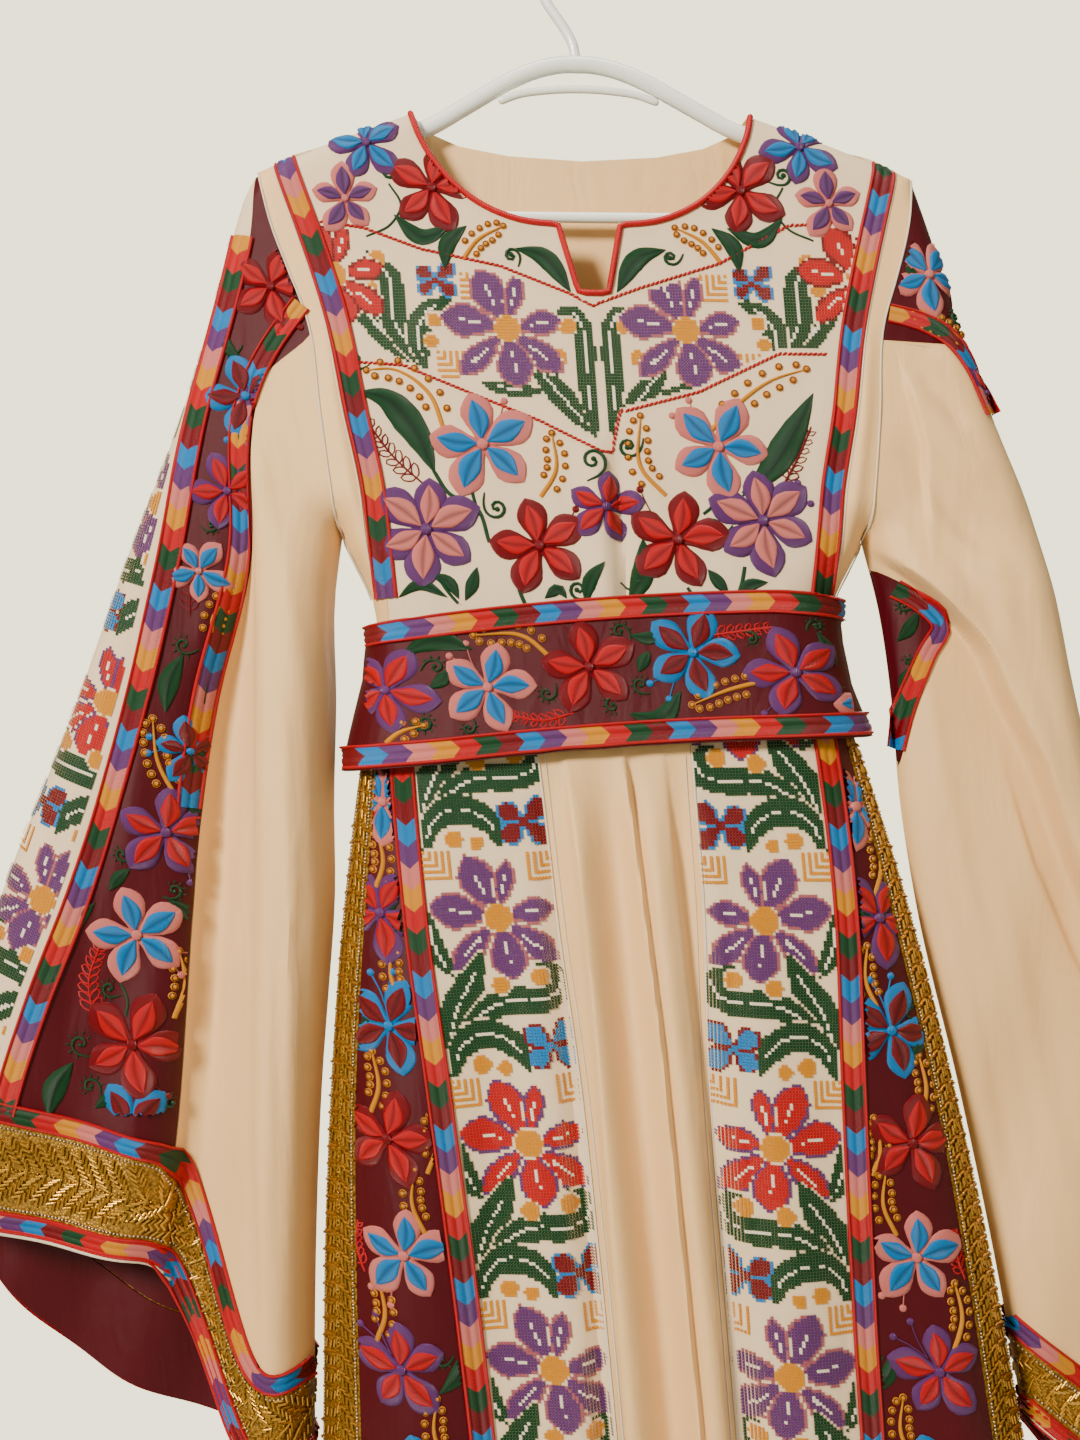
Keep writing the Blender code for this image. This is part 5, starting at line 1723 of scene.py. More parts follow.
class Sewing:
    """Padded satin stitch, gathered in the pattern frame and then laid on one surface."""

    def __init__(self, surface, rise=None, mirror=1, centre=None):
        self.surface = surface
        self.rise = rise
        self.grids = []
        self.mirror = mirror
        self.centre = centre or (lambda drop: 0.0 * drop)

    def pad(self, line, width, tint, shape=LEAF, height=1.7, base=0.0, vein=0.0, slant=0.6, across=7):
        """A blade along a line, widest where its shape says, with a groove for a vein that is painted darker
        as shade.
        """
        line = np.asarray(line, float)
        long = np.linalg.norm(np.diff(line, axis=0), axis=1).sum()
        path = smooth_line(line, int(np.clip(long / 2.4, 5, 40)))
        side, along = path_sides(path)
        t = along / along[-1]
        table = np.array(shape)
        half = np.interp(t, table[:, 0], table[:, 1]) * width / 2
        s = np.sin(np.linspace(-1, 1, across) * math.pi / 2)
        x = path[:, :1] + side[:, :1] * half[:, None] * s
        drop = path[:, 1:] + side[:, 1:] * half[:, None] * s
        ends = np.clip(np.minimum(t, 1 - t) * 7 + 0.15, 0, 1)[:, None]
        round_ = np.sqrt(np.clip(1 - s * s, 0, 1))[None, :]
        high = base + height * ends**0.5 * (round_**0.8 - vein * np.exp(-((s / 0.2) ** 2)))
        edge = np.abs(s) > 0.999
        high = np.where(edge[None, :], min(base, 0.0) - 0.3, high)
        u = along[:, None] + slant * np.abs(s)[None, :] * half[:, None]
        uv = np.stack(np.broadcast_arrays(u * MM, s[None, :]), axis=-1)
        colour = np.broadcast_to(np.array(THREAD[tint]), x.shape + (3,)).copy()
        # Painted shade: the thread's colour is darkened down the vein's groove.
        if vein:
            colour *= (1 - 0.55 * np.exp(-((s / 0.16) ** 2)))[None, :, None]
        self.grids.append((x, drop, high, uv, colour))

    def dot(self, place, radius, tint, height=1.6, base=0.0, ring=None):
        """A round button of thread, with a darker ring round it if one is named."""
        spokes, rings = 9, np.array([0.0, 0.55, 0.85, 1.0])
        turn = np.linspace(0, math.tau, spokes)
        if ring:
            rings = np.array([0.0, 0.4, 0.62, 0.72, 0.88, 1.0])
        x = place[0] + radius * rings[:, None] * np.cos(turn)[None, :]
        drop = place[1] + radius * rings[:, None] * np.sin(turn)[None, :]
        high = base + height * np.sqrt(np.clip(1 - rings**2, 0, 1))
        if ring:
            high = base + height * np.array([1.0, 0.9, 0.45, 0.4, 0.55, -0.2])
        high = np.broadcast_to(high[:, None], x.shape).copy()
        high[-1] = min(base, 0.0) - 0.3
        uv = np.stack([x * MM, drop * MM], axis=-1)
        colour = np.broadcast_to(np.array(THREAD[tint]), x.shape + (3,)).copy()
        if ring:
            colour[2:4] = np.array(THREAD[ring])
        self.grids.append((x, drop, high, uv, colour))

    def flower(self, place, radius, scheme, turn=0.0, petals=5, base=0.0, centre=None):
        """Broad petals of one colour with narrower ones of another on them, and a button."""
        outer, inner = scheme.split("_")
        for i in range(petals):
            angle = turn + i * math.tau / petals
            long = radius * (1.1 + 0.08 * math.sin(3.1 * i + turn * 5))
            bend = 0.05 * math.sin(2.3 * i + turn * 3) * long
            line = [(0.08 * long, 0), (0.55 * long, bend), (long, 0)]
            self.pad(turned(line, angle, 1, place), long * 0.66, outer, PETAL, 2.0, base, 0.0, 1.0, 9)
            line = [(0.1 * long, 0), (0.48 * long, bend), (0.85 * long, 0)]
            self.pad(turned(line, angle, 1, place), long * 0.41, inner, LEAF, 1.3, base + 1.6, 0.5, 0.8, 9)
        self.dot(place, radius * 0.13, centre or outer, 1.4, base + 2.0)

    def leaf(self, line, width, tint="green", base=0.0):
        self.pad(line, width, tint, LEAF, 1.5, base, 0.35, 1.1, 9)

    def stem(self, line, width=1.9, tint="green", shape=RIBBON):
        self.pad(line, width, tint, shape, 0.9, 0.0, 0.0, 0.4, 5)

    def curl(self, place, radius, turn=0.0, hand=1, tint="green", turns=1.35, width=2.6):
        """A spiral that ends in a blob, with its tail at the angle turn."""
        a = np.linspace(0, turns * math.tau, 13)
        r = radius * (1 - 0.86 * (a / a[-1]) ** 0.8)
        line = np.stack([r * np.cos(a * hand), r * np.sin(a * hand)], axis=1)
        tail = line[:1] + np.array([[0.1 * radius, -0.9 * radius * hand]])
        line = turned(np.concatenate([tail, line]), turn, 1, place)
        self.pad(line, width, tint, ((0, 0.5), (0.5, 1), (1, 0.9)), 1.2, 0.0, 0.0, 0.4, 5)
        self.dot(line[-1], width * 0.75, tint, 1.4)

    def hairy_curl(self, place, radius, turn=0.0, hand=1):
        """A curl with short side stitches, as on the maroon."""
        self.curl(place, radius, turn, hand, "green", 1.1, 2.0)
        for i in range(7):
            angle = turn + hand * (0.3 + i * 0.62)
            reach = radius * (1.02 - 0.05 * i)
            line = [(reach, 0), (reach + radius * 0.34, 0)]
            self.stem(turned(line, angle, 1, place), 1.1)

    def spray(self, line, buttons=6, size=2.9, side=6.4):
        """A tapered gold stem with a row of ringed buttons on each side."""
        self.pad(line, 3.4, "gold", ((0, 1.0), (0.5, 0.8), (1, 0.25)), 1.5, 0.0, 0.0, 0.5, 5)
        path = smooth_line(line, 2 * buttons + 4)
        out, _ = path_sides(path)
        for i in range(buttons):
            at = 3 + 2 * i
            near = 1 - 0.3 * max(0, i - buttons + 2)
            for hand in (-1, 1):
                j = min(at + (hand > 0), len(path) - 1)
                self.dot(path[j] + out[j] * hand * side * near, size, "gold", 1.7, 0.0, "maroon")
        self.dot(path[-1], size, "gold", 1.7, 0.0, "maroon")

    def fern(self, line, tint="red", loops=5, size=8.5):
        """A stem with pairs of open loops, smaller towards its tip."""
        self.stem(line, 1.5, tint)
        path = smooth_line(line, loops + 3)
        out, _ = path_sides(path)
        step = np.gradient(path, axis=0)
        step /= np.linalg.norm(step, axis=1, keepdims=True)
        for i in range(1, loops + 2):
            long = size * (1.0 - 0.4 * i / (loops + 2))
            for hand in (-1, 1):
                aim = step[i] * 0.75 + out[i] * hand * 0.66
                cross = np.array([-aim[1], aim[0]])
                a = np.linspace(0, math.tau, 11)
                ring = path[i] + aim * (long * (0.52 - 0.5 * np.cos(a)))[:, None]
                ring = ring + cross * (long * 0.24 * np.sin(a))[:, None]
                self.pad(ring, 1.5, tint, RIBBON, 0.9, 0.0, 0.0, 0.4, 3)

    def feelers(self, place, angle, reach, tint, spread=0.45):
        """Two thin stalks that end in dots, out from between two petals."""
        for hand in (-1, 1):
            far = (reach, hand * reach * spread * 0.5)
            line = [(reach * 0.3, 0), (reach * 0.68, hand * reach * 0.09), far]
            line = turned(line, angle, 1, place)
            self.stem(line, 0.8, tint)
            self.dot(line[-1], 2.6, tint, 1.5)

    def chain(self, line, tint="red", width=2.6):
        """Short slanted stitches in a row."""
        path = even(line, 3.2)
        side, _ = path_sides(path)
        step = np.gradient(path, axis=0)
        for i in range(len(path) - 1):
            low = path[i] - side[i] * width * 0.4
            high = path[i] + step[i] * 1.15 + side[i] * width * 0.4
            self.pad([low, (low + high) / 2, high], 2.3, tint, LEAF, 1.2, 0.0, 0.0, 0.3, 5)

    def made(self, name, slot, keep=None):
        """One joined mesh of all that was gathered, without the faces that keep leaves out."""
        x = np.concatenate([g[0].ravel() for g in self.grids])
        drop = np.concatenate([g[1].ravel() for g in self.grids])
        high = np.concatenate([g[2].ravel() for g in self.grids])
        x = middle(self.centre, drop) + self.mirror * x
        if self.rise:
            high = high + self.rise(x, drop)
        place, normal = lifted(self.surface, x, drop, high)
        faces, start = [], 0
        for grid in self.grids:
            rows, cols = grid[0].shape
            a = start + (np.arange(rows - 1)[:, None] * cols + np.arange(cols - 1)[None, :]).ravel()
            faces.append(np.stack([a, a + cols, a + cols + 1, a + 1], axis=1))
            start += rows * cols
        faces = np.concatenate(faces)
        if keep:
            shown = keep(x, drop)
            faces = faces[shown[faces].all(axis=1)]
        used, faces = np.unique(faces.ravel(), return_inverse=True)
        faces = faces.reshape(-1, 4)
        uv = np.concatenate([g[3].reshape(-1, 2) for g in self.grids])[used]
        tint = np.concatenate([g[4].reshape(-1, 3) for g in self.grids])[used]
        faces = facing(place[used], faces, normal[used])
        made = mesh_object(name, place[used], faces, material("satin_thread"), uv, tint)
        return own(made)


def middle(centre, drop):
    return centre(drop)


def inside_of(low, high, top=None, end=None):
    """A test of whether points lie between two lines down the dress."""

    def test(x, drop):
        a, b = low(drop), high(drop)
        shown = (x > np.minimum(a, b)) & (x < np.maximum(a, b))
        if top is not None:
            shown &= drop > top
        if end is not None:
            shown &= drop < end
        return shown

    return test


def bib_satin():
    """Satin stitch of the bib: the shoulders, and the flowers under the lower red line."""
    s = Sewing("front")
    for side in (-1, 1):
        s.flower((side * 142, 151), 24, "purple_cyan", 0.5 * side)
        s.flower((side * 101, 181), 28, "crimson_red", 0.2 + side * 0.3)
        s.flower((side * 158, 189), 22, "pink_purple", 0.9)
        s.curl((side * 129, 170), 7, 2.0 * side, -side)
        s.leaf([(side * 127, 199), (side * 110, 214), (side * 90, 206)], 12)
        s.leaf([(side * 96, 236), (side * 93, 218), (side * 80, 206)], 12)
        s.stem([(side * 146, 214), (side * 130, 206), (side * 122, 192), (side * 129, 178)], 1.7)
        s.spray([(side * 84, 229), (side * 74, 216), (side * 56, 206)], 5, 2.6, 5.4)
        s.leaf([(side * 49, 221), (side * 32, 226), (side * 15, 250)], 14)
        s.curl((side * 52, 226), 6, 0.4, side)
    s.spray([(-103, 344), (-112, 318), (-134, 303), (-151, 304)], 6)
    s.leaf([(-158, 318), (-141, 322), (-122, 344), (-111, 371)], 21)
    s.stem([(-112, 369), (-103, 384), (-86, 393), (-79, 416)], 3.0)
    s.stem([(-84, 365), (-88, 380), (-86, 393)], 2.6)
    s.curl((-158, 297), 7, 1.0, 1)
    s.fern([(-118, 379), (-136, 362), (-154, 336)], "crimson", 6, 10.5)
    s.spray([(-44, 386), (-33, 368), (-34, 344)], 5, 2.7, 5.8)
    s.curl((-73, 393), 8.5, 3.4, -1)
    s.curl((-9, 362), 10, 1.2, -1)
    s.curl((-24, 446), 7.5, 0.6, 1)
    s.curl((14, 440), 7.5, 2.4, -1)
    s.curl((15, 352), 8, 0.2, 1)
    s.curl((67, 404), 8, 0.6, 1)
    s.stem([(-117, 432), (-108, 448), (-100, 458)], 2.4)
    s.leaf([(-101, 453), (-106, 443), (-118, 437)], 9)
    s.leaf([(-97, 454), (-92, 444), (-88, 432)], 9)
    s.stem([(-62, 432), (-62, 446), (-58, 458)], 3.0)
    s.leaf([(-140, 452), (-126, 444), (-108, 452)], 8)
    s.leaf([(-46, 452), (-36, 446), (-32, 452)], 8)
    s.leaf([(8, 456), (18, 436), (20, 412)], 15)
    s.leaf([(-20, 456), (-16, 440), (-6, 428)], 10)
    s.stem([(84, 430), (80, 444), (74, 456)], 2.8)
    s.stem([(46, 444), (50, 452), (48, 458)], 2.6)
    s.leaf([(76, 452), (86, 442), (98, 440)], 9)
    s.leaf([(72, 448), (66, 440), (60, 432)], 9)
    s.stem([(72, 376), (67, 390), (60, 396)], 2.4)
    s.spray([(66, 344), (85, 326), (110, 308), (134, 300)], 6)
    s.leaf([(86, 384), (104, 368), (122, 342), (137, 316)], 20)
    s.fern([(112, 378), (124, 358), (134, 338)], "crimson", 5, 9.0)
    s.spray([(37, 384), (22, 366), (24, 332)], 6, 2.7, 6.2)
    s.stem([(98, 384), (92, 378), (86, 382)], 2.2)
    for place, angle, reach, tint in (
        ((-79, 352), -0.85, 32, "pink"), ((-119, 408), -2.6, 42, "purple"),
        ((-47, 418), -0.55, 34, "crimson"), ((73, 352), -2.3, 34, "pink"),
        ((42, 415), -2.35, 40, "crimson"), ((96, 398), -0.5, 34, "purple"),
    ):
        s.feelers(place, angle, reach, tint)
    s.flower((-79, 352), 33, "pink_cyan", -1.75)
    s.flower((-119, 408), 33, "purple_pink", -1.45, 6)
    s.flower((-47, 418), 30, "crimson_red", -1.8)
    s.flower((-3, 392), 23, "purple_red", -1.4)
    s.flower((73, 352), 31, "pink_cyan", -1.1)
    s.flower((42, 413), 31, "crimson_red", -1.35)
    s.flower((98, 400), 32, "purple_pink", -1.7, 6)
    s.chain(LOWER_RED)
    s.chain(UPPER_RED)
    keep = inside_of(
        lambda d: braid_line(-1, BRAID_WIDTH / 2)(d), lambda d: braid_line(1, -BRAID_WIDTH / 2)(d), None, 458
    )
    s.made("bib_embroidery", "braid", beyond_neck(keep))


def beyond_neck(test):
    """The test, without what would lie in the neck opening or above the shoulder seam."""
    half = np.array(neck_points(), float)

    def both(x, drop):
        neck = np.interp(np.abs(x - middle_x(drop)), half[1:, 0], half[1:, 1], left=252.0)
        return test(x, drop) & (drop > neck + 3.0) & (drop > shoulder_drop(x) + 1.0)

    return both


def belt_satin(side):
    s = Sewing(f"belt_{side}", belt_rise)
    s.spray([(-46, 490), (-60, 478), (-93, 477)], 6, 2.7, 5.8)
    s.spray([(88, 505), (66, 511), (42, 521)], 6, 2.7, 5.8)
    s.spray([(-148, 548), (-140, 541), (-126, 536)], 2, 2.5, 5.0)
    s.fern([(-33, 527), (-52, 532), (-73, 529)], "red", 5, 8.0)
    s.fern([(56, 476), (76, 473), (97, 470)], "red", 5, 8.0)
    s.leaf([(-136, 490), (-118, 481), (-94, 486)], 14)
    s.leaf([(2, 527), (20, 531), (36, 512)], 14)
    s.leaf([(6, 476), (18, 478), (30, 472)], 9)
    s.leaf([(10, 500), (14, 492), (18, 486)], 9)
    s.leaf([(-122, 512), (-114, 506), (-110, 498)], 9)
    s.leaf([(122, 472), (128, 482), (132, 494)], 8)
    for x, drop, radius, hand in (
        (-118, 498, 6, 1), (-49, 514, 6, 1), (-126, 534, 6, -1), (0, 474, 6, -1), (11, 508, 6, 1),
        (-8, 522, 6, -1), (83, 478, 5, 1), (122, 468, 5, 1), (132, 514, 5, -1), (-100, 537, 5, 1),
    ):
        s.hairy_curl((x, drop), radius, x * 0.13, hand)
    for place, angle, reach, tint in (
        ((-86, 511), -2.2, 30, "pink"), ((-21, 496), -1.9, 34, "crimson"),
        ((45, 487), 2.3, 34, "cyan"), ((107, 500), 2.0, 32, "purple"),
    ):
        s.feelers(place, angle, reach, tint)
    s.flower((-146, 514), 27, "purple_red", 0.2)
    s.flower((-86, 511), 28, "pink_cyan", -1.3)
    s.flower((-21, 497), 29, "crimson_red", -1.75)
    s.flower((45, 487), 28, "cyan_crimson", -1.2, 5)
    s.flower((107, 499), 28, "purple_red", -1.9)
    s.flower((152, 520), 22, "pink_cyan", 0.6)

    def keep(x, drop):
        edge = BELT_TOP + BELT_SIDE_SAG * ((x - middle_x(WAIST)) / 151.0) ** 2 - TILT * x
        shown = (drop > edge + BELT_HEIGHT * 0.13) & (drop < edge + BELT_HEIGHT * 0.87)
        half = level(BODICE, "side", WAIST) - 4
        return shown & (np.abs(x - middle_x(WAIST)) < half)

    s.made(f"belt_{side}_embroidery", "braid", keep)


SCHEMES = ("pink_cyan", "purple_red", "cyan_crimson", "crimson_red")


def filler(s, kind, place, hand, size=1.0):
    """One of the small motifs between the flowers, leaning to one side."""
    x, drop = place

    def at(points):
        return [(x + hand * size * a, drop + size * b) for a, b in points]

    if kind == 0:
        s.spray(at([(-2, 22), (5, 4), (2, -18)]), 5, 2.6, 5.6)
    elif kind == 1:
        s.fern(at([(-2, 18), (3, 2), (1, -17)]), "red", 5, 8.0)
    elif kind == 2:
        s.leaf(at([(-12, 16), (0, 6), (8, -14)]), 11)
        s.hairy_curl(at([(-9, -8)])[0], 5.5, 0.5, hand)
    else:
        s.leaf(at([(8, 20), (-3, 8), (-4, -10)]), 10)
        s.hairy_curl(at([(5, -14)])[0], 5.5, 2.0, -hand)


def vine(s, place_of, start, end, gap, radius, first=0, widths=None):
    """Flowers down a panel in a zigzag, with small motifs beside and between them."""
    count = int((end - start) / gap) + 1
    for i in range(count):
        down = start + gap * i
        hand = 1 if i % 2 else -1
        kind = (first + i) % 4
        spread = widths(down) if widths else 0.18
        here = place_of(down, hand * spread)
        past = place_of(down + gap * 0.5, -hand * max(0.55, spread + 0.3))
        filler(s, (kind * 3 + i) % 4, past, -hand)
        other = place_of(down, -hand * 0.9)
        filler(s, (kind + 1) % 4, other, hand, 0.9)
        if widths and spread > 0.3:
            far = place_of(down + gap * 0.45, -hand * 0.1)
            filler(s, (kind + 2) % 4, far, hand, 0.8)
        s.feelers(here, 0.8 + 1.9 * i, radius * 1.18, SCHEMES[kind].split("_")[0])
        s.flower(here, radius, SCHEMES[kind], 0.4 + 1.1 * i, 5)


def skirt_satin():
    """The maroon panels of the skirt, from under the belt down to the hem."""
    for side, label in ((-1, "left"), (1, "right")):
        s = Sewing("front")
        low = skirt_line(side, "strip", BRAID_WIDTH / 2)
        high = skirt_line(side, "maroon")

        def place_of(drop, share, low=low, high=high):
            a, b = low(drop), high(drop)
            return float(a + (b - a) * (0.5 + share * 0.5)), float(drop)

        def widths(drop):
            return 0.1 + 0.3 * float(ramp(drop, 900, 1300))

        vine(s, place_of, 584, HEM - 18, 70.5, 28, 0, widths)
        s.made(f"skirt_{label}_embroidery", "braid", inside_of(low, high, 540, HEM - 3))


def sleeve_satin():
    """The maroon panels of both sleeves."""
    s = Sewing("left")
    for x, drop, radius, scheme, turn in (
        (-210, 249, 26, "crimson_red", -1.2), (-230, 322, 26, "cyan_crimson", -0.6),
        (-246, 384, 24, "purple_red", -1.9), (-268, 436, 20, "pink_cyan", 0.4),
        (-284, 553, 20, "cyan_crimson", 0.9), (-302, 606, 29, "purple_red", -1.4),
        (-325, 673, 30, "pink_cyan", -1.8), (-332, 744, 32, "crimson_red", -1.1),
        (-336, 797, 26, "cyan_crimson", -0.8),
    ):
        s.feelers((x, drop), 2.4 + turn, radius * 1.2, scheme.split("_")[0])
        s.flower((x, drop), radius, scheme, turn)
    s.spray([(-262, 486), (-262, 468), (-248, 448)], 5, 2.6, 5.6)
    s.spray([(-294, 583), (-303, 560), (-304, 532)], 7, 2.9, 6.6)
    s.leaf([(-296, 528), (-292, 508), (-282, 490)], 14)
    s.hairy_curl((-281, 484), 6.5, 1.0, 1)
    s.leaf([(-272, 528), (-270, 514), (-262, 506)], 8)
    s.fern([(-356, 728), (-358, 704), (-348, 678)], "red", 7, 10.5)
    s.fern([(-276, 466), (-274, 447), (-264, 430)], "crimson", 6, 9.0)
    s.leaf([(-232, 298), (-240, 290), (-244, 276)], 9)
    s.leaf([(-222, 352), (-232, 350), (-240, 340)], 9)
    s.hairy_curl((-238, 290), 5.5, 0.4, 1)
    s.hairy_curl((-258, 406), 5, 2.4, -1)
    s.hairy_curl((-330, 620), 6, 0.2, 1)
    s.leaf([(-340, 644), (-332, 634), (-326, 630)], 9)
    s.hairy_curl((-300, 644), 6, 2.0, -1)
    s.leaf([(-290, 668), (-296, 656), (-304, 650)], 8)
    s.hairy_curl((-345, 708), 6, 1.2, 1)
    s.stem([(-338, 704), (-334, 716), (-336, 726)], 2.0)
    s.leaf([(-390, 792), (-384, 772), (-372, 756)], 15)
    s.hairy_curl((-366, 744), 7.5, 1.6, 1)
    s.hairy_curl((-362, 772), 6.5, 0.1, -1)
    s.leaf([(-360, 786), (-350, 780), (-342, 784)], 9)
    s.hairy_curl((-312, 784), 6, 0.1, -1)
    s.spray([(-306, 728), (-298, 706), (-300, 684)], 5, 2.6, 5.8)
    s.leaf([(-364, 672), (-358, 660), (-350, 652)], 8)
    s.leaf([(-278, 574), (-284, 590), (-280, 604)], 9)
    low, high = left_line(0.405), left_line(0.76)
    s.made("sleeve_left_embroidery", "braid", beyond_shoulder(inside_of(low, high, 180, 790)))

    s = Sewing("right")
    s.spray([(246, 282), (226, 272), (206, 262)], 6, 2.7, 6.0)
    s.flower((219, 236), 25, "pink_cyan", -1.0)
    s.leaf([(204, 250), (208, 236), (206, 222)], 8)
    s.hairy_curl((236, 262), 5.5, 0.4, 1)
    s.flower((252, 312), 18, "purple_red", 0.3)
    keep = inside_of(lambda d: right_outer(d) + 0.5, lambda d: outer_x(d, 1), 180, 334)
    upper = s.made("sleeve_right_embroidery", "braid", beyond_shoulder(keep))
    s = Sewing("right")
    s.hairy_curl((189, 452), 5, 0.4, 1)
    s.leaf([(184, 476), (190, 470), (198, 456)], 9)
    s.hairy_curl((190, 490), 5, 1.4, -1)
    s.leaf([(184, 508), (188, 500), (192, 492)], 8)
    inner = inside_of(lambda d: under_x(d, 1), right_inner, 434, 552)
    s.made("sleeve_right_underarm_embroidery", "braid", inner)
    return upper


def beyond_shoulder(test):
    return lambda x, drop: test(x, drop) & (drop > shoulder_drop(x) + 4.0)


def sleeve_back_satin():
    """The same vines on the backs of the sleeves."""
    for side, label, borders in ((-1, "left", ((4, 7),)), (1, "right", ((3, 5), (8, 10)))):
        s = Sewing(f"{label}_back")
        lines = back_line_of(side)
        tests = []
        for k, (a, b) in enumerate(borders):
            shares = BACK_SHARES[side]
            low, high = lines(shares[a] + 0.008), lines(shares[b] - 0.004)

            def place_of(drop, share, low=low, high=high):
                one, two = low(drop), high(drop)
                return float(one + (two - one) * (0.5 + share * 0.5)), float(drop)

            end = cuff(0.5 * (shares[a] + shares[b]), side, 1)[0] - 8
            vine(s, place_of, 250.0 + 30 * k, end - 20, 64, 22, k)
            tests.append(inside_of(low, high, 236.0, end))

        def keep(x, drop, tests=tests):
            return np.any([test(x, drop) for test in tests], axis=0)

        s.made(f"sleeve_{label}_back_embroidery", "braid", keep)


def embroidery():
    bib_satin()
    for side in ("front", "back"):
        belt_satin(side)
    skirt_satin()
    sleeve_satin()
    sleeve_back_satin()


def scatter_tree():
    """Puts one small shape on every point, turned and sized by the point's own attributes."""
    found = bpy.data.node_groups.get("scatter")
    if found:
        return found
    tree = bpy.data.node_groups.new("scatter", "GeometryNodeTree")
    for title, kind in (("Geometry", "Geometry"), ("Shape", "Object"), ("Finish", "Material")):
        tree.interface.new_socket(title, in_out="INPUT", socket_type=f"NodeSocket{kind}")
    tree.interface.new_socket("Geometry", in_out="OUTPUT", socket_type="NodeSocketGeometry")
    start, end = tree.nodes.new("NodeGroupInput"), tree.nodes.new("NodeGroupOutput")
    shape = node(tree, "GeometryNodeObjectInfo", {"Object": start.outputs["Shape"]})
    turn = node(tree, "GeometryNodeInputNamedAttribute", {"Name": "turn"}, data_type="FLOAT_VECTOR")
    size = node(tree, "GeometryNodeInputNamedAttribute", {"Name": "size"}, data_type="FLOAT_VECTOR")
    values = {
        "Points": start.outputs["Geometry"], "Instance": shape.outputs["Geometry"],
        "Rotation": turn.outputs["Attribute"], "Scale": size.outputs["Attribute"],
    }
    placed = node(tree, "GeometryNodeInstanceOnPoints", values)
    real = node(tree, "GeometryNodeRealizeInstances", {"Geometry": placed.outputs["Instances"]})
    values = {"Geometry": real.outputs["Geometry"], "Material": start.outputs["Finish"]}
    finished = node(tree, "GeometryNodeSetMaterial", values)
    tree.links.new(finished.outputs["Geometry"], end.inputs["Geometry"])
    return tree


def cross_shape(cell=2.0):
    """Two crossed bars of thread over one square of the chart."""
    points, faces = [], []
    long, wide = cell * 0.6, cell * 0.24
    for hand, low in ((1, 0.15), (-1, 0.45)):
        for a, b in ((-long, -wide), (long, -wide), (long, wide), (-long, wide)):
            points.append(((a - b * hand) * 0.707, (a * hand + b) * 0.707, low))
        start = len(points) - 4
        faces.append(range(start, start + 4))
    return points, faces


def bugle_shape(long=5.6, radius=0.95, sides=5):
    """A short glass tube lying along its first axis."""
    points = [
        (x, radius * math.cos(i * math.tau / sides), radius * 0.9 + radius * math.sin(i * math.tau / sides))
        for x in (-long / 2, long / 2)
        for i in range(sides)
    ]
    faces = [(i, i + sides, (i + 1) % sides + sides, (i + 1) % sides) for i in range(sides)]
    return points, [f[::-1] for f in faces] + [range(sides)[::-1], range(sides, 2 * sides)]


def seed_shape(radius=0.95):
    points = [(1, 0, 1), (0, 1, 1), (-1, 0, 1), (0, -1, 1), (0, 0, 1.9), (0, 0, 0.1)]
    faces = [(i, (i + 1) % 4, 4) for i in range(4)] + [((i + 1) % 4, i, 5) for i in range(4)]
    return [(x * radius, y * radius, z * radius) for x, y, z in points], faces


def scatter(name, surface, x, drop, aim, tint, shape, finish, size=1.0, high=0.1):
    """One small shape at every place on a surface, lying on it and pointing along aim."""
    place, normal = lifted(surface, x, drop, high)
    along = np.stack([aim[:, 0], np.zeros(len(aim)), -aim[:, 1]], axis=1)
    along -= normal * (along * normal).sum(axis=1, keepdims=True)
    along /= np.linalg.norm(along, axis=1, keepdims=True)
    over = np.cross(normal, along)
    turn = np.stack(
        [
            np.arctan2(over[:, 2], normal[:, 2]),
            -np.arcsin(np.clip(along[:, 2], -1, 1)),
            np.arctan2(along[:, 1], along[:, 0]),
        ],
        axis=1,
    )
    points, faces = shape
    small = bpy.data.meshes.new(f"{name}_shape")
    small.from_pydata([tuple(v * MM for v in p) for p in points], [], [tuple(f) for f in faces])
    small.shade_smooth()
    if len(points) > 8:
        small.set_sharp_from_angle(angle=math.radians(75))
    model = bpy.data.objects.new(f"{name}_shape", small)
    bpy.context.scene.collection.objects.link(model)
    made = mesh_object(name, place, np.zeros((0, 4)), material(finish), tint=tint)
    sizes = np.broadcast_to(np.asarray(size, float).reshape(-1, 1), (len(place), 3))
    for title, values in (("turn", turn), ("size", sizes)):
        attribute = made.data.attributes.new(title, "FLOAT_VECTOR", "POINT")
        attribute.data.foreach_set("vector", np.ascontiguousarray(values, np.float32).ravel())
    modifier = made.modifiers.new("scatter", "NODES")
    modifier.node_group = scatter_tree()
    given = {"Shape": model, "Finish": material(finish)}
    for item in modifier.node_group.interface.items_tree:
        if item.in_out == "INPUT" and item.name in given:
            modifier[item.identifier] = given[item.name]
    graph = bpy.context.evaluated_depsgraph_get()
    real = bpy.data.meshes.new_from_object(
        made.evaluated_get(graph), preserve_all_data_layers=True, depsgraph=graph
    )
    made.modifiers.clear()
    made.data = real
    real.name = name
    bpy.data.objects.remove(model)
    return own(made)


BLADE = ((0, 0.3), (0.2, 0.75), (0.45, 1.0), (0.75, 0.85), (0.92, 0.45), (1, 0.12))


# Space in millimetres under cross-stitches, more where the cloth under them bends.
BIB_RISE = 0.25
SKIRT_RISE = 0.5
SLEEVE_RISE = 0.3
# Angle in degrees, reach and width of each petal of a cross-stitch flower.
PETALS = (
    (246, 1.08, 0.62), (284, 0.94, 0.36), (350, 0.9, 0.45), (40, 1.12, 0.5), (82, 1.0, 0.64),
    (136, 1.14, 0.45), (191, 1.1, 0.6),
)


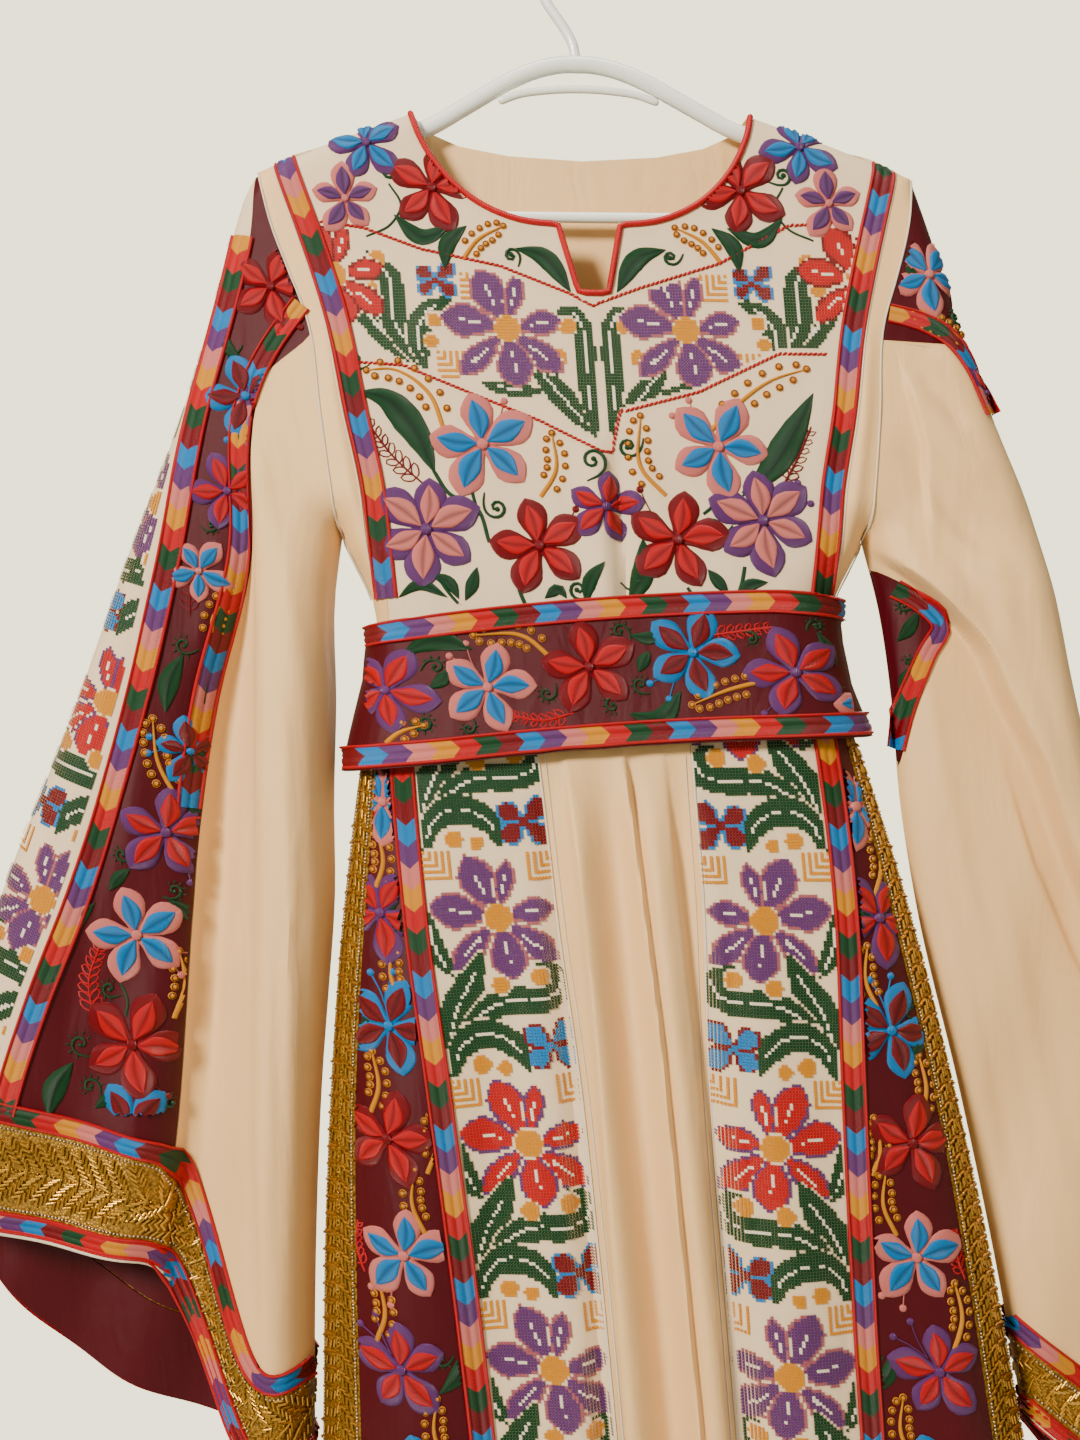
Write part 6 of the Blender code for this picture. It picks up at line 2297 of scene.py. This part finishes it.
class Chart:
    """Cross-stitch squares along a path, each given a colour shape by shape."""

    def __init__(self, path, half, start=0.0, mirror=1):
        self.cell = settings().cell * 1000
        self.path = even(path, self.cell)
        self.side, self.along = path_sides(self.path)
        if self.side[0, 0] < 0:
            self.side = -self.side
        count = int(half / self.cell)
        across = np.arange(-count, count + 1) * self.cell
        self.u, self.v = np.meshgrid(across, self.along + start)
        self.colour = np.full(self.u.shape, -1)
        self.mirror = mirror

    def paint(self, test, tint):
        self.colour[test] = list(THREAD).index(tint) if tint else -1

    def disc(self, place, radius, tint="gold"):
        gap = np.hypot(self.u - place[0], self.v - place[1])
        self.paint(gap < radius + 1.2, None)
        self.paint(gap < radius, tint)

    def blade(self, points, width, fill="green", edge=None, vein="white", shape=BLADE, clear=1.0):
        """A leaf or petal along a line, with a dotted vein, and its own outline if one is named."""
        line = smooth_line(points, 12)
        low, high = line.min(axis=0) - width, line.max(axis=0) + width
        rows = np.flatnonzero((self.v[:, 0] > low[1]) & (self.v[:, 0] < high[1]))
        cols = np.flatnonzero((self.u[0] > low[0]) & (self.u[0] < high[0]))
        if not len(rows) or not len(cols):
            return
        area = (slice(rows[0], rows[-1] + 1), slice(cols[0], cols[-1] + 1))
        p = np.stack([self.u[area], self.v[area]], axis=-1)[..., None, :]
        a, step = line[:-1], np.diff(line, axis=0)
        share = np.clip(((p - a) * step).sum(axis=-1) / (step * step).sum(axis=1), 0, 1)
        gaps = np.linalg.norm(p - a - share[..., None] * step, axis=-1)
        index = gaps.argmin(axis=-1)
        gap = gaps.min(axis=-1)
        t = (index + np.take_along_axis(share, index[..., None], -1)[..., 0]) / len(step)
        table = np.array(shape)
        half = np.interp(t, table[:, 0], table[:, 1]) * width / 2
        part = self.colour[area]
        names = list(THREAD)
        part[gap < half + clear * self.cell * 0.6] = -1
        inside = gap < half
        part[inside] = names.index(fill)
        if edge:
            part[inside & (gap > half - self.cell * 0.95)] = names.index(edge)
        if vein:
            low, high = (0.3, 0.68) if edge else (0.06, 0.84)
            vein_cells = (gap < self.cell * 0.4) & (t > low) & (t < high)
            part[inside & vein_cells & (half > self.cell * 2.1)] = names.index(vein)
        self.colour[area] = part

    def block(self, place, hand, wide=20.0):
        """Nested corners of gold, like chevrons."""
        du = (self.u - place[0]) * hand + wide / 2
        dv = self.v - place[1] + wide / 2
        inside = (du > 0) & (du < wide) & (dv > 0) & (dv < wide)
        ring = (np.maximum(du, dv) / self.cell).astype(int) % 2 == 0
        self.paint(inside & ring, "gold")

    def butterfly(self, place, fill, edge, size=22.0):
        for angle, long in ((-40, 1.0), (-145, 0.85), (38, 1.0), (138, 0.85)):
            line = turned([(1, 0), (long * size * 0.5, 0), (long * size, 0)], math.radians(angle), 1, place)
            self.blade(line, size * 0.72, fill, edge, None, PETAL, 0.0)
        self.paint(np.hypot(self.u - place[0], self.v - place[1]) < 2.6, fill)

    def flower(self, place, reach, fill, edge):
        for angle, long, wide in PETALS:
            long = reach * long
            line = turned([(6, 0), (long * 0.55, 0), (long, 0)], math.radians(angle), 1, place)
            self.blade(line, reach * wide, fill, edge, "white", PETAL, 0.5)
        self.disc(place, reach * 0.22)

    def repeat(self, place, fill):
        """One repeat of the strips: leaves and a butterfly above a flower between two blocks."""
        edge = "rose" if fill == "purple" else "purple"
        wings = ("crimson", "cyan") if fill == "purple" else ("cyan", "crimson")

        def at(points):
            return [(place[0] + a, place[1] + b) for a, b in points]

        self.blade(at([(-42, -46), (-40, -68), (-33, -87), (-22, -103), (-14, -119)]), 21)
        self.blade(at([(-36, -64), (-18, -82), (0, -89), (16, -88), (31, -92), (35, -101), (21, -111)]), 18)
        self.blade(at([(-40, -47), (-36, -60), (-22, -69), (-7, -66), (3, -56), (6, -45)]), 19)
        self.blade(at([(-44, -3), (-44, 10), (-39, 24), (-34, 34)]), 13)
        for spot in ((-23, -50, 5.8), (-9, -47, 4.6), (-4, -99, 5.8), (21, -103, 5.8)):
            self.disc(at([spot[:2]])[0], spot[2])
        self.butterfly(at([(22, -60)])[0], *wings)
        self.block(at([(-35, -32)])[0], 1)
        self.block(at([(29, -31)])[0], -1)
        self.flower(place, 40.0, fill, edge)

    def sewn(self, name, surface, keep, rise=0.1):
        rows, cols = np.nonzero(self.colour >= 0)
        u = self.u[rows, cols] * self.mirror
        x = self.path[rows, 0] + self.side[rows, 0] * u
        drop = self.path[rows, 1] + self.side[rows, 1] * u
        shown = keep(x, drop)
        x, drop, rows, cols = x[shown], drop[shown], rows[shown], cols[shown]
        palette = np.array(list(THREAD.values()))
        return scatter(
            name, surface, x, drop, self.side[rows], palette[self.colour[rows, cols]],
            cross_shape(self.cell), "cross_thread", high=rise,
        )




def bib_cross():
    """The band of cross-stitch between the two red lines of the bib."""
    c = Chart([(0, 196), (0, 360)], 178, 196.0)
    for side in (-1, 1):

        def at(points):
            return [(a * side, b) for a, b in points]

        c.blade(at([(-112, 300), (-134, 282), (-160, 254)]), 17)
        c.blade(at([(-114, 300), (-132, 268), (-133, 240), (-146, 224)]), 18)
        c.blade(at([(-113, 300), (-116, 276), (-106, 262), (-94, 256)]), 16)
        c.blade(at([(-40, 317), (-58, 315), (-76, 312)]), 10)
        c.blade(at([(-8, 342), (-25, 321), (-45, 294)]), 16, clear=0.5)
        c.blade(at([(-6, 344), (-9, 306), (-8, 284), (-11, 268), (-18, 261), (-27, 269)]), 13, clear=0.5)
        for spot in (
            (-140, 229, 5.5), (-146, 247, 4.6), (-105, 270, 5.0),
            (-108, 284, 4.5), (-19, 273, 5.8), (-25, 294, 5.0),
        ):
            c.disc(at([spot[:2]])[0], spot[2])
        c.butterfly((side * -103, 243), "crimson", "cyan", 17)
        c.block((side * -78, 247), side, 20)
        c.block((side * -96, 300), side, 20)
        c.flower((side * -170 + 2, 240), 36, "red", "crimson")
        c.flower((side * -58, 275), 40, "purple", "rose")
    upper, lower = np.array(UPPER_RED), np.array(LOWER_RED)
    low, high = braid_line(-1, BRAID_WIDTH / 2), braid_line(1, -BRAID_WIDTH / 2)

    def keep(x, drop):
        shown = (drop > np.interp(x, *upper.T) + 3.5) & (drop < np.interp(x, *lower.T) - 3.5)
        return shown & (x > low(drop) + 1) & (x < high(drop) - 1)

    c.sewn("bib_cross_stitch", "front", keep, BIB_RISE)


def skirt_cross():
    """The strips down the front of the skirt."""
    for side, label in ((-1, "left"), (1, "right")):
        low = skirt_line(side, "centre", 1.0)
        high = skirt_line(side, "strip", -BRAID_WIDTH / 2 - 0.5)
        path = down_line(mixed(low, high, 0.5), 540.0, HEM - 4)
        c = Chart(path, 54, 540.0, -side)
        for i in range(8):
            c.repeat((3.5, 515.0 + 141.0 * i), ("red", "purple")[i % 2])
        keep = inside_of(low, high, 541, HEM - 4)
        c.sewn(f"skirt_{label}_cross_stitch", "front", keep, SKIRT_RISE)


def sleeve_cross():
    """The strip of the left sleeve's front, and the strips of both backs."""
    end = cuff(0.9, -1, -1)[0] - 6
    path = down_line(left_line(0.86), 212.0, end + 30)
    c = Chart(path, 54, 0.0, -1)
    for i in range(5):
        c.repeat((0.0, 52.0 + 137.0 * i), ("red", "purple")[i % 2])
    keep = inside_of(shifted(left_line(0.8), -7.0), shifted(left_line(1.0), 0.8), 206, end)
    c.sewn("sleeve_left_cross_stitch", "left", beyond_shoulder(keep), SLEEVE_RISE)
    for side, label, a, b in ((-1, "left", 7, 10), (1, "right", 5, 8)):
        lines = back_line_of(side)
        shares = BACK_SHARES[side]
        low = shifted(lines(shares[a] + 0.004), side * 6.0)
        high = shifted(lines(shares[b]), -side * (6.0 if shares[b] < 1 else 0.8))
        end = cuff(0.5 * (shares[a] + shares[b]), side, 1)[0] - 6
        path = down_line(mixed(low, high, 0.5), 250.0, end)
        c = Chart(path, 48, 0.0, side)
        for i in range(6):
            c.repeat((0.0, 60.0 + 137.0 * i), ("purple", "red")[i % 2])
        keep = beyond_shoulder(inside_of(low, high, 250, end))
        c.sewn(f"sleeve_{label}_back_cross_stitch", f"{label}_back", keep)


def fans(path, wide, gap=11.0):
    """Places and aims of bugle beads in leaf shapes on both sides of a path."""
    path = even(path, gap)
    side, along = path_sides(path)
    step = np.gradient(path, axis=0)
    step /= np.linalg.norm(step, axis=1, keepdims=True)
    places, aims = [], []
    for i, point in enumerate(path):
        for hand in (-1, 1):
            rib = step[i] * 0.62 + side[i] * hand * 0.78
            cross = np.array([-rib[1], rib[0]])
            reach = wide(along[i]) * 1.2
            count = max(2, int(reach / 3.4))
            for k in range(count):
                open_ = 0.5 + 2.3 * math.sin(math.pi * (k + 0.7) / (count + 0.4))
                for turn in (-1, 1):
                    places.append(point + rib * (2.6 + 3.4 * k) + cross * turn * open_)
                    aims.append(rib * 0.82 + cross * turn * 0.57)
    return np.array(places), np.array(aims)


def bead_band(name, surface, path, wide, keep, edges=()):
    """Bugle beads in two rows of leaves, with pale seed beads along the edges and between."""
    spots, aims = fans(path, wide)
    shown = keep(spots[:, 0], spots[:, 1])
    spots, aims = spots[shown], aims[shown]
    shade = 0.75 + 0.5 * np.abs(np.sin(np.arange(len(spots)) * 12.9898))
    tint = np.array(THREAD["bead"])[None, :] * shade[:, None]
    scatter(
        f"{name}_bugles", surface, spots[:, 0], spots[:, 1], aims, tint, bugle_shape(), "glass_bead",
    )
    rows = [even(edge, 2.3) for edge in edges]
    seam = even(path, 2.6)
    spots = np.concatenate(rows + [seam])
    tint = np.concatenate(
        [
            np.tile(THREAD["pale_bead"], (sum(len(r) for r in rows), 1)),
            np.tile(THREAD["bead"], (len(seam), 1)),
        ]
    )
    shown = keep(spots[:, 0], spots[:, 1])
    aims = np.tile([1.0, 0.0], (int(shown.sum()), 1))
    scatter(
        f"{name}_seeds", surface, spots[shown, 0], spots[shown, 1], aims, tint[shown], seed_shape(),
        "glass_bead",
    )


def beads():
    """The beaded bands of the skirt's sides and of the cuffs."""
    for side, label in ((-1, "left"), (1, "right")):
        low, high = skirt_line(side, "maroon", 1.2), skirt_line(side, "side", -2.4)
        path = down_line(mixed(low, high, 0.5), 546.0, HEM - 4)
        lines = (shifted(low, side * 0.8), shifted(high, -side * 1.5))
        edges = [down_line(line, 546.0, HEM - 2) for line in lines]
        spread = path_sides(path)[1][-1]

        def wide(along, spread=spread):
            return 6.0 + 19.0 * along / spread

        bead_band(f"skirt_{label}", "front", path, wide, inside_of(low, high, 545, HEM - 2), edges)
    shares = np.linspace(0.0, 1.0, 60)
    for side, label in ((-1, "left"), (1, "right")):
        for facing_, lines, surface in (
            (-1, left_line if side < 0 else right_line, label), (1, back_line_of(side), f"{label}_back"),
        ):
            path = cuff_path(side, facing_, lines, shares, 0.45)
            inner = [cuff_path(side, facing_, lines, shares, down) for down in (-0.02, 0.93)]
            edges = [shift_path(inner[0], -9.2 * side), shift_path(inner[1], 9.2 * side)]

            def keep(x, drop, inner=inner, side=side):
                near = np.linalg.norm(np.stack([x, drop], 1)[:, None] - np.concatenate(inner)[None], axis=2)
                far = np.abs(x)
                edge = far > np.abs(under_x(drop, side)) + 1
                edge &= far < np.abs(outer_x(drop, side)) - 1
                return edge & (near.min(axis=1) > 8.6)

            bead_band(f"sleeve_{surface}", surface, path, lambda along: 22.0, keep, edges)


def cross_stitch():
    bib_cross()
    skirt_cross()
    sleeve_cross()


def area_light(name, place, target, size, energy, colour):
    data = bpy.data.lights.new(name, "AREA")
    data.shape = "DISK"
    data.size = size
    data.energy = energy
    data.color = colour
    made = bpy.data.objects.new(name, data)
    bpy.context.scene.collection.objects.link(made)
    made.location = place
    aim = Vector(target) - Vector(place)
    made.rotation_euler = aim.to_track_quat("-Z", "Y").to_euler()
    return made


def camera():
    chosen = settings()
    data = bpy.data.cameras.new("camera")
    data.sensor_fit = "VERTICAL"
    data.sensor_height = 36.0
    data.lens = chosen.lens
    data.clip_start = 0.01
    made = bpy.data.objects.new("camera", data)
    bpy.context.scene.collection.objects.link(made)
    lean = chosen.roll
    right = Vector((math.cos(lean), 0.0, -math.sin(lean)))
    up = Vector((math.sin(lean), 0.0, math.cos(lean)))
    turned = Matrix((right, up, right.cross(up))).transposed().to_4x4()
    made.matrix_world = Matrix.Translation(Vector(chosen.camera_place)) @ turned
    bpy.context.scene.camera = made


def stage():
    rows = [(x * FLOOR_HALF, y * FLOOR_HALF) for x, y in ((-1, -1), (1, -1), (1, 1), (-1, 1))]
    points = np.array([(x, y, settings().floor_height) for x, y in rows])
    floor = mesh_object("floor", points, np.array([[0, 1, 2, 3]]), material("pale_floor"))
    area_light("key", (-1.5, -2.1, 0.7), (-0.05, 0, -0.6), 0.6, 150.0, (1.0, 0.93, 0.83))
    area_light("fill", (1.9, -1.7, -0.2), (0.05, 0, -0.7), 1.6, 12.0, (1.0, 0.97, 0.93))
    area_light("top", (0.2, -0.2, 1.6), (0, 0, -0.4), 1.4, 30.0, (1.0, 0.97, 0.92))
    area_light("rear", (0.6, 2.2, 0.5), (0, 0, -0.6), 1.5, 40.0, (1.0, 0.97, 0.93))
    world_data = bpy.data.worlds.new("studio")
    world_data.use_nodes = True
    tree = world_data.node_tree
    ground = tree.nodes["Background"]
    ground.inputs["Color"].default_value = (*rgb(236, 230, 194), 1)
    seen = node(tree, "ShaderNodeLightPath").outputs["Is Camera Ray"]
    strength = maths(tree, "ADD", 0.38, maths(tree, "MULTIPLY", seen, 2.75))
    tree.links.new(strength, ground.inputs["Strength"])
    bpy.context.scene.world = world_data


class ThobeSettings(bpy.types.PropertyGroup):
    columns: bpy.props.IntProperty(
        name="Columns", description="Finer columns between two of a panel's own", default=4, min=1, max=8
    )
    rows: bpy.props.IntProperty(
        name="Rows", description="Finer rows between two of a panel's own", default=5, min=1, max=12
    )
    segment: bpy.props.FloatProperty(
        name="Braid segment", description="Length of one colour of a braid", default=0.0136, min=0.005,
        max=0.05, unit="LENGTH",
    )
    cell: bpy.props.FloatProperty(
        name="Cross-stitch", description="Width of one cross-stitch", default=0.002, min=0.001, max=0.006,
        unit="LENGTH",
    )
    tube_sides: bpy.props.IntProperty(
        name="Tube sides", description="Sides of the hanger's tubes", default=28, min=8, max=64
    )
    lens: bpy.props.FloatProperty(
        name="Lens", description="Focal length on a 36 mm high sensor", default=37.5, min=15, max=120
    )
    roll: bpy.props.FloatProperty(
        name="Roll", description="How far the camera is turned about its view", default=math.radians(4.0),
        subtype="ANGLE",
    )
    camera_place: bpy.props.FloatVectorProperty(
        name="Camera place", description="Where the camera stands", default=(-0.0545, -1.0, -0.526),
        subtype="XYZ", unit="LENGTH",
    )
    floor_height: bpy.props.FloatProperty(
        name="Floor height", description="Height of the floor under the dress", default=-1.64, unit="LENGTH"
    )


class ThobePiece:
    """What every piece's operator does: it runs its steps in order."""

    bl_options = {"REGISTER", "UNDO"}

    def execute(self, context):
        for step in self.steps:
            step()
        return {"FINISHED"}


class THOBE_OT_camera(ThobePiece, bpy.types.Operator):
    """Places the camera at the photograph's view"""

    bl_idname = "thobe.camera"
    bl_label = "Camera"
    steps = (camera,)


class THOBE_OT_hanger(ThobePiece, bpy.types.Operator):
    """Builds the clothes hanger"""

    bl_idname = "thobe.hanger"
    bl_label = "Hanger"
    steps = (hanger,)


class THOBE_OT_bodice(ThobePiece, bpy.types.Operator):
    """Lays the cloth of the bodice"""

    bl_idname = "thobe.bodice"
    bl_label = "Bodice"
    steps = (bodice,)


class THOBE_OT_belt(ThobePiece, bpy.types.Operator):
    """Lays the cloth of the belt"""

    bl_idname = "thobe.belt"
    bl_label = "Belt"
    steps = (belt,)


class THOBE_OT_skirt(ThobePiece, bpy.types.Operator):
    """Lays the cloth of the skirt"""

    bl_idname = "thobe.skirt"
    bl_label = "Skirt"
    steps = (skirt,)


class THOBE_OT_sleeves(ThobePiece, bpy.types.Operator):
    """Lays the cloth of both sleeves"""

    bl_idname = "thobe.sleeves"
    bl_label = "Sleeves"
    steps = (sleeves,)


class THOBE_OT_braids(ThobePiece, bpy.types.Operator):
    """Sews the braids and the piping on"""

    bl_idname = "thobe.braids"
    bl_label = "Braids"
    steps = (braids, piping, seams)


class THOBE_OT_embroidery(ThobePiece, bpy.types.Operator):
    """Sews the satin stitch flowers, leaves and stems on"""

    bl_idname = "thobe.embroidery"
    bl_label = "Embroidery"
    steps = (embroidery,)


class THOBE_OT_cross_stitch(ThobePiece, bpy.types.Operator):
    """Sews the cross-stitch of the bib, the skirt's strips and the sleeves"""

    bl_idname = "thobe.cross_stitch"
    bl_label = "Cross-stitch"
    steps = (cross_stitch,)


class THOBE_OT_beads(ThobePiece, bpy.types.Operator):
    """Sews the beads on the gold bands"""

    bl_idname = "thobe.beads"
    bl_label = "Beads"
    steps = (beads,)


class THOBE_OT_stage(ThobePiece, bpy.types.Operator):
    """Sets the floor and the lights"""

    bl_idname = "thobe.stage"
    bl_label = "Stage"
    steps = (stage,)


PIECES = (
    THOBE_OT_camera, THOBE_OT_hanger, THOBE_OT_bodice, THOBE_OT_belt, THOBE_OT_skirt,
    THOBE_OT_sleeves, THOBE_OT_braids, THOBE_OT_embroidery, THOBE_OT_cross_stitch,
    THOBE_OT_beads, THOBE_OT_stage,
)


class THOBE_PT_panel(bpy.types.Panel):
    """Sizes and pieces of the dress"""

    bl_idname = "THOBE_PT_panel"
    bl_label = "Thobe dress"
    bl_space_type = "VIEW_3D"
    bl_region_type = "UI"
    bl_category = "Thobe"

    def draw(self, context):
        chosen = context.scene.thobe
        for name in chosen.__annotations__:
            self.layout.prop(chosen, name)
        for piece in PIECES:
            self.layout.operator(piece.bl_idname)


CLASSES = (ThobeSettings,) + PIECES + (THOBE_PT_panel,)


def register():
    for each in CLASSES:
        bpy.utils.register_class(each)
    bpy.types.Scene.thobe = bpy.props.PointerProperty(type=ThobeSettings)


def unregister():
    del bpy.types.Scene.thobe
    for each in reversed(CLASSES):
        bpy.utils.unregister_class(each)


def main():
    register()
    for piece in PIECES:
        group, name = piece.bl_idname.split(".")
        getattr(getattr(bpy.ops, group), name)()


if __name__ == "__main__":
    main()
